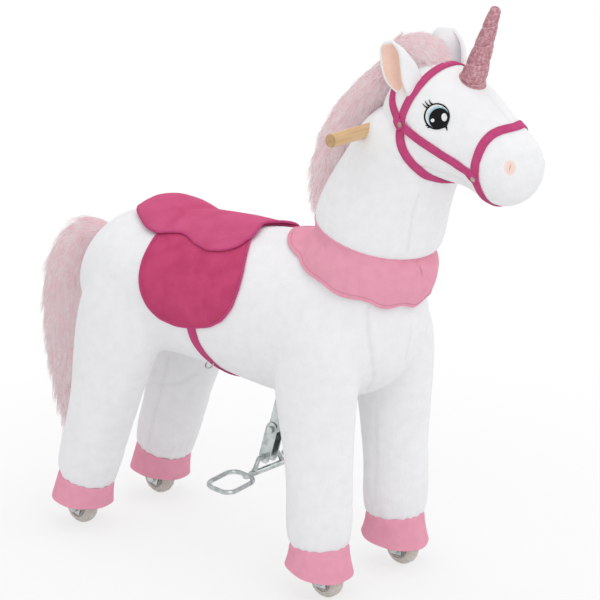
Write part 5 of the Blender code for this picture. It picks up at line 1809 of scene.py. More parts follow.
    def patch(
        self, name: str, side: Side, surface: Skin, centre: Sequence[float], outline: Sequence[Pair],
        lift: float, thickness: float, finish: Finish,
    ) -> bpy.types.Object:
        """Sew a filled patch onto the head.

        Args:
            name: The piece's name.
            side: Which side of the head.
            surface: The head's surface.
            centre: The drawing's middle, on the left side.
            outline: The patch's outline in millimetres right and up of it.
            lift: How high its underside lies, in millimetres.
            thickness: How thick it is, in millimetres.
            finish: Its finish.

        Returns:
            The piece.
        """
        pattern = Outline(outline)
        height = lift * MM + thickness * MM * 0.5
        made = Bench.grid(
            name, 16, 16, lambda u, v: self.drawn(side, surface, centre, pattern.within(u, v), height)
        )
        Bench.thicken(made, thickness * MM)
        Bench.outwards(made, 50.0)
        return Bench.dress(made, finish, Slot.PLUSH, Body.STEERING)

    @staticmethod
    def oval(x: float, y: float, a: float, b: float, lean: float = 0.0) -> list[Pair]:
        """An oval's outline about a middle, with its half sizes and its lean in degrees.

        Args:
            x: The middle, rightwards.
            y: The middle, upwards.
            a: The half width.
            b: The half height.
            lean: The lean.

        Returns:
            The outline.
        """
        cos, sin = math.cos(math.radians(lean)), math.sin(math.radians(lean))
        flat = [(a * math.cos(turn), b * math.sin(turn)) for turn in spaced(64)]
        return [(x + p * cos - q * sin, y + p * sin + q * cos) for p, q in flat]

    @staticmethod
    def held(outline: Sequence[Pair]) -> list[Pair]:
        """An outline kept within the eye's border."""
        outs = [max(1.0, math.hypot(x / 17.2, y / 17.8)) for x, y in outline]
        return [(x / out, y / out) for (x, y), out in zip(outline, outs)]

    def eye(self, side: Side, surface: Skin) -> None:
        """An embroidered eye: outline, white, two blue crescents, pupil, lights and lashes.

        Args:
            side: Which eye.
            surface: The head's surface.
        """
        oval, held = self.oval, self.held
        rim = [(x, y - (2.6 * bell(x - 12.6, 2.6) if y < 0 else 0)) for x, y in oval(0, 0, 17.7, 18.3)]
        layers = (
            ("outline", rim, 0.1, 0.6, BLACK_THREAD),
            ("white", oval(0.0, 0.1, 15.3, 15.9), 0.6, 0.4, WHITE_THREAD),
            ("pale_blue", held(oval(1.5, -0.9, 15.2, 15.8)), 0.95, 0.3, PALE_BLUE_THREAD),
            ("blue", held(oval(2.6, -2.4, 14.8, 15.5)), 1.2, 0.3, BLUE_THREAD),
            ("pupil", held(oval(3.9, -3.9, 14.2, 14.9)), 1.45, 0.35, BLACK_THREAD),
            ("light", oval(10.4, -1.7, 3.8, 5.5, 4), 1.75, 0.35, WHITE_THREAD),
            ("spark", oval(-5.4, -5.6, 2.5, 2.5), 1.75, 0.35, WHITE_THREAD),
        )
        for name, *drawing in layers:
            self.patch(f"eye_{name}_{side.label}", side, surface, self.eye_centre, *drawing)
        for index, curve in enumerate(self.lashes):
            self.lash(f"lash_{side.label}_{index + 1}", side, surface, curve)

    def lash(self, name: str, side: Side, surface: Skin, curve: Table) -> None:
        """One tapering lash.

        Args:
            name: The piece's name.
            side: Which side of the head.
            surface: The head's surface.
            curve: Its root, bend and tip.
        """
        root, bend, tip = (np.array(point) for point in curve)
        edges = []
        for share in steps(12):
            rest = 1 - share
            spot = rest**2 * root + 2 * share * rest * bend + share**2 * tip
            way = bend * rest + tip * share - root * rest - bend * share
            across = np.array((-way[1], way[0])) / np.linalg.norm(way) * 1.45 * (1 - 0.85 * share)
            edges.append((spot + across, spot - across))
        rows = len(edges) - 1

        def place(u: float, v: float) -> Vector:
            """The lash's point."""
            left, right = edges[round(v * rows)]
            return self.drawn(side, surface, self.eye_centre, left * (1 - u) + right * u, 0.55 * MM)

        made = Bench.grid(name, 2, rows, place)
        Bench.thicken(made, 0.7 * MM)
        Bench.outwards(made, 50.0)
        Bench.dress(made, BLACK_THREAD, Slot.PLUSH, Body.STEERING)

    def nostril(self, side: Side, surface: Skin) -> None:
        """A round peach patch gathered to a dark slit.

        Args:
            side: Which nostril.
            surface: The head's surface.
        """
        centre, (wide, high) = self.nostril_centre, self.nostril_size
        blob = [(wide * math.cos(t) * (1 + 0.05 * math.sin(3 * t)), high * math.sin(t)) for t in spaced(48)]
        spot = self.patch(f"nostril_patch_{side.label}", side, surface, centre, blob, -0.25, 0.7, PEACH_SPOT)
        right, upward, _ = self.view_axes(side)
        offset = Bench.points(spot) - row(side.mirrored(centre))
        away = np.hypot(offset @ row(right) / wide, offset @ row(upward) / high) / MM
        Bench.note(spot, "seam", eased((away - 0.45) / 0.53))
        slit = [(0.55 * math.cos(t) + 1.1 * math.sin(t), 5.4 * math.sin(t)) for t in spaced(40)]
        self.patch(f"nostril_slit_{side.label}", side, surface, centre, slit, 0.25, 0.5, DEEP_PEACH)

    def dowel(self) -> None:
        """The turned wooden handle through the neck, with eased ends."""
        half, radius = self.handle_half, self.handle_radius
        eased_end = [(0.0, 0.0), (0.0, radius * 0.6), (0.0, radius - 1.4 * MM)]
        eased_end += [(0.5 * MM, radius - 0.6 * MM), (1.4 * MM, radius)]
        bar = [(share * (2 * half - 2.8 * MM) + 1.4 * MM, radius) for share in steps(9)[1:-1]]
        other_end = [(2 * half - along, reach) for along, reach in reversed(eased_end)]
        outline = [(along - half, reach) for along, reach in eased_end + bar + other_end]
        made = Bench.lathe("handle_bar", outline, 40, (self.neck.handle, X_AXIS, Y_AXIS, Z_AXIS))
        Bench.outwards(made, 50.0)
        Bench.dress(made, DOWEL_WOOD, Slot.WOOD, Body.STEERING, ["handle_dowel"])


@dataclass
class Horn:
    """The stuffed horn of glittering cloth, wound tight with metallic thread."""

    base: Vector = field(default_factory=lambda: Vector((0.0, -0.350, 0.768)))
    tip: Vector = field(default_factory=lambda: Vector((0.0, -0.3945, 0.893)))
    turns: float = 4.6
    foot_radius: float = 0.0208
    tip_radius: float = 0.0072
    tip_rounding: float = 0.0065
    welt_radius: float = 0.0190
    rings: int = 110
    sides: int = 56

    def __post_init__(self) -> None:
        """Work out the horn's own directions."""
        way = self.tip - self.base
        self.axis = way.normalized()
        self.other = self.axis.cross(X_AXIS)
        self.length = way.length

    def radius(self, share: float, turn: float) -> float:
        """The horn's radius at a height and a direction.

        Args:
            share: The share of its height.
            turn: The direction round it.

        Returns:
            The radius.
        """
        taper = self.foot_radius + (self.tip_radius - self.foot_radius) * share**0.92
        near_tip = max(0.0, share * self.length - (self.length - self.tip_rounding)) / self.tip_rounding
        taper *= math.sqrt(max(1 - near_tip**2, 0.0))
        phase = (turn / TURN - self.turns * share) % 1.0
        groove = bell(min(phase, 1 - phase), 0.10)
        crumple = 0.35 * MM * math.sin(turn * 7 + share * 60) * math.sin(turn * 3 - share * 35)
        return taper * (1 - 0.075 * groove) + 0.4 * MM * math.sin(math.pi * phase) + crumple * (1 - near_tip)

    def around(self, turn: float) -> Vector:
        """The direction across the horn at a turn."""
        return X_AXIS * math.cos(turn) + self.other * math.sin(turn)

    def place(self, share: float, turn: float, lift: float = 0.0) -> Vector:
        """A point of the horn's surface, or one lifted off it."""
        reach = max(self.radius(share, turn), 0.0) + lift
        return self.base + self.axis * (share * self.length) + self.around(turn) * reach

    def build(self, surface: Skin) -> None:
        """Build the horn on the head's surface, with its thread and its seam.

        Args:
            surface: The head's surface.
        """
        body = Bench.grid("horn_cloth", self.sides, self.rings, lambda u, v: self.place(v, TURN * u), around=True)
        Bench.close(body, bpy.ops.mesh.edge_face_add)
        Bench.outwards(body, 70.0)
        Bench.dress(body, HORN_CLOTH, Slot.HORN, Body.STEERING, ["horn"])
        line = [self.place(share, TURN * self.turns * share, 0.15 * MM) for share in np.linspace(0.06, 0.93, 260)]
        thread = Bench.tube("horn_thread", line, 0.45 * MM, False, 2)
        Bench.dress(thread, THREAD_METAL, Slot.HORN, Body.STEERING)
        foot = []
        for turn in spaced(60):
            edge = self.base + self.around(turn) * self.welt_radius
            place, normal = surface.hit(edge + self.axis * 0.06, -self.axis) or surface.nearest(edge)
            foot.append(place + normal * 0.4 * MM)
        welt = Bench.tube("horn_seam", foot, 1.3 * MM, True)
        Bench.dress(welt, HORN_CLOTH, Slot.HORN, Body.STEERING)


@dataclass
class Bridle:
    """The ribbons round the head, their rivets and their stitching."""

    neck: Neck
    surface: Skin
    width: float = 0.013
    thickness: float = 1.9 * MM
    # The bands in degrees from the head's left side and shares of the way to the muzzle.
    noseband: Table = (
        (-90, 0.865), (-60, 0.848), (-35, 0.817), (-23, 0.790), (-12, 0.767), (2, 0.745), (20, 0.725), (35, 0.713),
        (51, 0.713), (64, 0.725), (78, 0.741), (90, 0.747),
    )
    browband: Table = (
        (-90, 0.560), (-75, 0.545), (-59, 0.505), (-52, 0.475), (-42, 0.428), (-30, 0.375), (-20, 0.323),
        (-10, 0.289), (-2, 0.271), (10, 0.254), (24, 0.243), (39, 0.236), (56, 0.230), (74, 0.228), (90, 0.230),
    )
    cheek: Table = (
        (-2, 0.271), (-3.1, 0.320), (-3.8, 0.361), (-5.8, 0.464), (-11.0, 0.576), (-13.8, 0.674), (-13.2, 0.735),
        (-14.7, 0.769),
    )
    crown: Table = (
        (0.0735, -0.2930, 0.7190), (0.0740, -0.2880, 0.7280), (0.0710, -0.2760, 0.7390), (0.0640, -0.2640, 0.7510),
        (0.0560, -0.2560, 0.7640), (0.0480, -0.2510, 0.7780), (0.0360, -0.2470, 0.7950), (0.0180, -0.2460, 0.8060),
    )
    # The rivet's section in millimetres, as heights and radii.
    dome: Table = (
        (0.0, 0.0), (0.0, 3.9), (0.4, 4.0), (0.7, 3.7), (0.65, 3.3), (0.8, 3.0), (1.3, 2.5), (1.65, 1.7),
        (1.85, 0.8), (1.9, 0.0),
    )

    def laid(self, line: Iterable[Vector]) -> list[Vector]:
        """Points brought to the head's surface."""
        return [self.surface.nearest(point)[0] for point in line]

    def band_line(self, table: Table) -> list[Vector]:
        """Points round the head along one ribbon, from its table of degrees and shares.

        Args:
            table: The ribbon's table.

        Returns:
            The points.
        """
        found = []
        for step in range(180):
            angle = TURN * step / 180
            share = read(table, math.degrees(math.asin(math.sin(angle))))[0]
            found.append(self.neck.head_point(share, angle))
        return resampled(rounded(self.laid(found), 6, True), DRAPE_STEP, True)

    def strap_line(self, side: Side) -> list[Vector]:
        """Points along a cheek strap, from the rear rivet to the front one.

        Args:
            side: Which side.

        Returns:
            The points.
        """
        line = [side.mirrored(self.neck.head_point(share, math.radians(angle))) for angle, share in self.cheek]
        line = self.laid(rounded(resampled(line, 4 * MM), 4, False))
        before, after = line[0] - line[1], line[-1] - line[-2]
        line = [line[0] + before.normalized() * 2 * MM] + line + [line[-1] + after.normalized() * 6 * MM]
        return resampled(line, DRAPE_STEP)

    def crown_line(self, side: Side) -> list[Vector]:
        """Points up the crown strap behind an ear, from the rear rivet into the mane."""
        line = [side.mirrored(point) for point in self.crown]
        return resampled(self.laid(rounded(resampled(line, 4 * MM), 3, False)), DRAPE_STEP)

    def ribbon(
        self, name: str, line: list[Vector], closed: bool, stands_for: Sequence[str],
        lifts: Sequence[float] | None = None,
    ) -> None:
        """Lay and dress one ribbon.

        Args:
            name: The piece's name.
            line: Its middle line.
            closed: Whether it is a ring.
            stands_for: The CAD nodes that it replaces.
            lifts: Extra height where it crosses another.
        """
        band = Ribbon(name, self.width, self.thickness).build(line, self.surface, closed, lifts)
        Bench.dress(band, PINK_RIBBON, Slot.SADDLE, Body.STEERING, stands_for)
        line_length(line, closed)

    def stitch(self, thread: Thread, line: list[Vector], closed: bool) -> None:
        """Stitch both edges of a ribbon.

        Args:
            thread: The stitches to add to.
            line: The ribbon's middle line.
            closed: Whether it is a ring.
        """
        frames = Ribbon("edge", self.width, self.thickness).line_frames(line, self.surface, closed)
        for way in (-1, 1):
            edge = [place + side * way * self.width / 2 * 0.68 for place, side in frames]
            thread.sew(edge, self.surface, self.thickness + 0.55 * MM, closed)

    def rivet(self, name: str, place: Vector, normal: Vector) -> None:
        """A domed rivet with a turned rim, that faces along a normal.

        Args:
            name: The piece's name.
            place: Where it sits.
            normal: Which way it faces.
        """
        across = normal.orthogonal().normalized()
        outline = [(height * MM, reach * MM) for height, reach in self.dome]
        made = Bench.lathe(name, outline, 28, (place, normal, across, normal.cross(across)))
        Bench.outwards(made, 50.0)
        Bench.dress(made, RIVET_METAL, Slot.STEEL, Body.STEERING)

    @staticmethod
    def lifts(spans: Iterable[int], height: float) -> list[float]:
        """A ribbon's extra height near a crossing, from each point's count of steps to it."""
        return [height * float(eased((0.024 - span * DRAPE_STEP) / 0.012)) for span in spans]

    def build(self) -> None:
        """Build the bridle."""
        thread = Thread()
        for name, table in (("noseband", self.noseband), ("browband", self.browband)):
            points = self.band_line(table)
            self.ribbon(f"{name}_ribbon", points, True, [name])
            self.stitch(thread, points, True)
        over = self.thickness + 0.2 * MM
        for side in Side:
            line = self.strap_line(side)
            count = len(line)
            lifts = self.lifts((min(index, count - 1 - index) for index in range(count)), over)
            self.ribbon(f"cheek_ribbon_{side.label}", line, False, [f"cheek_strap_{side.label}"], lifts)
            self.stitch(thread, line[5:-5], False)
            crown = self.crown_line(side)
            self.ribbon(f"crown_ribbon_{side.label}", crown, False, [], self.lifts(range(len(crown)), 2 * over))
            self.stitch(thread, crown[7:], False)
            for label, place, height in (("rear", line[2], 3 * over), ("front", line[-3], 2 * over)):
                spot, normal = self.surface.nearest(place)
                self.rivet(f"rivet_{label}_{side.label}", spot + normal * (height + 0.1 * MM), normal)
        Bench.dress(thread.build("bridle_stitches"), PINK_THREAD, Slot.SADDLE, Body.STEERING)


class Pad:
    """A shaped pad laid over the torso, outlined in the plane of its flat pattern."""

    RADIUS = 0.12

    def __init__(self, name: str, outline: Sequence[Pair], centre: Pair, surface: Skin, body: StuffedBody) -> None:
        """Set up the pattern.

        Args:
            name: The pad's name.
            outline: Points (y, distance round the torso from its top) of the pattern's edge.
            centre: A point inside it that sees all of the edge.
            surface: The skin below.
            body: The torso, for its sections.
        """
        self.name = name
        self.pattern = Outline(outline, centre)
        self.surface = surface
        self.body = body

    def lifted(self, y: float, around: float, height: float) -> Vector:
        """The place above the skin at a point of the pattern."""
        spot, normal = self.body.on_skin(self.surface, y, around / self.RADIUS)
        return spot + normal * height

    def shell(
        self, columns: int, rows: int, top: Callable[[float, float, float], float], under: float
    ) -> bpy.types.Object:
        """Lay the pad's upper and lower faces and join them at the edge.

        Args:
            columns: Faces along the pattern.
            rows: Faces across it.
            top: The height of the upper face at a place and a share of the way to the edge.
            under: The height of the lower face.

        Returns:
            The closed pad.
        """
        faces = []
        for level, height in (("upper", top), ("lower", lambda *_: under)):

            def place(u: float, v: float) -> Vector:
                """A point of one face."""
                y, around, share = self.pattern.within(u, v)
                return self.lifted(y, around, height(y, around, share))

            faces.append(Bench.grid(f"{self.name}_{level}", columns, rows, place))
        faces[1].data.flip_normals()
        pad = Bench.joined(faces, self.name)
        Bench.close(pad, bpy.ops.mesh.bridge_edge_loops)
        Bench.outwards(pad)
        return pad

    def edge(self, height: float, margin: float = 0.0) -> list[Vector]:
        """The pattern's edge, or a line a margin inside it, laid on the skin at a height.

        Args:
            height: The height.
            margin: The margin.

        Returns:
            The line.
        """
        found = []
        for angle in np.linspace(-math.pi, math.pi, 220, endpoint=False):
            y, around = self.pattern.point(angle, self.pattern.reach(angle) - margin)
            found.append(self.lifted(y, around, height))
        return found


def puffed(piece: bpy.types.Object, hold: float, pressure: float, cap: float, frames: int = 20) -> None:
    """Swell a closed pad with a cloth simulation, and keep the result in its mesh.

    Args:
        piece: The pad.
        hold: How firmly its points are held.
        pressure: The pressure inside it.
        cap: How far a point may move.
        frames: How many frames are simulated.
    """
    before = Bench.points(piece)
    Bench.weigh(piece, "held", np.ones(len(before)) * hold, 0.0)
    scene = bpy.context.scene
    cloth = piece.modifiers.new("puff", "CLOTH")
    cloth.settings.use_pressure = True
    cloth.settings.uniform_pressure_force = pressure
    cloth.settings.effector_weights.gravity = 0.0
    cloth.settings.vertex_group_mass = "held"
    cloth.settings.quality = 6
    cloth.point_cache.frame_start = 1
    cloth.point_cache.frame_end = frames
    for frame in range(1, frames + 1):
        scene.frame_set(frame)
    Bench.take(piece)
    bpy.ops.object.modifier_apply(modifier=cloth.name)
    scene.frame_set(1)
    moved = Bench.points(piece) - before
    share = np.minimum(1.0, cap / np.maximum(np.linalg.norm(moved, axis=1), 1e-9))
    Bench.move(piece, before + moved * share[:, None])


@dataclass
class Saddle:
    """The saddle's two layers with their piping, and the girth below."""

    body: StuffedBody
    surface: Skin
    thickness: float = 4.6 * MM
    seat_front: float = 0.006
    seat_length: float = 0.255
    girth_width: float = 0.0165
    # Each edge in millimetres along the torso and degrees from its top, from the front round to the rear.
    flap_edge: Table = (
        (32, 0), (26, 10), (14, 21), (-3.6, 37.5), (-16.1, 52), (-19, 64.5), (-14.3, 77), (1.6, 87.2), (26.6, 94.2),
        (62.5, 99.2), (95.2, 101.5), (126.3, 99.4), (147.1, 93.1), (161.5, 84.1), (169.4, 74.7), (173.6, 63.4),
        (174.9, 49), (176.4, 37), (178, 18), (178, 0),
    )
    seat_edge: Table = (
        (26, 0), (20, 7), (12, 14), (8, 22), (14.9, 33.4), (36.4, 40), (65.1, 42.5), (96.7, 39.1), (118, 34.2),
        (132, 32.4), (150.2, 34.1), (172.9, 37.6), (190, 36.6), (207, 33), (227.3, 25.8), (245, 19), (257, 11),
        (261, 0),
    )
    # The seat's rise in millimetres, by shares of its length.
    seat_rise: Table = (
        (0.0, 1.0), (0.07, 2.2), (0.16, 4.6), (0.28, 6.5), (0.45, 6.5), (0.57, 5.4), (0.62, 5.0), (0.67, 11.0),
        (0.73, 17.0), (0.82, 21.5), (0.90, 21.0), (0.96, 16.0), (1.0, 8.0),
    )
    # Where the girth runs, in degrees from the torso's top and millimetres along it.
    girth_way: Table = ((92, 66), (101, 65), (111, 63.5), (121, 59), (129, 54), (145, 49), (165, 46), (180, 45))

    @property
    def seat_base(self) -> float:
        """The height of the seat's underside."""
        return self.thickness + 0.4 * MM

    @staticmethod
    def outline(table: Table, round_off: int) -> list[Pair]:
        """The whole pattern of both sides from one side's table, with its corners eased a number of times.

        Args:
            table: The table.
            round_off: How often the corners are eased.

        Returns:
            The outline.
        """
        one = [Vector((y * MM, Pad.RADIUS * math.radians(degrees), 0.0)) for y, degrees in table]
        line = one + [Vector((point.x, -point.y, 0.0)) for point in reversed(one) if point.y > 0]
        line = rounded(resampled(line, 2.5 * MM, True), round_off, True)
        return [(point.x, point.y) for point in line]

    def flap_height(self, y: float, around: float, share: float) -> float:
        """The lower layer's height, softly quilted and thin at its edge."""
        soft = 0.35 * MM * math.sin(y * 70 + around * 23) * math.sin(around * 41)
        return self.thickness - 1.6 * MM * share**14 + soft * (1 - share)

    def seat_height(self, y: float, around: float, share: float) -> float:
        """The upper layer's height: a shallow seat that rises to the cantle.

        Args:
            y: The place along the torso.
            around: The distance round it.
            share: The share of the way to the edge.

        Returns:
            The height.
        """
        along = (y - self.seat_front) / self.seat_length
        rise = read(self.seat_rise, along)[0] * MM
        dome = (1 - share**4) ** 0.6
        fold = 4.6 * MM * bell(along - 0.640 + abs(around) * 0.45, 0.015)
        rim = min(3.0, 1.0 + max(along, 0.0) * 16) * MM
        return self.seat_base + rim + (rise - rim) * dome - fold * (1 - share**6)

    @staticmethod
    def finished(pad: bpy.types.Object, hold: float, pressure: float, cap: float) -> bpy.types.Object:
        """A pad's mesh swollen, rounded and softened.

        Args:
            pad: The pad.
            hold: How firmly its points are held.
            pressure: The pressure inside it.
            cap: How far a point may move.

        Returns:
            The pad.
        """
        puffed(pad, hold, pressure, cap)
        Bench.modify(pad, "SUBSURF", levels=1, render_levels=1)
        Bench.soften(pad, 80.0)
        return pad

    @staticmethod
    def piping(name: str, edge: list[Vector], radius: float) -> None:
        """The piping along a pad's edge."""
        Bench.dress(Bench.tube(name, edge, radius, True), PINK_RIBBON, Slot.SADDLE, Body.TORSO)

    def build(self) -> None:
        """Build the saddle and the girth."""
        thread = Thread()
        blanket = Pad("saddle_flaps", self.outline(self.flap_edge, 9), (0.078, 0.0), self.surface, self.body)
        flaps = self.finished(blanket.shell(46, 92, self.flap_height, 0.5 * MM), 0.55, 1.2, 1.2 * MM)
        Bench.dress(flaps, PINK_VELOUR, Slot.SADDLE, Body.TORSO, ["saddle_blanket"])
        self.piping("saddle_flaps_piping", blanket.edge(2.4 * MM), 2.0 * MM)
        thread.sew(blanket.edge(0.0, 5.5 * MM), self.surface, self.thickness + 0.25 * MM)
        seat = Pad("saddle_seat_pad", self.outline(self.seat_edge, 4), (0.130, 0.0), self.surface, self.body)
        pad = self.finished(seat.shell(64, 64, self.seat_height, self.seat_base), 0.5, 2.0, 2.5 * MM)
        # The seat's velour is painted lighter for the light on its top.
        Bench.dress(pad, LIT_SEAT_VELOUR, Slot.SADDLE, Body.TORSO, ["saddle_seat"])
        self.piping("saddle_seat_piping", seat.edge(self.seat_base + 1.9 * MM), 2.1 * MM)
        Bench.dress(thread.build("saddle_stitches"), PINK_THREAD, Slot.SADDLE, Body.TORSO)
        self.girth()

    def girth_line(self, side: Side) -> list[Vector]:
        """The girth's middle line from one flap to the middle of the belly.

        Args:
            side: Which side.

        Returns:
            The points.
        """
        line = []
        for degrees in np.linspace(92, 180, 60):
            y = read(self.girth_way, degrees)[0] * MM
            line.append(self.body.on_skin(self.surface, y, math.radians(degrees) * side.value)[0])
        return resampled(line, DRAPE_STEP)

    def girth(self) -> None:
        """The strap under the belly, slanting forwards and narrower at its middle, with its ring."""
        right, left = self.girth_line(Side.RIGHT), self.girth_line(Side.LEFT)
        line = right + left[::-1][1:]
        strap = Ribbon("girth_ribbon", self.girth_width, 2.0 * MM).build(line, self.surface, False)
        middle = np.array([tuple(point) for point in line])
        places = Bench.points(strap)
        near = np.linalg.norm(places[:, None] - middle[None], axis=2).argmin(1)
        depth = eased((places[:, 2] - middle[:, 2].min()) / 0.085)
        places[:, 1] = middle[near, 1] + (places[:, 1] - middle[near, 1]) * (0.62 + 0.38 * depth)
        Bench.move(strap, places)
        Bench.dress(strap, PINK_RIBBON, Slot.SADDLE, Body.TORSO, ["girth_strap"])
        line_length(line)
        spot, normal = self.surface.nearest(line[round(len(right) * 0.45)])
        centre = spot + normal * 6.0 * MM
        ring = [centre + (normal * math.cos(t) + Y_AXIS * math.sin(t)) * 6.5 * MM for t in spaced(40)]
        wire = Bench.tube("girth_ring_wire", ring, 1.2 * MM, True)
        Bench.dress(wire, ZINC, Slot.STEEL, Body.TORSO, ["girth_ring"])


@dataclass
class Collar:
    """The scalloped cape of felt that lies on the shoulders."""

    neck: Neck
    surface: Skin
    throat: Skin
    scallops: int = 9
    # Degrees from the rear, then the hem's drop, its reach from the steering axis and its scallops' depth.
    hem: Table = (
        (0, 41, 150, 3), (18, 42, 134, 3), (30, 43.5, 121, 3.5), (43, 44.5, 107, 3.5), (63, 48, 99, 4),
        (80, 53, 96.5, 4.5), (104, 56, 93.5, 5), (120, 59, 91, 6), (146, 63, 87, 6.5), (160, 65, 86.5, 6.5),
        (180, 66, 84, 7),
    )
    rim_height: float = 9.5 * MM
    rim_rise: float = 6.0 * MM
    rim_width: float = 0.0868
    rim_depth: float = 0.0985
    rim_steps: int = 720

    def place(self, turn: float, share: float, height: float = 0.0) -> Vector:
        """A point of the collar.

        Args:
            turn: The direction from the neck, from its left side towards the tail.
            share: The share of the way from the neck to the hem.
            height: Extra height off the shoulders.

        Returns:
            The point.
        """
        neck = self.neck
        from_rear = math.degrees(math.acos(max(-1.0, min(1.0, math.sin(turn)))))
        drop, reach, depth = (value * MM for value in read(self.hem, from_rear))
        wave = 0.5 - 0.5 * math.cos((turn - math.pi / 2) * self.scallops)
        spoke = X_AXIS * self.rim_width * math.cos(turn) + neck.back * self.rim_depth * math.sin(turn)
        rim = self.rims[round(turn / TURN * self.rim_steps) % self.rim_steps]
        hem = neck.base + spoke.normalized() * reach - neck.axis * (drop + depth * wave)
        spot, normal = self.surface.nearest(rim.lerp(hem, share))
        front = from_rear / 180
        hang = (1.8 + 2.2 * share + 2.6 * share**2 * front * (0.5 + 0.5 * wave)) * MM
        gather = 0.8 * MM * math.cos(turn * 46 + 2 * math.sin(turn * 5)) * max(0.0, 1 - share * 1.6) ** 2 * front
        laid = spot + normal * (hang + gather + height)
        outward = (spoke.normalized() + neck.axis * 0.2).normalized()
        return (rim + outward * (gather + height)).lerp(laid, float(eased(share / 0.30)))

    @cached_property
    def rims(self) -> list[Vector]:
        """The collar's edge round the neck, in even steps, close to the neck's skin.

        Returns:
            The points.
        """
        neck, found = self.neck, []
        for step in range(self.rim_steps):
            turn = TURN * step / self.rim_steps
            way = (X_AXIS * math.cos(turn) + neck.back * math.sin(turn)).normalized()
            start = neck.base + neck.axis * (self.rim_height + self.rim_rise * math.sin(turn))
            hit = self.throat.hit(start + way * 0.2, -way)
            spot = hit[0] if hit else start + way * self.rim_width
            found.append(spot + way * 0.3 * MM)
        return found

    def build(self) -> None:
        """Build the collar with its hem."""
        cape = Bench.grid("collar_cape", 216, 18, lambda u, v: self.place(TURN * u, v), around=True)
        width = Bench.area(cape) / 0.60
        Bench.outwards(cape)
        Bench.thicken(cape, 2.2 * MM)
        Bench.soften(cape, 60.0)
        Bench.dress(cape, PINK_FELT, Slot.FELT, Body.TORSO, ["collar"])
        for name, count, share, radius in (("hem", 300, 1.0, 1.75), ("neck_seam", 200, 0.0, 1.5)):
            line = [self.place(turn, share) for turn in spaced(count)]
            cord = Bench.tube(f"collar_{name}", line, radius * MM, True)
            Bench.dress(cord, PINK_FELT, Slot.FELT, Body.TORSO)
        thread = Thread()
        line = [self.place(turn, 0.925, 1.6 * MM) for turn in spaced(300)]
        thread.sew(line, Skin(cape), 0.25 * MM)
        Bench.dress(thread.build("collar_stitches"), DUSKY_THREAD, Slot.FELT, Body.TORSO)


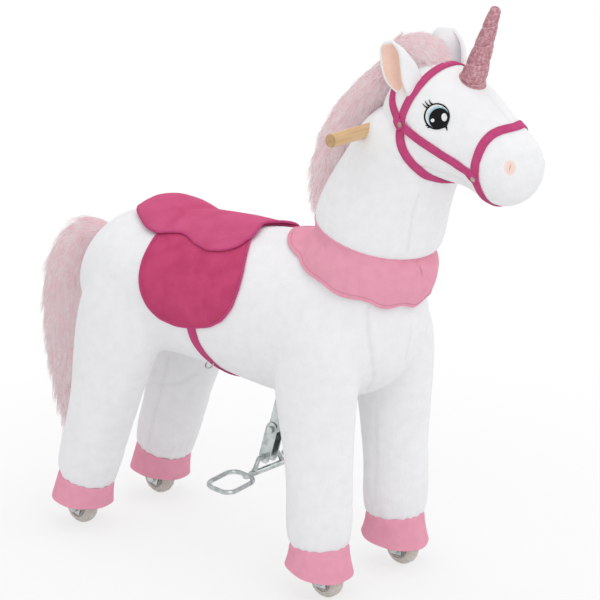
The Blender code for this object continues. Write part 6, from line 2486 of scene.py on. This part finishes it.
@dataclass
class Feet:
    """The felt cuffs and the wheels below them."""

    cuff_height: float = 0.0535
    cuff_top: float = 0.0436
    # Each pair's hem radius and how far back its cuffs sit.
    cuff_sizes: tuple[Pair, Pair] = ((0.0508, 0.0), (0.0475, 0.0045))
    hem_rise: float = 0.0135
    hem_tilt: float = 0.17
    # The wheels' closed sections in millimetres, along and away from the axle.
    tread: Table = (
        (-12.0, 16.4), (-12.0, 19.5), (-11.2, 21.8), (-9.4, 23.6), (-7.6, 25.2), (-5.4, 26.4), (-3.0, 26.95),
        (-0.9, 27.0), (-0.5, 26.5), (0.5, 26.5), (0.9, 27.0), (3.0, 26.95), (5.4, 26.4), (7.6, 25.2), (9.4, 23.6),
        (11.2, 21.8), (12.0, 19.5), (12.0, 16.4), (0.0, 16.2),
    )
    hub: Table = (
        (-11.8, 4.4), (-11.8, 8.2), (-10.8, 8.8), (-8.2, 9.2), (-7.6, 13.4), (-9.6, 14.2), (-10.4, 15.0),
        (-10.4, 16.0), (10.4, 16.0), (10.4, 15.0), (9.6, 14.2), (7.6, 13.4), (8.2, 9.2), (10.8, 8.8), (11.8, 8.2),
        (11.8, 4.4),
    )
    rib: tuple[float, float, float] = (2.4 * MM, 2.0 * MM, 6.4 * MM)
    ribs: int = 6

    def cuff(self, leg: LegShape, side: Side) -> None:
        """A flared cuff with a gathered top and a turned hem.

        Args:
            leg: The leg that it is sewn to.
            side: Which side.
        """
        top = self.cuff_height
        hem, shift = self.cuff_sizes[LEGS.index(leg)]
        phase = 1.3 * side.value + leg.axle_y * 9

        def place(u: float, v: float) -> Vector:
            """The cuff's point, from its share round and its share up.

            Args:
                u: The share round.
                v: The share up.

            Returns:
                The point.
            """
            turn, down = TURN * u, 1 - v
            normal = leg.up.lerp(Z_AXIS, min(1.0, down * 1.05)).normalized()
            back = normal.cross(X_AXIS)
            radius = self.cuff_top + (hem - self.cuff_top) * (0.35 * down + 0.65 * down**2)
            radius -= 1.6 * MM * bell(down, 0.07)
            radius += 0.5 * MM * math.cos(turn * 22 + math.sin(turn * 3) * 2) * (1 - down) ** 4
            radius += (0.9 * MM * math.sin(turn * 3 + phase) + 0.6 * MM * math.sin(turn * 7 - phase)) * down**2
            radius -= 0.55 * MM * bell(down - 0.87, 0.018)
            drop = 1.1 * MM * math.sin(turn * 2 + phase) * down - self.hem_tilt * radius * math.sin(turn) * down
            centre = leg.at(top + (self.hem_rise - top) * down, shift)
            around = Vector((radius * math.cos(turn), 0, 0)) + back * radius * math.sin(turn)
            return side.mirrored(centre + around - Z_AXIS * drop)

        label = f"{leg.end}_{side.label}"
        made = Bench.grid(f"hoof_cuff_{label}", 112, 34, place, around=True)
        area = Bench.area(made)
        Bench.outwards(made)
        places = Bench.points(made)
        inside = ((places - places.mean(0))[:, :2] * Bench.normals(made)[:, :2]).sum() < 0
        Bench.modify(made, "SOLIDIFY", thickness=2.4 * MM, offset=1.0 if inside else -1.0, use_rim=True)
        Bench.outwards(made, 60.0)
        Bench.dress(made, PINK_FELT, Slot.FELT, leg.body, [f"cuff_{label}"])

    @staticmethod
    def turned(name: str, section: Table, axle: Vector, sides: int) -> bpy.types.Object:
        """A ring turned round the axle, from its closed section in millimetres.

        Args:
            name: The piece's name.
            section: The section.
            axle: The axle's middle.
            sides: Faces round it.

        Returns:
            The ring.
        """
        outline = [(along * MM, reach * MM) for along, reach in section]
        made = Bench.lathe(name, outline, sides, (axle, X_AXIS, -Z_AXIS, Y_AXIS), closed=True)
        Bench.outwards(made, 40.0)
        return made

    def wheel(self, leg: LegShape, side: Side) -> None:
        """A crowned tyre and a ribbed hub.

        Args:
            leg: The leg that it carries.
            side: Which side.
        """
        axle = side.mirrored((leg.track / 2, leg.axle_y, leg.wheel_radius))
        label = f"{leg.end}_{side.label}"
        body = f"wheel_{label}"
        tyre = self.turned(f"tyre_ring_{label}", self.tread, axle, 56)
        Bench.dress(tyre, TYRE_CAST, Slot.TREAD, body, [f"tyre_{label}"])
        disc = self.turned(f"hub_disc_{label}", self.hub, axle, 48)
        pieces = [disc]
        for index in range(self.ribs):
            for way in (-1, 1):
                Bench.clear()
                bpy.ops.mesh.primitive_cube_add(size=1.0, location=ORIGIN)
                rib = bpy.context.object
                rib.data.transform(Matrix.Diagonal((*self.rib, 1.0)))
                Bench.modify(rib, "BEVEL", width=0.5 * MM, segments=2)
                move = Matrix.Translation(axle) @ Matrix.Rotation(TURN * index / self.ribs, 4, "X")
                rib.data.transform(move @ Matrix.Translation((way * 8.0 * MM, 0.0, 11.6 * MM)))
                pieces.append(rib)
        disc = Bench.joined(pieces, disc.name)
        Bench.soften(disc, 40.0)
        Bench.dress(disc, HUB_CAST, Slot.PLASTIC, body, [f"hub_{label}"])

    def build(self) -> None:
        """Build all four feet."""
        for leg, side in FEET:
            self.cuff(leg, side)
            self.wheel(leg, side)


@dataclass
class Pedals:
    """The welded foot loops, the bar and the bracket, below the CAD's own hanger and arm."""

    bolt: Vector = field(default_factory=lambda: Vector((0.0, 0.005, 0.198)))
    lean: float = math.radians(17)
    bolt_to_eye: float = 0.047
    rod: float = 0.0036
    bar: float = 0.0045
    bar_drop: float = 0.0205
    bar_half: float = 0.0385
    bracket_top: float = 0.022
    bracket_foot: float = 0.033
    loop_x: float = 0.0855
    loop_length: float = 0.072
    loop_depth: float = 0.055
    corner: float = 0.0165
    loop_pitch: float = math.radians(6)
    loop_fall: float = math.radians(5)

    def loop_line(self, centre: Vector) -> list[Vector]:
        """The middle line of a foot loop.

        Args:
            centre: The loop's middle.

        Returns:
            The line's points.
        """
        half_x = (self.loop_length - 2 * self.rod) / 2 - self.corner
        half_y = (self.loop_depth - 2 * self.rod) / 2 - self.corner
        line = []
        for quarter, (side_x, side_y) in enumerate(((1, 1), (-1, 1), (-1, -1), (1, -1))):
            for share in steps(13):
                turn = math.pi / 2 * (quarter + share)
                x, y = side_x * half_x + self.corner * math.cos(turn), side_y * half_y + self.corner * math.sin(turn)
                flat = Vector((x, y, 0))
                flat.z = flat.y * math.tan(self.loop_pitch) - flat.x * math.copysign(math.tan(self.loop_fall), centre.x)
                line.append(centre + flat)
        return line

    def build(self) -> None:
        """Build the pedals."""
        down = Vector((0.0, math.sin(self.lean), -math.cos(self.lean)))
        eye = self.bolt + down * self.bolt_to_eye
        middle = eye - Z_AXIS * self.bar_drop
        top, foot = X_AXIS * self.bracket_top, X_AXIS * self.bracket_foot
        rise, low, inner = Z_AXIS * self.bar * 0.4, Z_AXIS * 1.5 * MM, X_AXIS * 1.5 * MM
        left = [middle - foot + rise, eye - top - low, eye - top + inner]
        right = [eye + top - inner, eye + top - low, middle + foot + rise]
        ends = [middle - X_AXIS * self.bar_half, middle + X_AXIS * self.bar_half]
        pieces = [
            Bench.tube("bar", ends, self.bar, False, 6),
            Bench.tube("bracket", left + right, self.rod, False, 6),
        ]
        stub = self.loop_x - self.loop_length / 2 + self.rod * 1.5
        for way in (-1, 1):
            stub_line = [middle + X_AXIS * way * 0.03, middle + X_AXIS * way * stub]
            pieces.append(Bench.tube("stub", stub_line, self.rod, False, 6))
            for spot in (self.bar_half, stub - self.rod):
                pieces.append(self.weld_bead(middle + X_AXIS * way * spot, self.bar * 1.12))
            joint = middle + X_AXIS * way * self.bracket_foot + Z_AXIS * self.bar * 0.8
            pieces.append(self.weld_bead(joint, self.rod * 1.25))
        bar = Bench.joined(pieces, "pedal_bar_and_bracket")
        Bench.dress(bar, ZINC, Slot.STEEL, Body.PEDALS, ["pedal_bar"])
        for side in Side:
            centre = middle + X_AXIS * self.loop_x * side.value
            loop = Bench.tube(f"foot_loop_rod_{side.label}", self.loop_line(centre), self.rod, True, 6)
            Bench.dress(loop, ZINC, Slot.STEEL, Body.PEDALS, [f"foot_loop_{side.label}"])

    @staticmethod
    def weld_bead(centre: Vector, radius: float) -> bpy.types.Object:
        """A lumpy bead of weld round a joint.

        Args:
            centre: The bead's middle.
            radius: Its radius.

        Returns:
            The bead.
        """
        Bench.clear()
        bpy.ops.mesh.primitive_uv_sphere_add(segments=18, ring_count=10, radius=radius, location=ORIGIN)
        bead = bpy.context.object
        places = Bench.points(bead)
        lump = 1 + 0.05 * np.sin(places[:, 1] / radius * 9) * np.cos(places[:, 2] / radius * 8)
        places *= lump[:, None] * np.array((0.62, 1.0, 1.0))
        Bench.move(bead, places + row(centre))
        Bench.soften(bead)
        return bead


@dataclass
class HairMass:
    """Long pile: a stuffed base, and tapering strands combed over it."""

    name: str
    line: Sequence[Vector]
    half_sizes: Sequence[Pair]
    count: int
    length: float
    body: Body
    seed: int
    lift: float
    droop: float
    layers: int = 1
    thick: float = 1.0 * MM
    base_share: float = 0.86
    ragged: float = 0.45
    joints: int = 5

    def rings(self) -> list[Ring]:
        """The base's rings along its line.

        Returns:
            The rings.
        """
        found = []
        last = len(self.line) - 1
        for index, (place, (half_width, half_depth)) in enumerate(zip(self.line, self.half_sizes)):
            along = (self.line[min(index + 1, last)] - self.line[max(index - 1, 0)]).normalized()
            size = (half_width * self.base_share, half_depth * self.base_share)
            found.append(Ring(place.y, place.z, *size, math.atan2(-along.y, along.z), place.x))
        return found

    def build(self, avoid: Skin | None = None) -> None:
        """Build the base and comb the strands over it, with their roots outside of a surface.

        Args:
            avoid: A surface that the roots stay outside of.
        """
        base = stuffed(f"{self.name}_base", self.rings(), 16)
        Bench.note(base, "reach", np.full(len(base.data.vertices), 0.30))
        Bench.smooth(base)
        Bench.dress(base, LONG_PILE, Slot.HAIR, self.body, [self.name])
        for layer in range(self.layers):
            strands = self.strands(base, avoid, layer)
            Bench.dress(strands, LONG_PILE, Slot.HAIR, self.body)
            strands.visible_shadow = False
            strands.visible_diffuse = False

    def roots(self, base: bpy.types.Object, rng: np.random.Generator) -> tuple[np.ndarray, np.ndarray]:
        """Random places spread evenly over the base, and the normals there.

        Args:
            base: The object that the strands are rooted on.
            rng: The generator.

        Returns:
            The roots and the normals.
        """
        mesh = base.data
        mesh.calc_loop_triangles()
        places, normals = Bench.points(base), Bench.normals(base)
        tris = np.array([tuple(t.vertices) for t in mesh.loop_triangles])
        a, b, c = places[tris[:, 0]], places[tris[:, 1]], places[tris[:, 2]]
        area = np.linalg.norm(np.cross(b - a, c - a), axis=1)
        pick = rng.choice(len(tris), self.count, p=area / area.sum())
        u, v = rng.random((2, self.count, 1))
        flip = u + v > 1
        u, v = np.where(flip, 1 - u, u), np.where(flip, 1 - v, v)
        roots = a[pick] * (1 - u - v) + b[pick] * u + c[pick] * v
        out = normals[tris[pick, 0]] * (1 - u - v) + normals[tris[pick, 1]] * u + normals[tris[pick, 2]] * v
        return roots, out / np.linalg.norm(out, axis=1)[:, None]

    def strands(self, base: bpy.types.Object, avoid: Skin | None, layer: int) -> bpy.types.Object:
        """Grow one layer of strands from the base.

        Args:
            base: The object that the strands are rooted on.
            avoid: A surface that the roots stay outside of.
            layer: Which layer; the second is shorter and fluffier.

        Returns:
            The strands as one mesh.
        """
        rng = np.random.default_rng(self.seed + 100 * layer)
        roots, out = self.roots(base, rng)
        if avoid:
            keep = []
            for root in roots:
                spot, normal = avoid.nearest(Vector(root))
                keep.append((Vector(root) - spot).dot(normal) > -1.0 * MM)
            roots, out = roots[keep], out[keep]
        count = len(roots)
        line = np.array([tuple(p) for p in self.line])
        ways = np.gradient(line, axis=0)
        ways /= np.linalg.norm(ways, axis=1)[:, None]
        nearest = np.linalg.norm(roots[:, None] - line[None], axis=2).argmin(1)
        flow = ways[nearest] + rng.normal(0, 0.10, (count, 3))
        flow[:, 2] -= self.droop
        flow += out * 0.16
        flow /= np.linalg.norm(flow, axis=1)[:, None]
        reach = self.length * (0.62 if layer else 1.0) * (1 - self.ragged * rng.random(count) ** 1.5)
        rise = self.lift * (1.5 if layer else 1.0) * (0.75 + 0.5 * rng.random(count))
        path = [roots - out * 1.2 * MM]
        for joint in range(self.joints):
            share = joint / self.joints
            way = flow + out * (rise * (1 - share) ** 1.3)[:, None] + np.array((0, 0, -0.25 * share))
            way /= np.linalg.norm(way, axis=1)[:, None]
            path.append(path[-1] + way * (reach / self.joints)[:, None])
        path = self.clumped(np.array(path), roots, rng)
        return self.tubes(path, rng, f"{self.name}_strands_{layer + 1}")

    @staticmethod
    def clumped(path: np.ndarray, roots: np.ndarray, rng: np.random.Generator) -> np.ndarray:
        """Draw the strands' tips together in locks.

        Args:
            path: The strands' points, by joint and strand.
            roots: The strands' roots.
            rng: The generator.

        Returns:
            The new points.
        """
        count = len(roots)
        leads = rng.choice(count, max(count // 14, 1), replace=False)
        lead = leads[np.linalg.norm(roots[:, None] - roots[leads][None], axis=2).argmin(1)]
        for joint in range(len(path)):
            share = joint / (len(path) - 1)
            path[joint] += (path[joint][lead] - path[joint]) * 0.55 * share**1.4
        return path

    def tubes(self, path: np.ndarray, rng: np.random.Generator, name: str) -> bpy.types.Object:
        """Give each strand a tapering three-sided body.

        Args:
            path: The strands' points, by joint and strand.
            rng: The generator.
            name: The piece's name.

        Returns:
            The strands as one mesh.
        """
        rows, count = path.shape[:2]
        ways = np.gradient(path, axis=0)
        ways /= np.linalg.norm(ways, axis=2)[:, :, None]
        pick = rng.normal(size=(count, 3))
        width = self.thick * (0.7 + 0.6 * rng.random(count))
        colour = rng.normal(0, 0.13, count)
        points, reach = [], []
        for joint in range(rows - 1):
            share = joint / (rows - 1)
            side = np.cross(ways[joint], pick)
            side /= np.linalg.norm(side, axis=1)[:, None]
            other = np.cross(ways[joint], side)
            half = (width / 2 * (1 - share) ** 0.75)[:, None]
            for turn in spaced(3):
                points.append(path[joint] + (side * math.cos(turn) + other * math.sin(turn)) * half)
                reach.append(np.full(count, share))
        points.append(path[-1])
        reach.append(np.ones(count))
        each = len(points)
        faces = []
        for joint in range(rows - 2):
            for corner in range(3):
                a, b = joint * 3 + corner, joint * 3 + (corner + 1) % 3
                faces.append((a, b, b + 3, a + 3))
        tip, last = each - 1, (rows - 2) * 3
        caps = [(last + corner, last + (corner + 1) % 3, tip) for corner in range(3)] + [(2, 1, 0)]
        starts = (np.arange(count) * each)[:, None, None]
        quads = (np.array(faces)[None] + starts).reshape(-1, 4).tolist()
        tris = (np.array(caps)[None] + starts).reshape(-1, 3).tolist()
        mesh = bpy.data.meshes.new(name)
        mesh.from_pydata(np.array(points).transpose(1, 0, 2).reshape(-1, 3).tolist(), [], quads + tris)
        made = Bench.link(name, mesh)
        Bench.note(made, "reach", np.array(reach).T.reshape(-1))
        Bench.note(made, "tint", np.repeat(colour, each))
        Bench.smooth(made)
        return made


@dataclass
class Hair:
    """The mane, the forelock and the tail."""

    neck: Neck
    surface: Skin
    mane_drop: float = 0.190
    mane_size: Pair = (0.092, 0.052)
    # Each roll's way back and up, or down for the tail, then its width and depth, as shares.
    mane: Table = (
        (0.07, 0.50, 0.30, 0.30), (0.13, 0.49, 0.64, 0.66), (0.28, 0.405, 0.88, 0.88), (0.47, 0.24, 0.98, 0.98),
        (0.68, 0.06, 1.00, 1.00), (0.86, -0.16, 1.00, 1.00), (0.98, -0.40, 0.98, 0.96), (1.04, -0.62, 0.88, 0.84),
        (1.06, -0.78, 0.62, 0.60), (1.06, -0.86, 0.30, 0.32),
    )
    forelock: Table = (
        (0.46, 0.33, 0.50, 0.50), (0.40, 0.41, 0.78, 0.80), (0.32, 0.452, 0.86, 0.92), (0.22, 0.465, 0.84, 0.92),
        (0.13, 0.450, 0.72, 0.78), (0.06, 0.415, 0.52, 0.56), (0.01, 0.385, 0.28, 0.30),
    )
    tail_root: Vector = field(default_factory=lambda: Vector((0.0, 0.3457, 0.452)))
    tail_fall: float = 0.340
    tail_size: Pair = (0.070, 0.080)
    tail: Table = (
        (-0.04, 0.025, 0.30, 0.30), (0.05, 0.008, 0.46, 0.44), (0.13, 0.042, 0.64, 0.62), (0.20, 0.125, 0.84, 0.82),
        (0.235, 0.24, 0.98, 0.98), (0.245, 0.40, 1.00, 1.00), (0.24, 0.56, 0.96, 0.92), (0.225, 0.72, 0.80, 0.76),
        (0.215, 0.86, 0.56, 0.52), (0.21, 0.96, 0.28, 0.28), (0.21, 1.0, 0.10, 0.10),
    )

    @staticmethod
    def roll(table: Table, root: Vector, scale: float, size: Pair, up: int) -> tuple[list[Vector], list[Pair]]:
        """A roll of hair's middle line and half sizes.

        Args:
            table: Its rows of shares.
            root: Where they are measured from.
            scale: The length of a share of 1.
            size: Its full width and depth.
            up: 1 where the second share is upwards, or -1 where it is down.

        Returns:
            The line's points and the half sizes there.
        """
        line = [root + Vector((0, back, rise * up)) * scale for back, rise, *_ in table]
        return line, [(wide * size[0] / 2, deep * size[1] / 2) for *_, wide, deep in table]

    def build(self) -> None:
        """Build all the hair."""
        head = (self.neck.skull, self.mane_drop, self.mane_size, 1)
        mane, forelock = self.roll(self.mane, *head), self.roll(self.forelock, *head)
        tail = self.roll(self.tail, self.tail_root, self.tail_fall, self.tail_size, -1)
        HairMass("mane", *mane, 6600, 0.044, Body.STEERING, 11, 0.26, 0.35, 2).build(self.surface)
        HairMass("forelock", *forelock, 5200, 0.022, Body.STEERING, 12, 0.30, 0.25).build(self.surface)
        HairMass("tail", *tail, 6600, 0.056, Body.TORSO, 13, 0.22, 0.30, 2).build()


class Frame:
    """The CAD nodes that stay in sight or inside, with their own finishes."""

    WOODEN = ("seat_board",)
    BENT = ("pedal_hanger", "pedal_arm")

    def dress(self) -> None:
        """Give every node that is not replaced a detailed material, and bevel the bent ones."""
        for name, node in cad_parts.items():
            if node.hide_render:
                continue
            finish = BOARD_WOOD if name in self.WOODEN else ZINC
            node.data.materials.clear()
            node.data.materials.append(finish.material())
            if name in self.BENT:
                weld = node.modifiers.new("weld", "WELD")
                weld.merge_threshold = 0.01 * MM
                bevel = node.modifiers.new("bevel", "BEVEL")
                bevel.width = 0.5 * MM
                bevel.segments = 2
                bevel.limit_method = "ANGLE"
                bevel.angle_limit = math.radians(40)


class Studio:
    """The plain floor, the soft lights and the photograph's camera."""

    AIM = Vector((0.0, -0.0436, 0.4076))
    AZIMUTH = math.radians(-49.984)
    ELEVATION = math.radians(16.547)
    DISTANCE = 5.0
    LENS = 203.79
    LIT = 0.83
    LAMPS = (
        ("key", (-1.6, -2.6, 2.6), 2.2, 20.0),
        ("top", (0.5, 0.6, 3.2), 2.6, 14.0),
        ("fill", (2.6, -1.4, 1.3), 2.0, 8.0),
    )

    def build(self) -> None:
        """Set up the whole studio."""
        self.camera()
        self.floor()
        self.world()
        self.lights()
        bpy.context.scene.view_settings.view_transform = "Standard"

    @staticmethod
    def point(thing: bpy.types.Object, place: Vector, way: Vector) -> None:
        """Put a camera or a lamp at a place and turn it to look along a way.

        Args:
            thing: The camera or lamp.
            place: Its place.
            way: The way it looks.
        """
        thing.location = place
        thing.rotation_mode = "QUATERNION"
        thing.rotation_quaternion = way.to_track_quat("-Z", "Y")

    def camera(self) -> None:
        """Place the camera at the photograph's angle."""
        data = bpy.data.cameras.new("camera")
        data.lens = self.LENS
        data.sensor_width = 36.0
        level = math.cos(self.ELEVATION)
        away = Vector((math.sin(self.AZIMUTH) * level, -math.cos(self.AZIMUTH) * level, math.sin(self.ELEVATION)))
        camera = Bench.link("camera", data)
        self.point(camera, self.AIM + away * self.DISTANCE, -away)
        bpy.context.scene.camera = camera

    @staticmethod
    def floor() -> None:
        """A pale floor that keeps the shadow near the object and fades to white."""
        Bench.clear()
        bpy.ops.mesh.primitive_plane_add(size=60.0, location=(0.0, 0.0, -0.0005))
        floor = bpy.context.object
        floor.name = "floor"
        board = Board("pale_floor")
        board.shade(Base_Color=(0.86, 0.86, 0.86, 1.0), Roughness=0.9, Specular_IOR_Level=0.1)
        path = board.node("ShaderNodeLightPath").outputs
        away = board.node("ShaderNodeVectorMath", {0: board.place}, operation="LENGTH").outputs["Value"]
        faded = board.spread(away, 0.45, 1.05, 0.70, 1.0)
        seen = board.sum("MAXIMUM", path["Is Camera Ray"], path["Is Glossy Ray"])
        white = board.node("ShaderNodeEmission", {"Color": WHITE, "Strength": 1.0})
        board.show_instead(board.sum("MULTIPLY", faded, seen), white)
        floor.data.materials.append(board.material)

    def world(self) -> None:
        """A white surround: plain white where it is seen, softer where it lights."""
        world = bpy.data.worlds.new("white_studio")
        world.use_nodes = True
        bpy.context.scene.world = world
        tree = world.node_tree
        path = tree.nodes.new("ShaderNodeLightPath")
        mix = tree.nodes.new("ShaderNodeMixShader")
        tree.links.new(path.outputs["Is Camera Ray"], mix.inputs[0])
        seen = tree.nodes.new("ShaderNodeBackground")
        for slot, (shader, strength) in enumerate(((tree.nodes["Background"], self.LIT), (seen, 1.0)), 1):
            shader.inputs["Color"].default_value = WHITE
            shader.inputs["Strength"].default_value = strength
            tree.links.new(shader.outputs[0], mix.inputs[slot])
        tree.links.new(mix.outputs[0], tree.nodes["World Output"].inputs["Surface"])

    def lights(self) -> None:
        """Three large soft lamps, from the front right, from above and from the left."""
        for name, place, size, power in self.LAMPS:
            data = bpy.data.lights.new(name, "AREA")
            data.shape = "DISK"
            data.size = size
            data.energy = power
            self.point(Bench.link(name, data), Vector(place), self.AIM - Vector(place))


def main() -> None:
    """Build the studio and every part of the animal."""
    logging.basicConfig(level=logging.INFO, format="%(name)s %(message)s")
    Studio().build()
    neck = Neck()
    body = StuffedBody()
    body_skin = body.build(neck)
    head_skin = HeadAndNeck(neck).build()
    Bridle(neck, head_skin).build()
    Saddle(body, body_skin).build()
    Collar(neck, body_skin, head_skin).build()
    Feet().build()
    Pedals().build()
    Hair(neck, head_skin).build()
    Frame().dress()
    Bench.clear()


if __name__ == "__main__":
    main()
